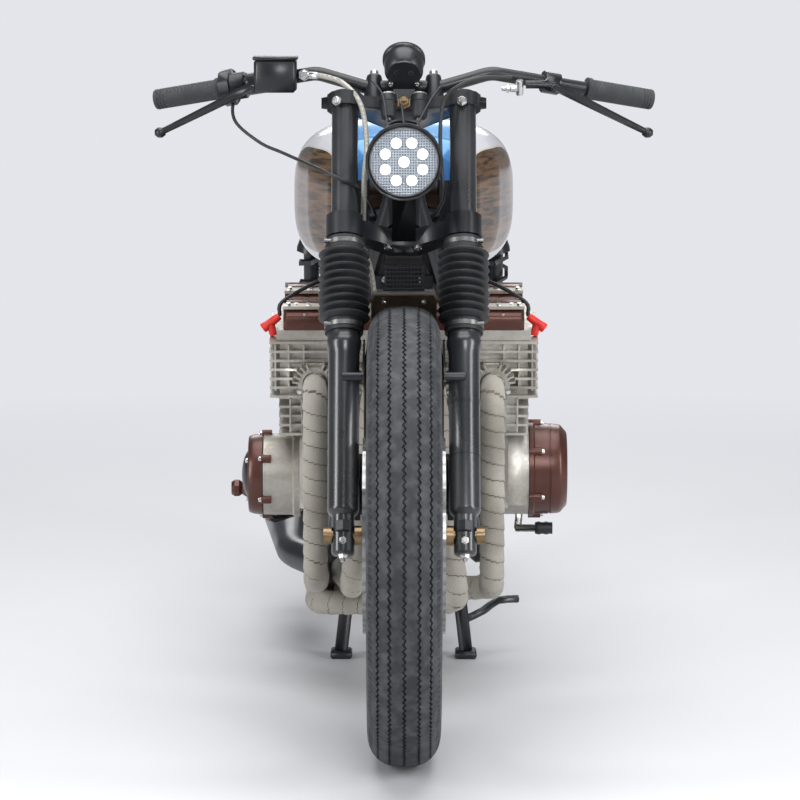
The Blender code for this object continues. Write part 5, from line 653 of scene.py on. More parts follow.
def bent(before, start, end, after, t):
    """The curve from start to end whose slopes follow the values before and after them."""
    bend = (before * 2 - start * 5 + end * 4 - after) * t ** 2
    twist = (start * 3 - before - end * 3 + after) * t ** 3
    return (start * 2 + (end - before) * t + bend + twist) * 0.5


def eased(share, knots):
    """A smooth curve through (share, value) knots."""
    for k in range(len(knots) - 1):
        (low, start), (high, end) = knots[k], knots[k + 1]
        if share <= high:
            before, after = knots[max(k - 1, 0)][1], knots[min(k + 2, len(knots) - 1)][1]
            return bent(before, start, end, after, (share - low) / (high - low))
    return knots[-1][1]


def rounded_route(corners, bends, steps=8):
    """Straight runs between corners, each corner rounded by an arc of its own radius."""
    corners = [Vector(corner) for corner in corners]
    route = [corners[0]]
    for before, corner, after, bend in zip(corners, corners[1:], corners[2:], bends):
        back, ahead = (before - corner).normalized(), (after - corner).normalized()
        half = back.angle(ahead) / 2
        centre = corner + (back + ahead).normalized() * (bend / math.sin(half))
        start = corner + back * (bend / math.tan(half)) - centre
        hinge = back.cross(ahead)
        for i in range(steps + 1):
            route.append(centre + Matrix.Rotation(-(math.pi - 2 * half) * i / steps, 3, hinge) @ start)
    return route + [corners[-1]]


def even_route(route, step):
    """The same route with its points evenly spaced."""
    travel = np.concatenate([[0], np.cumsum([(b - a).length for a, b in zip(route, route[1:])])])
    count = max(2, round(travel[-1] / step))
    at = np.linspace(0, travel[-1], count + 1)
    columns = [np.interp(at, travel, [point[axis] for point in route]) for axis in range(3)]
    return [Vector(point) for point in zip(*columns)]


def smooth_route(points, step=0.004):
    """An evenly spaced curve through given points."""
    points = [Vector(point) for point in points]
    ends = [points[0] * 2 - points[1]] + points + [points[-1] * 2 - points[-2]]
    route = []
    for stretch in zip(ends, ends[1:], ends[2:], ends[3:]):
        route += [bent(*stretch, i / ROUTE_STEPS) for i in range(ROUTE_STEPS)]
    return even_route(route + [points[-1]], step)


# Exhaust

WRAP_PITCH = 0.026
WRAP_STEP = 0.0022
HEADER_RADIUS = 0.0190
HEADER_BENDS = (0.030, 0.060, 0.050, 0.040)
HEADER_PORT = (-0.2947, 0.5163)
HEADER_KNEE = (-0.3257, 0.5109)
HEADER_FOOT_Y = -0.3067
COLLECTOR_INLET_Y = -0.0367


def header_corners(port_x, foot_x, foot_z, turn, joint):
    """A header's corners: out of its port, down to its foot, under the engine and into the collector."""
    corners = [
        (port_x, *HEADER_PORT), (port_x, *HEADER_KNEE), (foot_x, HEADER_FOOT_Y, foot_z), (foot_x, *turn),
    ]
    return corners + [joint, (joint[0], COLLECTOR_INLET_Y, joint[2])]


HEADER_CORNERS = (
    header_corners(-0.1395, -0.1395, 0.1940, (-0.2268, 0.1940), (-0.1405, -0.1067, 0.1805)),
    header_corners(-0.0465, -0.0830, 0.1860, (-0.2268, 0.1860), (-0.0995, -0.1067, 0.1805)),
    header_corners(0.0465, 0.0830, 0.1860, (-0.2517, 0.1580), (-0.1405, -0.1517, 0.1395)),
    header_corners(0.1395, 0.1395, 0.1940, (-0.2068, 0.1760), (-0.0995, -0.1018, 0.1395)),
)
WRAP_SINK = 0.0006
WRAP_LIFT = 0.0017
COLLAR_FINS = 12
COLLAR_FINS_LEFT_OUT = (5, 6)
COLLECTOR_START = Vector((-0.1200, -0.0517, 0.1600))
MUFFLER_START = Vector((-0.1200, 0.0386, 0.1600))
MUFFLER_CORNERS = ((-0.1200, 0.06525, 0.1600), (-0.1880, 0.19325, 0.1650), (-0.1940, 0.57325, 0.1900))
MUFFLER_BENDS = (0.07, 0.12)
MUFFLER_STEP = 0.008
MUFFLER_SIDES = 48
MUFFLER_WALL = 0.003
MUFFLER_PIPE_RADIUS = 0.027
MUFFLER_MOUTH_GROWTH = 0.035
MUFFLER_GROWS_FROM = 0.30
MOUTH_ROWS = 10


def wrapped_pipe(route, radius, sides=26):
    """A pipe under overlapping turns of wrap: points, faces, and which faces are a turn's edge."""
    route = even_route(route, WRAP_STEP)
    points, phases = [], []
    for i, (point, side, up) in enumerate(frames_along(route)):
        row = [(i * WRAP_STEP / WRAP_PITCH + k / sides) % 1.0 for k in range(sides)]
        for k, phase in enumerate(row):
            angle = 2 * math.pi * k / sides
            reach = radius - WRAP_SINK + WRAP_LIFT * phase
            points.append(point + (side * math.cos(angle) + up * math.sin(angle)) * reach)
        phases.append(row)
    edges = []
    for row, following in zip(phases, phases[1:]):
        edges += [after < before for before, after in zip(row, following)]
    return points, row_faces(len(route), sides), edges + [False, False]


def make_headers():
    """The four wrapped headers, and the wrapped collector they run into."""
    shapes = Gathered()
    edges = []
    for corners in HEADER_CORNERS:
        points, faces, turns = wrapped_pipe(rounded_route(corners, HEADER_BENDS), HEADER_RADIUS)
        shapes.add((points, faces))
        edges += turns
    profile = [(0, 0.040), (0.002, 0.044), (0.030, 0.044), (0.060, 0.036), (0.088, 0.0275), (0.090, 0.0270)]
    points, faces = revolve(COLLECTOR_START, Vector((0, 1, 0)), profile, 40)
    shapes.add((points, faces))
    edges += [False] * len(faces)
    piece = shapes.made("header_wraps", "wrap", "chassis")
    # The step faces at each turn's edge take the painted shade.
    piece.data.materials.append(LOOKS["wrap_edge_shade"])
    for polygon, edge in zip(piece.data.polygons, edges):
        polygon.material_index = int(edge)
    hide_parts("exhaust_headers")
    make_header_clamps()


def collar_fin(base, out, side, up, angle):
    """One small fin that stands out from a port's collar."""
    reach = side * math.cos(angle) + up * math.sin(angle)
    across = reach.cross(out).normalized()
    points = []
    for away, wide in ((0.0255, 0.0017), (0.0365, 0.0012)):
        for along in (-0.010, 0.0110):
            for sign in (-1, 1):
                points.append(base + reach * away + out * along + across * wide * sign)
    return points, [(0, 1, 3, 2), (4, 6, 7, 5), (0, 4, 5, 1), (2, 3, 7, 6), (0, 2, 6, 4), (1, 5, 7, 3)]


def make_header_clamps():
    """A finned collar and two studs where each header leaves its port."""
    collars = Gathered()
    studs = Gathered()
    ring = [(0, 0.0202), (0, 0.0270), (0.0035, 0.0278), (0.0060, 0.0270), (0.0062, 0.0202)]
    for corners in HEADER_CORNERS:
        port, knee = Vector(corners[0]), Vector(corners[1])
        out = (knee - port).normalized()
        base = port - out * 0.0005
        collars.turn(base, out, ring, 40, closed=True)
        side, up, _ = frame_of(out)
        for k in range(COLLAR_FINS):
            if k not in COLLAR_FINS_LEFT_OUT:
                collars.add(collar_fin(base, out, side, up, math.pi * (k + 0.5) / COLLAR_FINS))
        for sign in (-1, 1):
            place = base + side * 0.0245 * sign - up * 0.012
            studs.add(hex_head(place + out * 0.005, out, 0.0042, 0.006))
    collars.made("port_collars", "cast_alloy", "chassis")
    studs.made("port_studs", "steel", "chassis", False)


def make_muffler():
    """The short megaphone: a plain pipe that widens evenly to its open mouth."""
    route = even_route(rounded_route([MUFFLER_START, *MUFFLER_CORNERS], MUFFLER_BENDS), MUFFLER_STEP)
    frames = frames_along(route)
    last = len(route) - 1
    growths = [max(0.0, i / last - MUFFLER_GROWS_FROM) / (1 - MUFFLER_GROWS_FROM) for i in range(last + 1)]
    radii = [MUFFLER_PIPE_RADIUS + MUFFLER_MOUTH_GROWTH * growth for growth in growths]
    points = []
    for frame_there, radius in zip(frames, radii):
        points += circle(*frame_there, radius, MUFFLER_SIDES)
    for i in range(last, last - MOUTH_ROWS, -1):
        points += circle(*frames[i], radii[i] - MUFFLER_WALL, MUFFLER_SIDES)
    faces = row_faces(last + 1 + MOUTH_ROWS, MUFFLER_SIDES)
    piece = make_piece("megaphone", points, faces, "satin_black", "chassis")
    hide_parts("muffler")


# Tank

TANK_WIDTHS = ((0, 0.50), (0.06, 0.66), (0.25, 0.86), (0.55, 1.0), (0.85, 0.90), (1, 0.62))
TANK_TOP_DROPS = ((0, 0.045), (0.06, 0.022), (0.3, 0.0), (0.6, 0.012), (0.85, 0.045), (1, 0.080))
TANK_BOTTOM_RISES = ((0, 0.030), (0.06, 0.012), (0.2, 0.0), (0.70, 0.0), (0.86, 0.085), (1, 0.092))
TANK_FRONT, TANK_REAR = 0.425, 0.855
TANK_HALF_WIDTH, TANK_TOP, TANK_BOTTOM = 0.178, 0.925, 0.681
TANK_SIDES, TANK_ROWS = 96, 60
TANK_CORNER, TANK_LOWER_CORNER = 0.625, 0.47
TANK_ENDS = ((0.90, 0.97), (0.97, 0.90))
TUNNEL_FLANK = 0.056
TUNNEL_OUTLINE = ((-0.33175, 0.87002), (0.19825, 0.76851), (0.19825, 0.63100), (-0.33175, 0.63100))
FILLER_SEAT = Vector((0, -0.1268, 0.9191))
FILLER_AXIS = Vector((0, 0.0349, 0.9994))
FILLER_SEAT_RADIUS = 0.033


def tank_ring(share, shrink):
    """One closed row of the tank's points, rounder above and squarer below."""
    half = TANK_HALF_WIDTH * eased(share, TANK_WIDTHS) * shrink
    top = TANK_TOP - eased(share, TANK_TOP_DROPS)
    low = TANK_BOTTOM + eased(share, TANK_BOTTOM_RISES)
    centre = spot(0, TANK_FRONT + (TANK_REAR - TANK_FRONT) * share, (top + low) / 2)
    points = []
    for i in range(TANK_SIDES):
        angle = 2 * math.pi * (i + 0.5) / TANK_SIDES
        square = TANK_CORNER if math.sin(angle) > 0 else TANK_LOWER_CORNER
        across = math.copysign(abs(math.cos(angle)) ** square, math.cos(angle))
        lift = math.copysign(abs(math.sin(angle)) ** TANK_CORNER, math.sin(angle))
        points.append(centre + Vector((half * across, 0, (top - low) / 2 * lift * shrink)))
    return points


def make_tank():
    """The tank as a finely drawn skin, with the tunnel for the frame and the filler's seat cut out."""
    front, rear = TANK_ENDS
    stations = [(0, shrink) for shrink in front] + [(i / TANK_ROWS, 1.0) for i in range(TANK_ROWS + 1)]
    stations += [(1, shrink) for shrink in rear]
    points = []
    for share, shrink in stations:
        points += tank_ring(share, shrink)
    skin = solid_of("tank_skin", points, row_faces(len(stations), TANK_SIDES))
    tunnel = [Vector((x, y, z)) for x in (-TUNNEL_FLANK, TUNNEL_FLANK) for y, z in TUNNEL_OUTLINE]
    filler_seat = revolve(
        FILLER_SEAT, FILLER_AXIS, [(0, FILLER_SEAT_RADIUS), (0.05, FILLER_SEAT_RADIUS)], 48,
    )
    for cutter_points, cutter_faces in ((tunnel, TURNED_BOX_FACES), filler_seat):
        cut_away(skin, solid_of("cutter", cutter_points, cutter_faces))
    skin.data.materials.clear()
    skin.data.materials.append(LOOKS["tank"])
    skin.data.shade_smooth()
    skin.data.set_sharp_from_angle(angle=math.radians(35))
    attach(skin, "chassis")
    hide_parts("fuel_tank")


def solid_of(name, points, faces):
    """An object whose faces all look outward."""
    work = bmesh.new()
    corners = [work.verts.new(point) for point in points]
    for face in faces:
        work.faces.new([corners[i] for i in face])
    bmesh.ops.recalc_face_normals(work, faces=work.faces[:])
    mesh = bpy.data.meshes.new(name)
    work.to_mesh(mesh)
    work.free()
    made = bpy.data.objects.new(name, mesh)
    bpy.context.scene.collection.objects.link(made)
    return made


def cut_away(piece, cutter):
    """Takes a cutter's volume out of a piece, and the cutter out of the scene."""
    modifier = piece.modifiers.new("cut", "BOOLEAN")
    modifier.operation = "DIFFERENCE"
    modifier.solver = "EXACT"
    modifier.object = cutter
    apply_modifiers(piece)
    bpy.data.objects.remove(cutter)


# Turned engine covers

CRANK = spot(0, 0.545, 0.357)
COVER_LUGS = 6


def make_covers():
    """The alternator cover, the ignition housing with its ring and dome, and the clutch cover."""
    centre = CRANK + Vector((0.2003, 0, 0.004))
    reach = 0.0617
    profile = [
        (0, 0.0750), (0.0008, 0.0765), (0.0075, 0.0765), (0.0085, 0.0752), (0.0095, 0.0737),
        (reach * 0.52, 0.0729), (reach * 0.53, 0.0720), (reach * 0.56, 0.0720), (reach * 0.57, 0.0728),
        (reach - 0.0135, 0.0716), (reach - 0.0100, 0.0702), (reach - 0.0030, 0.0622),
        (reach - 0.0008, 0.0598), (reach, 0.0575), (reach, 0.0560), (reach - 0.0010, 0.0550),
        (reach - 0.0010, 0.0200),
    ]
    turned_cover("alternator_shell", "alternator_cover", centre, X_AXIS, profile, "brown")
    centre = CRANK + Vector((-0.1663, 0, -0.005))
    profile = [
        (0, 0.0688), (0.0095, 0.0688), (0.0105, 0.0680), (0.0125, 0.0656), (0.0585, 0.0655),
        (0.0592, 0.0648),
    ]
    turned_cover("ignition_drum", "ignition_housing", centre, -X_AXIS, profile, "cast_alloy")
    centre = CRANK + Vector((-0.2261, 0, -0.005))
    profile = [
        (0, 0.0645), (0.0006, 0.0655), (0.0020, 0.0655), (0.0150, 0.0640), (0.0215, 0.0618),
        (0.0229, 0.0606), (0.0235, 0.0585), (0.0240, 0.0440), (0.0225, 0.0410), (0.0225, 0.0200),
    ]
    turned_cover("ignition_ring", "ignition_cap", centre, -X_AXIS, profile, "brown")
    dome = [(0.0200, 0.0400)]
    for i in range(13):
        angle = math.pi / 2 * i / 12
        dome.append((0.0200 + 0.0148 * math.sin(angle), 0.0385 * math.cos(angle) + 0.0004))
    shapes = Gathered()
    shapes.turn(centre, -X_AXIS, dome, 48)
    shapes.made("ignition_dome", "satin_black", "chassis")
    centre = spot(-0.1663, 0.690, 0.335)
    profile = [
        (0, 0.0650), (0.0008, 0.0660), (0.0050, 0.0660), (0.0055, 0.0645), (0.0190, 0.0640),
        (0.0215, 0.0628), (0.0280, 0.0590), (0.0300, 0.0570), (0.0335, 0.0340), (0.0340, 0.0320),
    ]
    turned_cover("clutch_shell", "clutch_cover", centre, -X_AXIS, profile, "cast_alloy")
    make_cover_lugs()


def turned_cover(name, node, centre, axis, profile, look):
    piece = make_piece(name, *revolve(centre, axis, profile, 72), look, "chassis")
    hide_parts(node)


def make_cover_lugs():
    """Screw lugs round the rims of the alternator cover and the ignition ring, each with its screw."""
    for name, base, axis, radius, length in (
        ("alternator", CRANK + Vector((0.2006, 0, 0.004)), X_AXIS, 0.0735, 0.020),
        ("ignition", CRANK + Vector((-0.2120, 0, -0.005)), -X_AXIS, 0.0655, 0.016),
    ):
        side, up, axis = frame_of(axis)
        lugs = Gathered()
        screws = Gathered()
        for place in circle(base, side, up, radius, COVER_LUGS, 0.5):
            lugs.turn(place, axis, [(0, 0.0068), (length - 0.0008, 0.0068), (length, 0.0060)], 24)
            screws.add(socket_head(place + axis * length, axis, 0.0044, 0.0050))
        lugs.made(name + "_lugs", "brown", "chassis")
        screws.made(name + "_lug_screws", "steel", "chassis")


# Fork legs

LEG_TOP = 0.714
LOWER_LEG_TOP = 0.3187


def make_fork_leg(name, side):
    """A lower leg with rounded shoulders, its collar under the gaiter, and the covered upper tube."""
    profile = [
        (-0.0300, 0.0140), (-0.0290, 0.0158), (-0.0265, 0.0170), (0.0290, 0.0170), (0.0305, 0.0176),
        (0.0345, 0.0215), (0.0375, 0.0232), (0.0405, 0.0235),
    ]
    if side > 0:
        profile += [(0.1220, 0.0235), (0.1222, 0.0228), (0.1232, 0.0228), (0.1234, 0.0235), (0.2050, 0.0235),
                    (0.2052, 0.0242), (0.2105, 0.0242), (0.2107, 0.0235)]
    profile += [
        (0.2830, 0.0235), (0.2930, 0.0246), (0.2990, 0.0262), (0.3080, 0.0262), (0.3090, 0.0255),
        (0.3100, 0.0250), (LOWER_LEG_TOP, 0.0250), (LOWER_LEG_TOP, 0.0203), (LEG_TOP - 0.0010, 0.0203),
        (LEG_TOP, 0.0193),
    ]
    piece = make_piece(
        name + "_tube", *revolve(on_fork(side * FORK_LEG_X, 0), FORK_AXIS, profile, 64), "fork_black",
        "steering",
    )
    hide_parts(name)
    parts = Gathered()
    start = on_fork(side * 0.0940, 0.2430, -0.0210)
    boss = [(0, 0.0050), (0.0012, 0.0068), (0.0040, 0.0074), (0.0335, 0.0074), (0.0345, 0.0066)]
    parts.turn(start, X_AXIS * -side, boss, 32)
    start = on_fork(side * 0.0905, -0.0080, -0.0140)
    lug = [(0, 0.0105), (0.0010, 0.0115), (0.0150, 0.0115), (0.0165, 0.0100)]
    parts.turn(start + FORK_AXIS * 0.026, -FORK_AXIS, lug, 6, 0.5)
    parts.made(name + "_bosses", "satin_black", "steering")


# Handlebar, risers and speedometer

BAR_CLAMP = on_fork(0, 0.738, 0.030)


def bar_point(inward):
    direction = Vector((0.93, 0.30, -0.17)).normalized()
    end = Vector((0.386, BAR_CLAMP.y + 0.088, BAR_CLAMP.z - 0.024))
    return end - direction * inward


def make_bar():
    """The bent bar as one smooth tube, and the tapered risers with their bolts."""
    half = rounded_route(
        [BAR_CLAMP, BAR_CLAMP + X_AXIS * 0.058, bar_point(0.268), bar_point(0)], (0.045, 0.045), 12,
    )
    other = [Vector((-point.x, point.y, point.z)) for point in reversed(half[1:])]
    shapes = Gathered()
    shapes.add(pipe(even_route(other + half, 0.006), 0.011, 24))
    bolts = Gathered()
    for side in (1, -1):
        base = on_fork(side * 0.046, 0.7090 - 0.0037, 0.030)
        profile = [
            (0, 0.0150), (0.0020, 0.0162), (0.0120, 0.0164), (0.0320, 0.0150), (0.0380, 0.0140),
            (0.0480, 0.0120), (0.0510, 0.0112), (0.0520, 0.0100),
        ]
        shapes.turn(base, FORK_AXIS, profile, 40)
        bolts.add(socket_head(base + FORK_AXIS * 0.0520, FORK_AXIS, 0.0066, 0.0080))
    piece = shapes.made("bar_tube", "satin_black", "steering")
    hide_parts("handlebar")
    bolts.made("riser_bolts", "steel", "steering")


SPEEDOMETER = spot(0, 0.335, 1.019)
SPEEDOMETER_TILT = math.radians(35)


def make_speedometer():
    """The round dial: a black can, its face, the bracket plate, screws and eyelets."""
    tilt = SPEEDOMETER_TILT
    facing = Vector((0, math.cos(tilt), math.sin(tilt)))
    up = Vector((0, -math.sin(tilt), math.cos(tilt)))
    back = SPEEDOMETER - facing * 0.021
    can = [
        (0, 0.0228), (0.0010, 0.0238), (0.0084, 0.0297), (0.0300, 0.0310), (0.0310, 0.0306),
        (0.0325, 0.0306), (0.0335, 0.0320), (0.0345, 0.0330), (0.0405, 0.0330), (0.0420, 0.0320),
        (0.0420, 0.0295), (0.0400, 0.0290),
    ]
    shapes = Gathered()
    shapes.turn(back, facing, can, 56)
    base = on_fork(0, 0.7052, 0.008)
    stem = [(-0.014, 0), (0.014, 0), (0.022, 1), (-0.022, 1)]
    shapes.add(plate_of([base.lerp(SPEEDOMETER, v) + X_AXIS * x for x, v in stem], FORK_BACK * 0.0025))
    outline = []
    for i in range(17):
        angle = math.radians(205 - 230 * i / 16)
        outline.append((0.0262 * math.cos(angle), 0.0262 * math.sin(angle) + 0.001))
    outline += [
        (0.0262, -0.0180), (0.0240, -0.0215), (0.0150, -0.0290), (0.0110, -0.0400), (0.0090, -0.0440),
    ]
    outline += [
        (-0.0090, -0.0440), (-0.0110, -0.0400), (-0.0150, -0.0290), (-0.0240, -0.0215), (-0.0262, -0.0180),
    ]
    front = back - facing * 0.0030
    shapes.add(plate_of([front + X_AXIS * x + up * y for x, y in outline], facing * 0.0028))
    piece = shapes.made("dial_can", "satin_black", "steering")
    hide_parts("speedometer")
    screws = Gathered()
    for x, y in ((0.0205, -0.0155), (-0.0205, -0.0155)):
        screws.add(socket_head(front + X_AXIS * x + up * y, -facing, 0.0042, 0.0040))
    screws.made("dial_screws", "steel", "steering")
    rings = Gathered()
    for x, y in ((0.0110, 0.0060), (-0.0110, 0.0060)):
        rings.turn(
            front + X_AXIS * x + up * y, -facing,
            [(-0.0004, 0.0030), (-0.0004, 0.0044), (0.0008, 0.0044), (0.0008, 0.0030)], 24, closed=True,
        )
    rings.made("dial_eyelets", "dark_steel", "steering")
    face = Gathered()
    face.turn(back + facing * 0.0402, facing, [(0, 0.0290), (0.0006, 0.0290)], 56)
    face.made("dial_face", "box", "steering")


def plate_of(outline, thickness):
    """A flat plate from its outline in order, with a thickness."""
    count = len(outline)
    points = list(outline) + [point + thickness for point in outline]
    faces = [tuple(range(count)), tuple(reversed(range(count, 2 * count)))]
    for i in range(count):
        j = (i + 1) % count
        faces.append((i, j, count + j, count + i))
    return points, faces


def make_steering_bits():
    """Damper cups and the brass bolt at the middle of the upper yoke."""
    cups = Gathered()
    rings = Gathered()
    for side in (1, -1):
        base = on_fork(side * 0.0238, 0.6830, -0.0060)
        profile = [
            (-0.014, 0.0085), (-0.012, 0.0112), (0, 0.0125), (0.0120, 0.0125), (0.0125, 0.0118),
            (0.0135, 0.0118), (0.0140, 0.0125), (0.0240, 0.0125), (0.0250, 0.0118),
        ]
        cups.turn(base, FORK_AXIS, profile, 36)
        rings.turn(
            base + FORK_AXIS * 0.0250, FORK_AXIS,
            [(0, 0.0100), (0, 0.0122), (0.0022, 0.0122), (0.0022, 0.0100)], 36, closed=True,
        )
        rings.add(socket_head(base - FORK_AXIS * 0.0135, -FORK_AXIS, 0.0048, 0.0040))
    cups.made("yoke_cups", "rubber", "steering")
    rings.made("yoke_cup_rings", "steel", "steering")
    bolt = Gathered()
    seat = on_fork(0, 0.6980, -0.0005)
    bolt.add(hex_head(seat, -FORK_BACK, 0.0085, 0.0120))
    bolt.turn(seat - FORK_BACK * 0.0110, -FORK_BACK, [(0, 0.0050), (0.0060, 0.0050), (0.0070, 0.0040)], 16)
    bolt.made("yoke_bolt", "bronze", "steering")


# Engine details

CASE_RIB = 0.0045
CASE_RIBS = ((-0.150, 0.285, 0.420), (0.152, 0.280, 0.420))
CASE_RIB_STEPS = 18
CASE_BOSSES = (
    (-0.150, (0.420, 0.385, 0.330, 0.285)), (0.152, (0.420, 0.375, 0.325, 0.280)),
    (-0.122, (0.300,)), (0.124, (0.296,)),
)
# Webs as (places across, lowest, highest, ahead of the cylinders' middle, half width)
FIN_WEBS = (
    ((0.158, 0.182, 0.203), 0.162, 0.238, -0.0790, 0.0014), ((0.162, 0.180), 0.092, 0.148, -0.0770, 0.0013),
)
WEB_HALF_DEPTH = 0.0045
REGULATOR_FINS = 9
FIN_HALF_THICKNESS = 0.0011
TOE_RUBBER_LENGTH = 0.030


def slab_between(first, second, wide, deep):
    """A straight bar of rectangular section between two points."""
    along = (second - first).normalized()
    side, up, _ = frame_of(along)
    points = []
    for place in (first, second):
        for across, lift in ((-wide, -deep), (wide, -deep), (wide, deep), (-wide, deep)):
            points.append(place + side * across + up * lift)
    return points, BOX_FACES


def make_fin_webs():
    """Upright webs between the outer fins of the head and the block."""
    webs = Gathered()
    for side in (1, -1):
        for places, low, high, across, wide in FIN_WEBS:
            for x in places:
                first, second = on_cylinder(side * x, low, across), on_cylinder(side * x, high, across)
                webs.add(slab_between(first, second, wide, WEB_HALF_DEPTH))
    return webs


def make_engine_details():
    """Webs between the fins, and ribs and screw bosses on the case's own front surface."""
    webs = make_fin_webs()
    bosses = Gathered()
    screws = Gathered()
    ahead = Vector((0, 1, 0))
    boss = [(0, 0.0095), (0.0105, 0.0088), (0.0120, 0.0076)]
    for x, heights in CASE_BOSSES:
        for height in heights:
            seat = seat_on("crankcase", Vector((x, -1.0, height)), ahead)
            if seat:
                bosses.turn(seat[0] + ahead * 0.004, -ahead, boss, 28)
                screws.add(socket_head(seat[0] - ahead * 0.0080, -ahead, 0.0046, 0.0050))
    for x, low, high in CASE_RIBS:
        route = []
        for i in range(CASE_RIB_STEPS + 1):
            height = low + (high - low) * i / CASE_RIB_STEPS
            seat = seat_on("crankcase", Vector((x, -1.0, height)), ahead)
            if seat:
                route.append(seat[0])
        bosses.add(pipe(smooth_route(route, 0.006), CASE_RIB, 14))
    webs.made("fin_webs", "cast_alloy", "chassis", False)
    bosses.made("case_bosses", "cast_alloy", "chassis")
    screws.made("case_screws", "steel", "chassis")


def make_toe_rubber():
    """The shift lever with its black toe rubber."""
    lever = rounded_copy("shift_lever", 50)
    _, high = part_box("shift_lever")
    lever.data.materials.append(LOOKS["rubber"])
    for polygon in lever.data.polygons:
        if polygon.center[0] > high.x - TOE_RUBBER_LENGTH:
            polygon.material_index = 1


def cylinder_box(wide, low, high, across):
    """A box in the cylinders' own directions."""
    points = []
    for along in (low, high):
        for x, y in ((-wide, -across), (wide, -across), (wide, across), (-wide, across)):
            points.append(on_cylinder(x, along, y))
    return points, BOX_FACES


def make_regulator_fins():
    """Level cooling fins on the front of the regulator."""
    low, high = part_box("regulator")
    left, right = low.x + 0.002, high.x - 0.002
    front, back = low.y - 0.003, low.y + 0.006
    fins = Gathered()
    for i in range(REGULATOR_FINS):
        height = low.z + (high.z - low.z) * (i + 0.5) / REGULATOR_FINS
        points = []
        for z in (height - FIN_HALF_THICKNESS, height + FIN_HALF_THICKNESS):
            points += [
                Vector((x, y, z)) for x, y in ((left, front), (right, front), (right, back), (left, back))
            ]
        fins.add((points, BOX_FACES))
    fins.made("regulator_fins", "satin_black", "chassis", False)


def make_fender_lip():
    """The front fender with its brown inner side."""
    fender = rounded_copy("front_fender", 50)
    fender.data.materials.append(LOOKS["satin_brown"])
    for polygon in fender.data.polygons:
        if polygon.normal.z < -0.35 or polygon.normal.y < -0.9:
            polygon.material_index = 1


def make_clutch_adjuster():
    """The bright adjuster and locknut where the clutch cable meets its lever."""
    parts = Gathered()
    start = bar_point(0.225) + Vector((0, -0.030, -0.016))
    parts.turn(
        start, -X_AXIS,
        [(0, 0.0048), (0.0010, 0.0058), (0.0100, 0.0058), (0.0110, 0.0042), (0.0240, 0.0036)], 28,
    )
    parts.turn(
        start - X_AXIS * 0.0120, -X_AXIS,
        [(0, 0.0066), (0.0006, 0.0074), (0.0044, 0.0074), (0.0050, 0.0066)], 6,
    )
    parts.turn(
        start + Vector((0.004, 0.006, -0.010)), Vector((0, -0.3, 1)),
        [(0, 0.0052), (0.0008, 0.0060), (0.0230, 0.0060), (0.0238, 0.0052)], 28,
    )
    parts.made("clutch_adjuster", "steel", "steering")


# Ignition leads


def on_cylinder(x, along, across):
    """A point by its distance up the leaning cylinders' axis and behind it."""
    up = Vector((0, -math.sin(CYLINDER_LEAN), math.cos(CYLINDER_LEAN)))
    back = Vector((0, math.cos(CYLINDER_LEAN), math.sin(CYLINDER_LEAN)))
    return CRANK + Vector((x, 0, 0)) + up * along + back * across


def make_leads(node, side):
    """The coil with its dark leads, and the red caps: one like a T outside, a short one between the cams."""
    coil = spot(side * 0.032, 0.55, 0.735)
    dark = Gathered()
    dark.turn(
        coil + Vector((0, -0.040, 0)), Vector((0, 1, 0)),
        [(0, 0.013), (0.002, 0.015), (0.078, 0.015), (0.080, 0.013)], 32,
    )
    dark.turn(coil, Vector((-side * 0.6, 0, 0.8)), [(0, 0.006), (0.018, 0.006)], 12)
    seat = on_cylinder(side * 0.2060, 0.2445, -0.055)
    joint = seat + Vector((side * 0.005, 0, 0.020))
    slope = Vector((side * 0.8, 0, -0.6))
    caps = Gathered()
    caps.turn(seat, joint - seat, [(0, 0.0052), (0.0020, 0.0062), (0.0200, 0.0066)], 24)
    caps.turn(
        joint - slope * 0.018, slope,
        [
            (0, 0.0050), (0.0010, 0.0058), (0.0060, 0.0064), (0.0250, 0.0072), (0.0260, 0.0078),
            (0.0320, 0.0078), (0.0330, 0.0070),
        ],
        24,
    )
    valley = on_cylinder(side * 0.093, 0.2600, 0)
    caps.turn(
        valley, Vector((0, -0.17, 0.98)), [(0, 0.0080), (0.001, 0.0085), (0.028, 0.0085), (0.030, 0.0070)],
        24,
    )
    for start, turn in ((joint - slope * 0.018, 0.012), (valley + Vector((0, -0.005, 0.029)), 0.002)):
        shelf = Vector((0, coil.y + turn, 0.6705))
        route = [
            start, start + Vector((-side * turn * 0.6, 0.010, turn + 0.012)),
            shelf + X_AXIS * (side * 0.016 + start.x * 0.5), shelf + X_AXIS * side * 0.042,
            Vector((coil.x, shelf.y, coil.z - 0.009)),
        ]
        dark.add(pipe(smooth_route(route, 0.006), 0.0032, 10))
    wires = dark.made(node + "_wires", "rubber", "chassis")
    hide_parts(node)
    caps.made(node + "_caps", "red", "chassis")


# Cam cover trim

LEDGE_HALF_LENGTH = 0.1905
LEDGE_SECTION = ((0.2915, 1.00), (0.2962, 0.98), (0.2990, 0.60), (0.2915, 0.60))


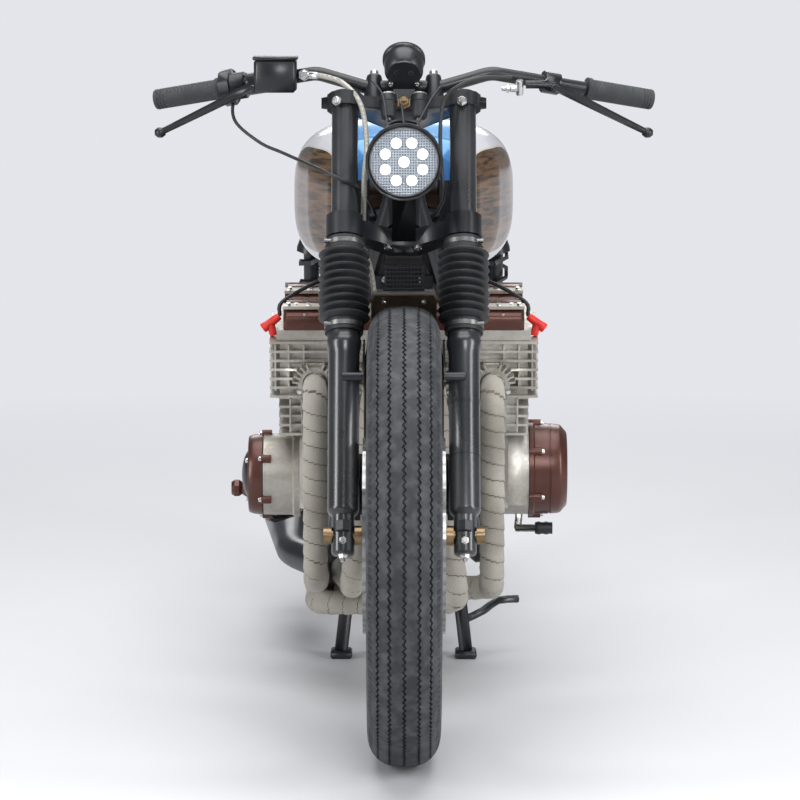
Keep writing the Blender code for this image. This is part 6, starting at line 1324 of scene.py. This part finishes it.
def make_cam_cover():
    """The brown cover, with bright ledges and screws along the tops of both humps."""
    rounded_copy("cam_cover", 30)
    flange = Gathered()
    flange.add(cylinder_box(0.2006, 0.2436, 0.2600, 0.0797))
    flange.made("cover_flange", "cast_alloy", "chassis", False)
    up = on_cylinder(0, 1, 0) - on_cylinder(0, 0, 0)
    ledges = Gathered()
    screws = Gathered()
    for middle in (-0.045, 0.045):
        for across in (-0.0245, 0.0245):
            corners = []
            for x in (-LEDGE_HALF_LENGTH, LEDGE_HALF_LENGTH):
                for along, share in LEDGE_SECTION:
                    corners.append(on_cylinder(x, along, middle + across * share))
            ledges.add((corners, TURNED_BOX_FACES))
        for x in (-0.182, -0.150, -0.118, 0.118, 0.150, 0.182):
            screws.add(hex_head(on_cylinder(x, 0.2970, middle - 0.0190), up, 0.0040, 0.0045))
        for x in (-0.1560, -0.1120, 0.1120, 0.1560):
            rib = [(0, 0.0040), (0.0260, 0.0036), (0.0270, 0.0028)]
            ledges.turn(on_cylinder(x, 0.2590, middle - 0.0275), up, rib, 14)
    ledges.made("cam_ledges", "cast_alloy", "chassis", False)
    screws.made("cam_screws", "steel", "chassis", False)


# Cables

BRAKE_HOSE = (
    (-0.1500, spot(0, 0.352, 0).y, 1.0050), (-0.1250, spot(0, 0.335, 0).y, 1.0040),
    (-0.0920, spot(0, 0.315, 0).y, 0.9930), (-0.0660, spot(0, 0.290, 0).y, 0.9620),
    (-0.0570, spot(0, 0.262, 0).y, 0.9060), (-0.0605, spot(0, 0.236, 0).y, 0.8520),
    on_fork(-0.0610, 0.4900, 0.0560), on_fork(-0.0500, 0.4400, 0.0520), on_fork(-0.0460, 0.3850, 0.0500),
    on_fork(-0.0650, 0.3550, 0.0580), on_fork(-0.0800, 0.3200, 0.0560), on_fork(-0.0850, 0.2500, 0.0420),
    on_fork(-0.0830, 0.2050, 0.0560), on_fork(-0.0725, 0.1650, 0.0780),
)
THROTTLE_CABLE = (
    spot(-0.2450, 0.4150, 0.9830), spot(-0.2650, 0.4050, 0.9620), spot(-0.2620, 0.3900, 0.9300),
    spot(-0.2235, 0.3600, 0.9000), spot(-0.1870, 0.3300, 0.8860), spot(-0.1460, 0.2800, 0.8720),
    spot(-0.1150, 0.2400, 0.8610), spot(-0.0900, 0.2330, 0.8500), spot(-0.0660, 0.2450, 0.8360),
    spot(-0.0520, 0.2620, 0.8150), spot(-0.0440, 0.2750, 0.7950),
)
CLUTCH_CABLE = (
    spot(0.1650, 0.3050, 1.0040), spot(0.1180, 0.2850, 1.0040), spot(0.0800, 0.2750, 0.9900),
    spot(0.0600, 0.2750, 0.9650), spot(0.0555, 0.2620, 0.9150), spot(0.0580, 0.2500, 0.8600),
    spot(0.0600, 0.2520, 0.8250), spot(0.0520, 0.2580, 0.8040), spot(0.0440, 0.2640, 0.7930),
)
THIN_WIRES = (
    (
        spot(0.0560, 0.2950, 0.9900), spot(0.0400, 0.2650, 0.9700), spot(0.0220, 0.2200, 0.9400),
        spot(0.0180, 0.1950, 0.9300),
    ),
    (
        spot(-0.0500, 0.2950, 1.0000), spot(-0.0330, 0.2600, 0.9800), spot(-0.0260, 0.2200, 0.9400),
        spot(-0.0230, 0.1950, 0.9250),
    ),
    (spot(-0.0040, 0.2700, 0.9650), spot(-0.0010, 0.2350, 0.9450), spot(0.0020, 0.2000, 0.9300)),
)


def make_cables():
    """The brake hose, throttle and clutch cables and the lamp's thin wires, all turning with the fork."""
    hose = Gathered()
    hose.add(pipe(smooth_route(BRAKE_HOSE), 0.0041, 16))
    hose.made("brake_hose", "hose", "steering")
    ends = Gathered()
    for i, j in ((0, 1), (-1, -2)):
        start, toward = Vector(BRAKE_HOSE[i]), (Vector(BRAKE_HOSE[j]) - Vector(BRAKE_HOSE[i])).normalized()
        ends.turn(
            start - toward * 0.002, toward,
            [(0, 0.0050), (0.0140, 0.0056), (0.0200, 0.0056), (0.0240, 0.0044)], 20,
        )
    ends.add(hex_head(Vector(BRAKE_HOSE[0]) + Vector((-0.004, 0, 0)), Vector((0, -1, 0)), 0.0075, 0.0080))
    ends.made("hose_ends", "steel", "steering")
    cables = Gathered()
    for route, radius in ((THROTTLE_CABLE, 0.0026), (CLUTCH_CABLE, 0.0030)):
        cables.add(pipe(smooth_route(route), radius, 14))
    for route in THIN_WIRES:
        cables.add(pipe(smooth_route(route), 0.0016, 10))
    cables.made("control_cables", "rubber", "steering")


# Tyres

TREAD_SHARE, TREAD_EDGE, TREAD_PITCH = 0.98, 1.30, 0.0115
GROOVE_SHARES = (-0.76, -0.40, 0.0, 0.40, 0.76)
GROOVE_HALF_WIDTH, GROOVE_WALL, GROOVE_DEPTH = 0.0015, 0.0005, 0.0042
GROOVE_SWING = 0.0017
SHOULDER_SLOTS = ((1.22, 0), (1.18, 1), (1.02, 1), (0.98, 0))
SLOT_DEPTH = 0.0030


def tyre_line(outer, half_width, bead):
    """The tyre's section from bead to bead as finely spaced (across, radius) points."""
    middle = bead + (outer - bead) * 0.45
    seat = RIM_HALF_WIDTH - 0.003
    right = []
    for i in range(24):
        angle = math.pi / 2 * i / 24
        right.append(
            (
                seat + (half_width - seat) * math.sin(angle) ** 0.8,
                middle - (middle - bead - 0.004) * math.cos(angle),
            )
        )
    for i in range(90):
        angle = math.pi / 2 * i / 90
        right.append(
            (half_width * math.cos(angle) ** 0.80, middle + (outer - middle) * math.sin(angle) ** 0.85)
        )
    left = [(-across, radius) for across, radius in reversed(right)]
    return np.array(right + [(0.0, outer)] + left)


def make_tyre(name, node, axle, outer, half_width, bead, body):
    """A tyre with five zigzag grooves and short shoulder slots."""
    line = tyre_line(outer, half_width, bead)
    steps = np.linalg.norm(np.diff(line, axis=0), axis=1)
    travel = np.concatenate([[0], np.cumsum(steps)])
    middle = travel[-1] / 2
    travel = travel - middle
    slope = np.gradient(line, travel, axis=0)
    normal = np.stack([slope[:, 1], -slope[:, 0]], axis=1)
    normal /= np.linalg.norm(normal, axis=1)[:, None]
    if normal[len(line) // 2, 1] < 0:
        normal = -normal
    tread = half_width * TREAD_SHARE
    rings = 4 * round(2 * math.pi * outer / TREAD_PITCH)
    zigzag = np.array([-1.0, 0.0, 1.0, 0.0]) * GROOVE_SWING
    columns = [(at, 0.0, 0.0, 0.0) for at in np.linspace(-middle, -tread * TREAD_EDGE, 12)]
    columns += [(-tread * share, 0.0, 0.0, slot * SLOT_DEPTH) for share, slot in SHOULDER_SLOTS]
    half, outside = GROOVE_HALF_WIDTH, GROOVE_HALF_WIDTH + GROOVE_WALL
    edges = ((-outside, 0.0), (-half, GROOVE_DEPTH), (half, GROOVE_DEPTH), (outside, 0.0))
    for share in GROOVE_SHARES:
        at = tread * share
        columns += [(at + offset, 1.0, drop, 0.0) for offset, drop in edges]
        if share < 0.7:
            columns.append((at + tread * 0.18, 0.0, 0.0, 0.0))
    columns += [(tread * share, 0.0, 0.0, slot * SLOT_DEPTH) for share, slot in reversed(SHOULDER_SLOTS)]
    columns += [(at, 0.0, 0.0, 0.0) for at in np.linspace(tread * TREAD_EDGE, middle, 12)]
    base, swing, drop, slots = np.array(columns).T
    points = []
    for ring in range(rings):
        at = base + swing * zigzag[ring % 4]
        down = drop + slots * (ring % 4 < 2)
        across = np.interp(at, travel, line[:, 0]) - np.interp(at, travel, normal[:, 0]) * down
        radius = np.interp(at, travel, line[:, 1]) - np.interp(at, travel, normal[:, 1]) * down
        angle = 2 * math.pi * ring / rings
        points.append(
            np.stack([across, axle.y + radius * math.cos(angle), axle.z + radius * math.sin(angle)], axis=1)
        )
    count = len(base)
    first = np.arange(rings)[:, None] * count
    second = (np.arange(rings)[:, None] + 1) % rings * count
    k = np.arange(count - 1)[None, :]
    faces = np.stack([first + k, first + k + 1, second + k + 1, second + k], axis=2).reshape(-1, 4)
    closing = np.stack(
        [first[:, 0] + count - 1, first[:, 0], second[:, 0], second[:, 0] + count - 1], axis=1,
    )
    faces = np.concatenate([faces, closing])
    piece = make_piece(name, np.concatenate(points), faces, node, body)
    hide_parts(node)


# Fork gaiters, grips

GAITER_LOW, GAITER_HIGH, GAITER_CUFF = 0.3190, 0.4715, 0.019
GAITER_FOLDS = 9
GAITER_BORE, CUFF_RADIUS, VALLEY_RADIUS, PEAK_RADIUS = 0.0215, 0.0290, 0.0306, 0.0393


def make_gaiter(name, side):
    """Rounded bellows between two cuffs with clamp rings."""
    low, high, cuff = GAITER_LOW, GAITER_HIGH, GAITER_CUFF
    profile = [(low, GAITER_BORE), (low + 0.0005, CUFF_RADIUS), (low + cuff, CUFF_RADIUS)]
    start, end = low + cuff, high - cuff
    for i in range(GAITER_FOLDS * 8 + 1):
        share = i / (GAITER_FOLDS * 8)
        bulge = (1 - math.cos(share * GAITER_FOLDS * 2 * math.pi)) / 2
        radius = VALLEY_RADIUS + (PEAK_RADIUS - VALLEY_RADIUS) * bulge ** 0.75
        profile.append((start + (end - start) * share, radius))
    profile += [(high - cuff, CUFF_RADIUS), (high - 0.0005, CUFF_RADIUS), (high, GAITER_BORE)]
    base = on_fork(side * FORK_LEG_X, 0)
    piece = make_piece(name + "_bellows", *revolve(base, FORK_AXIS, profile, 48), "rubber", "steering")
    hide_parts(name)
    rings = Gathered()
    for along in (low + cuff * 0.35, high - cuff * 0.65):
        ring = [(along, 0.0288), (along, 0.0300), (along + 0.0070, 0.0300), (along + 0.0070, 0.0288)]
        rings.turn(base, FORK_AXIS, ring, 48, closed=True)
        screw = base + FORK_AXIS * (along + 0.0035) + X_AXIS * side * 0.024 - FORK_BACK * 0.019
        rings.turn(screw, X_AXIS, [(-0.006, 0.0035), (0.006, 0.0035)], 12)
    rings.made(name + "_clamps", "dark_steel", "steering")


def node_axis(name, guess):
    """The middle, the long direction and the points of a CAD node."""
    points = np.array([vertex.co for vertex in NODES[name].data.vertices])
    centre = points.mean(0)
    _, _, directions = np.linalg.svd(points - centre)
    axis = Vector(directions[0])
    return Vector(centre), axis if axis.dot(guess) > 0 else -axis, points


def make_grip(name, side):
    """A knurled sleeve with a flange at its inner end and three narrow rings near its outer end."""
    centre, axis, points = node_axis(name, X_AXIS * side)
    travels = [(Vector(point) - centre).dot(axis) for point in points]
    low, high = min(travels), max(travels)
    profile = [
        (low, 0.0113), (low, 0.0178), (low + 0.003, 0.0182), (low + 0.007, 0.0178), (low + 0.009, 0.0160),
    ]
    for i in range(3):
        at = high - 0.020 + i * 0.005
        profile += [(at, 0.0160), (at + 0.001, 0.0150), (at + 0.002, 0.0150), (at + 0.003, 0.0160)]
    profile += [(high - 0.003, 0.0160), (high - 0.001, 0.0150), (high, 0.0120)]
    piece = make_piece(name + "_sleeve", *revolve(centre, axis, profile, 40), "grip", "steering")
    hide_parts(name)


# Headlight

EMITTER_RING = 0.575


def make_headlight():
    """The lamp: rim, faceted bowl, nine emitters in their cups and the clear cover."""
    low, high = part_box("headlight_lens")
    centre = (low + high) / 2
    radius = (high.x - low.x) / 2
    forward = Vector((0, -1, 0))
    front = Vector((centre.x, low.y, centre.z))
    back = Vector((centre.x, high.y, centre.z))
    depth = high.y - low.y
    rim = [
        (0, radius * 0.955), (0, radius), (depth * 0.7, radius), (depth, radius * 0.985),
        (depth, radius * 0.962),
    ]
    make_piece("lamp_rim", *revolve(back, forward, rim, 64, closed=True), "dark_steel", "steering")
    bowl = [(depth * 0.10, radius * 0.953), (depth * 0.22, radius * 0.953)]
    make_piece("lamp_bowl", *revolve(back, forward, bowl, 64), "reflector", "steering")
    lights = Gathered()
    cups = Gathered()
    angles = [math.pi * (i + 0.5) / 4 for i in range(8)]
    places = [(0.0, 0.0)] + [(EMITTER_RING * math.cos(a), EMITTER_RING * math.sin(a)) for a in angles]
    for across, up in places:
        at = back + Vector((across * radius, 0, up * radius)) + forward * depth * 0.24
        lights.turn(at, forward, [(0, 0.0080), (0.0006, 0.0078), (0.0012, 0.0050)], 24)
        cups.turn(
            at, forward, [(0, 0.0082), (0, 0.0094), (0.0012, 0.0094), (0.0012, 0.0082)], 24, closed=True,
        )
    lights.made("lamp_emitters", "light", "steering")
    cups.made("lamp_cups", "steel", "steering")
    glass = [(depth * 0.80, radius * 0.955), (depth * 0.95, radius * 0.955)]
    cover = make_piece("lamp_cover", *revolve(back, forward, glass, 64), "glass", "steering")
    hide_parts("headlight_lens")


# Bolts that sit on the nodes


TREES = {}


def tree_from(mesh):
    """A mesh's faces in a form that rays can be sent at."""
    return BVHTree.FromPolygons([v.co for v in mesh.vertices], [tuple(p.vertices) for p in mesh.polygons])


def tree_of(name):
    if name not in TREES:
        TREES[name] = tree_from(NODES[name].data)
    return TREES[name]


def photo_ray(u, v):
    """The direction from the camera through a point of the photograph."""
    across = (u - PHOTO_WIDTH / 2) / CAMERA_FOCAL_PIXELS
    down = (v - PHOTO_WIDTH / 2) / CAMERA_FOCAL_PIXELS
    ahead = Vector((0, math.cos(CAMERA_PITCH), -math.sin(CAMERA_PITCH)))
    below = Vector((0, -math.sin(CAMERA_PITCH), -math.cos(CAMERA_PITCH)))
    return (ahead + X_AXIS * across + below * down).normalized()


def seat_on(name, start, direction):
    """The point and outward normal where a ray meets a node, or nothing."""
    point, normal, _, _ = tree_of(name).ray_cast(start, direction)
    if point is None:
        return None
    return point, normal if normal.dot(direction) < 0 else -normal


def hex_head(point, axis, radius, height):
    return revolve(
        point - axis * 0.0005, axis,
        [
            (0, radius * 1.25), (height * 0.25, radius * 1.25), (height * 0.25, radius),
            (height * 0.9, radius), (height, radius * 0.85),
        ],
        6, 0.5,
    )


def socket_head(point, axis, radius, height):
    profile = [
        (0, radius), (height * 0.85, radius), (height, radius * 0.9), (height, radius * 0.55),
        (height * 0.4, radius * 0.5),
    ]
    return revolve(point - axis * 0.0005, axis, profile, 18)


PHOTO_BOLTS = {
    "upper_yoke": (((337, 101), (462, 101)), hex_head, 0.0065),
    "lower_yoke": (((388, 246), (418, 246)), socket_head, 0.0060),
    "regulator": (((384.5, 279.6), (420, 279.6)), socket_head, 0.0045),
    "front_fender": (((384, 302), (424, 302)), hex_head, 0.0035),
}


def make_photo_bolts():
    for node, (places, head, radius) in PHOTO_BOLTS.items():
        found = Gathered()
        for u, v in places:
            seat = seat_on(node, CAMERA_PLACE, photo_ray(u, v))
            if seat:
                found.add(head(*seat, radius, radius))
        if found.points:
            body = "chassis" if node == "regulator" else "steering"
            found.made(node + "_bolts", "steel", body, False)


def ring_bolts(name, node, centre, axis, radius, count, size, phase=0.0):
    """Bolts in a ring on a cover, each on the cover's own surface."""
    side, up, axis = frame_of(axis)
    found = Gathered()
    for place in circle(centre, side, up, radius, count, phase):
        seat = seat_on(node, place + axis * 0.5, -axis)
        if seat and seat[1].dot(axis) > 0.7:
            found.add(socket_head(seat[0], axis, size, size * 0.9))
    if found.points:
        found.made(name, "steel", "chassis")


def row_bolts(name, node, places, down, size):
    """Hex heads where rays from places, sent along down, meet a node's upper face."""
    found = Gathered()
    for place in places:
        seat = seat_on(node, place - down * 0.3, down)
        if seat and seat[1].dot(down) < -0.6:
            found.add(hex_head(seat[0], -down, size, size))
    if found.points:
        found.made(name, "steel", "chassis", False)


def make_engine_bolts():
    """Screws on the ignition ring, the clutch and sprocket covers, and on the cam cover."""
    ring_bolts("ignition_cap_bolts", "ignition_cap", CRANK, -X_AXIS, 0.045, 3, 0.0040, 0.25)
    ring_bolts("clutch_bolts", "clutch_cover", spot(0, 0.690, 0.335), -X_AXIS, 0.058, 8, 0.0040)
    low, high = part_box("sprocket_cover")
    ring_bolts("sprocket_cover_bolts", "sprocket_cover", (low + high) / 2, X_AXIS, 0.050, 6, 0.0040)
    low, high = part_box("cam_cover")
    down = Vector((0, math.sin(CYLINDER_LEAN), -math.cos(CYLINDER_LEAN)))
    places = []
    for x in (-0.170, -0.115, -0.060, 0.060, 0.115, 0.170):
        for y in (low.y + 0.012, (low.y + high.y) / 2, high.y - 0.010):
            places.append(Vector((x, y, high.z)))
    row_bolts("cam_cover_bolts", "cam_cover", places, down, 0.0045)


def make_axle_studs():
    """The stud and nuts that close each leg's clamp round the front axle."""
    found = Gathered()
    for side in (1, -1):
        end = on_fork(side * FORK_LEG_X, -0.0300)
        found.turn(end + FORK_AXIS * 0.004, -FORK_AXIS, [(0, 0.0035), (0.014, 0.0035), (0.015, 0.0028)], 12)
        found.add(hex_head(end, -FORK_AXIS, 0.0065, 0.006))
        found.add(hex_head(end - FORK_BACK * 0.0165 + FORK_AXIS * 0.018, -FORK_BACK, 0.0050, 0.004))
    found.made("axle_clamp_studs", "steel", "steering", False)


# Seat

VOXEL = 0.006
SWELL_LIMIT = 0.012
CHANNEL_PITCH, CHANNEL_DEPTH, CHANNEL_WIDTH = 0.042, 0.0045, 0.0055
CHANNEL_HALF_LENGTH, CHANNEL_FADE = 0.092, 0.012
CHANNELS_FROM_FRONT, CHANNELS_FROM_REAR = 0.075, 0.060
SEAM_SHARE, SEAM_DEPTH, SEAM_WIDTH = 0.70, 0.0022, 0.0035
PIPING_STEPS, PIPING_RADIUS = 160, 0.0024


def make_seat():
    """The padded seat: inflated cover, then cross channels and a seam round its sides."""
    node = NODES["seat"]
    mesh = node.data.copy()
    mesh.materials.clear()
    mesh.materials.append(LOOKS["seat"])
    seat = bpy.data.objects.new("seat_cushion", mesh)
    bpy.context.scene.collection.objects.link(seat)
    low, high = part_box("seat")
    centre = (low + high) / 2
    shrink = Matrix.Diagonal((0.955, 0.985, 0.93, 1))
    base = Vector((centre.x, centre.y, low.z))
    mesh.transform(Matrix.Translation(base) @ shrink @ Matrix.Translation(-base))
    remesh = seat.modifiers.new("remesh", "REMESH")
    remesh.mode = "VOXEL"
    remesh.voxel_size = VOXEL
    apply_modifiers(seat)
    start = np.array([v.co for v in seat.data.vertices])
    inflate(seat)
    settle(seat, start, low, high)
    subdivision = seat.modifiers.new("smooth", "SUBSURF")
    subdivision.levels = subdivision.render_levels = 1
    apply_modifiers(seat)
    press_channels(seat, low, high)
    seat.data.shade_smooth()
    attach(seat, "chassis")
    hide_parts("seat")
    make_seat_piping(seat, low, high)


def apply_modifiers(piece):
    bpy.context.view_layer.update()
    made = bpy.data.meshes.new_from_object(piece.evaluated_get(bpy.context.evaluated_depsgraph_get()))
    piece.modifiers.clear()
    piece.data = made


def inflate(piece):
    cloth = piece.modifiers.new("cloth", "CLOTH")
    cloth.settings.use_pressure = True
    cloth.settings.uniform_pressure_force = 4
    cloth.settings.effector_weights.gravity = 0
    cloth.settings.quality = 5
    for step in range(1, 21):
        bpy.context.scene.frame_set(step)
    apply_modifiers(piece)
    bpy.context.scene.frame_set(1)


def settle(piece, start, low, high):
    """Caps how far the cover swelled, and keeps it flat on its base and inside its solid's box."""
    points = np.array([v.co for v in piece.data.vertices])
    moved = points - start
    length = np.linalg.norm(moved, axis=1, keepdims=True)
    points = start + moved * np.minimum(1, SWELL_LIMIT / np.maximum(length, 1e-9))
    points[:, 2] = np.clip(points[:, 2], low.z + 0.0005, high.z + 0.002)
    points[:, 0] = np.clip(points[:, 0], low.x - 0.002, high.x + 0.002)
    points[:, 1] = np.clip(points[:, 1], low.y + 0.001, high.y)
    piece.data.vertices.foreach_set("co", points.astype(np.float32).ravel())
    piece.data.update()


def press_channels(piece, low, high):
    """Sewn cross channels over the top, and a seam line round the side."""
    mesh = piece.data
    count = len(mesh.vertices)
    points = np.empty(count * 3)
    mesh.vertices.foreach_get("co", points)
    points = points.reshape(-1, 3)
    normals = np.empty(count * 3)
    mesh.vertices.foreach_get("normal", normals)
    normals = normals.reshape(-1, 3)
    begin, end = low.y + CHANNELS_FROM_FRONT, high.y - CHANNELS_FROM_REAR
    across, along = np.abs(points[:, 0]), points[:, 1]
    phase = (along - begin) / CHANNEL_PITCH
    near = np.abs(phase - np.round(phase)) * CHANNEL_PITCH
    inside = (along > begin - 0.01) & (along < end) & (across < CHANNEL_HALF_LENGTH)
    top = np.clip((normals[:, 2] - 0.55) / 0.3, 0, 1)
    fade = np.clip((CHANNEL_HALF_LENGTH - across) / CHANNEL_FADE, 0, 1)
    depth = CHANNEL_DEPTH * np.exp(-((near / CHANNEL_WIDTH) ** 2)) * inside * top * fade
    seam_height = low.z + (high.z - low.z) * SEAM_SHARE
    depth += SEAM_DEPTH * np.exp(-(((points[:, 2] - seam_height) / SEAM_WIDTH) ** 2)) * (1 - top)
    points -= normals * depth[:, None]
    mesh.vertices.foreach_set("co", points.astype(np.float32).ravel())
    mesh.update()


def make_seat_piping(seat, low, high):
    """Piping laid on the seam, found on the cushion's own surface."""
    tree = tree_from(seat.data)
    height = low.z + (high.z - low.z) * SEAM_SHARE
    route = []
    for i in range(PIPING_STEPS):
        angle = 2 * math.pi * i / PIPING_STEPS
        along = (high.y - low.y) / 2 - 0.110
        middle = Vector((0, (low.y + high.y) / 2 + math.cos(angle) * along, height))
        reach = Vector((math.sin(angle), math.cos(angle) * 0.9, 0)).normalized()
        point, normal, _, _ = tree.ray_cast(middle + reach * 0.5, -reach)
        if point is not None:
            route.append(point + reach * 0.0006)
    rows = Gathered()
    rows.add(pipe(route + route[:2], PIPING_RADIUS, 8))
    rows.made("seat_piping", "seat", "chassis")


# Camera, floor and light


def make_camera():
    camera = bpy.data.objects.new("camera", bpy.data.cameras.new("camera"))
    camera.data.sensor_width = 36
    camera.data.lens = CAMERA_FOCAL_PIXELS / PHOTO_WIDTH * 36
    camera.data.clip_end = 200
    camera.location = CAMERA_PLACE
    camera.rotation_euler = (math.pi / 2 - CAMERA_PITCH, 0, 0)
    bpy.context.scene.collection.objects.link(camera)
    bpy.context.scene.camera = camera


BACKGROUND = (0.775, 0.785, 0.830)


def make_floor():
    """A pale floor that fades into the plain background away from the machine."""
    points, faces = revolve(Vector((0, 0, -0.02)), Vector((0, 0, 1)), [(0, 30), (0.0195, 30)], 96)
    mesh = bpy.data.meshes.new("floor")
    mesh.from_pydata([tuple(point) for point in points], [], faces)
    floor = bpy.data.objects.new("floor", mesh)
    bpy.context.scene.collection.objects.link(floor)
    look = Look("floor", (0.64, 0.645, 0.665), 0.6, 0.0, Specular_IOR_Level=0.3)
    look.vary(0.7, 0.02, 0.05)
    x, y, _ = look.split()
    squares = look.math("ADD", look.math("POWER", x, 2), look.math("POWER", y, 2))
    reach = look.math("SQRT", squares)
    far = look.ramp(reach, 1.2, 3.6)
    tree = look.tree
    glow = tree.nodes.new("ShaderNodeEmission")
    glow.inputs["Color"].default_value = (*BACKGROUND, 1)
    mixed = tree.nodes.new("ShaderNodeMixShader")
    look.link(far, mixed.inputs[0])
    look.link(look.shader.outputs[0], mixed.inputs[1])
    look.link(glow.outputs[0], mixed.inputs[2])
    look.link(mixed.outputs[0], tree.nodes["Material Output"].inputs["Surface"])
    mesh.materials.append(look.material)


def make_world():
    world = bpy.data.worlds.new("studio")
    bpy.context.scene.world = world
    world.use_nodes = True
    tree = world.node_tree
    shown = tree.nodes["Background"]
    shown.inputs["Color"].default_value = (*BACKGROUND, 1)
    shown.inputs["Strength"].default_value = 1.0
    lighting = tree.nodes.new("ShaderNodeBackground")
    lighting.inputs["Color"].default_value = (0.93, 0.95, 1.0, 1)
    lighting.inputs["Strength"].default_value = 0.24
    path = tree.nodes.new("ShaderNodeLightPath")
    either = tree.nodes.new("ShaderNodeMath")
    either.operation = "MAXIMUM"
    mixed = tree.nodes.new("ShaderNodeMixShader")
    tree.links.new(path.outputs["Is Camera Ray"], either.inputs[0])
    tree.links.new(path.outputs["Is Transmission Ray"], either.inputs[1])
    tree.links.new(either.outputs[0], mixed.inputs[0])
    tree.links.new(lighting.outputs[0], mixed.inputs[1])
    tree.links.new(shown.outputs[0], mixed.inputs[2])
    tree.links.new(mixed.outputs[0], tree.nodes["World Output"].inputs["Surface"])


def make_lamp(name, place, target, width, height, power):
    lamp = bpy.data.lights.new(name, "AREA")
    lamp.shape = "RECTANGLE"
    lamp.size = width
    lamp.size_y = height
    lamp.energy = power
    obj = bpy.data.objects.new(name, lamp)
    obj.location = place
    obj.rotation_mode = "QUATERNION"
    obj.rotation_quaternion = (Vector(target) - Vector(place)).to_track_quat("-Z", "Y")
    bpy.context.scene.collection.objects.link(obj)


def make_lights():
    bpy.context.scene.view_settings.view_transform = "Standard"
    make_lamp("top", (0, -0.3, 3.6), (0, 0, 0.4), 3.0, 3.6, 125)
    make_lamp("left", (-3.0, -2.2, 1.5), (0, -0.3, 0.6), 0.9, 2.6, 72)
    make_lamp("right", (3.0, -2.2, 1.5), (0, -0.3, 0.6), 0.9, 2.6, 72)
    make_lamp("front", (0.9, -5.2, 2.8), (0, 0, 0.5), 1.6, 1.6, 85)
    make_lamp("back", (0, 4.2, 2.6), (0, 0, 0.5), 3.0, 1.6, 60)


dress_nodes()
make_tyre("front_tread", "front_tyre", FRONT_AXLE, 0.3415, 0.0545, 0.2425, "front_wheel")
make_tyre("rear_tread", "rear_tyre", REAR_AXLE, 0.335, 0.060, 0.2295, "rear_wheel")
for side_name, side_sign in (("left", 1), ("right", -1)):
    make_gaiter("gaiter_" + side_name, side_sign)
    make_grip("grip_" + side_name, side_sign)
make_headlight()
make_photo_bolts()
make_engine_bolts()
make_axle_studs()
make_seat()
make_camera()
make_floor()
make_world()
make_lights()

make_covers()
make_cam_cover()
make_engine_details()
make_regulator_fins()
make_toe_rubber()
make_fender_lip()
make_clutch_adjuster()
make_headers()
make_muffler()
make_tank()
make_bar()
make_speedometer()
make_steering_bits()
make_cables()
for side_name, side_sign in (("left", 1), ("right", -1)):
    make_fork_leg("fork_leg_" + side_name, side_sign)
    make_leads("ignition_leads_" + side_name, side_sign)
for node_name in TUBE_NODES:
    rounded_copy(node_name, 50)
for node_name in FINE_NODES:
    rounded_copy(node_name, 30)
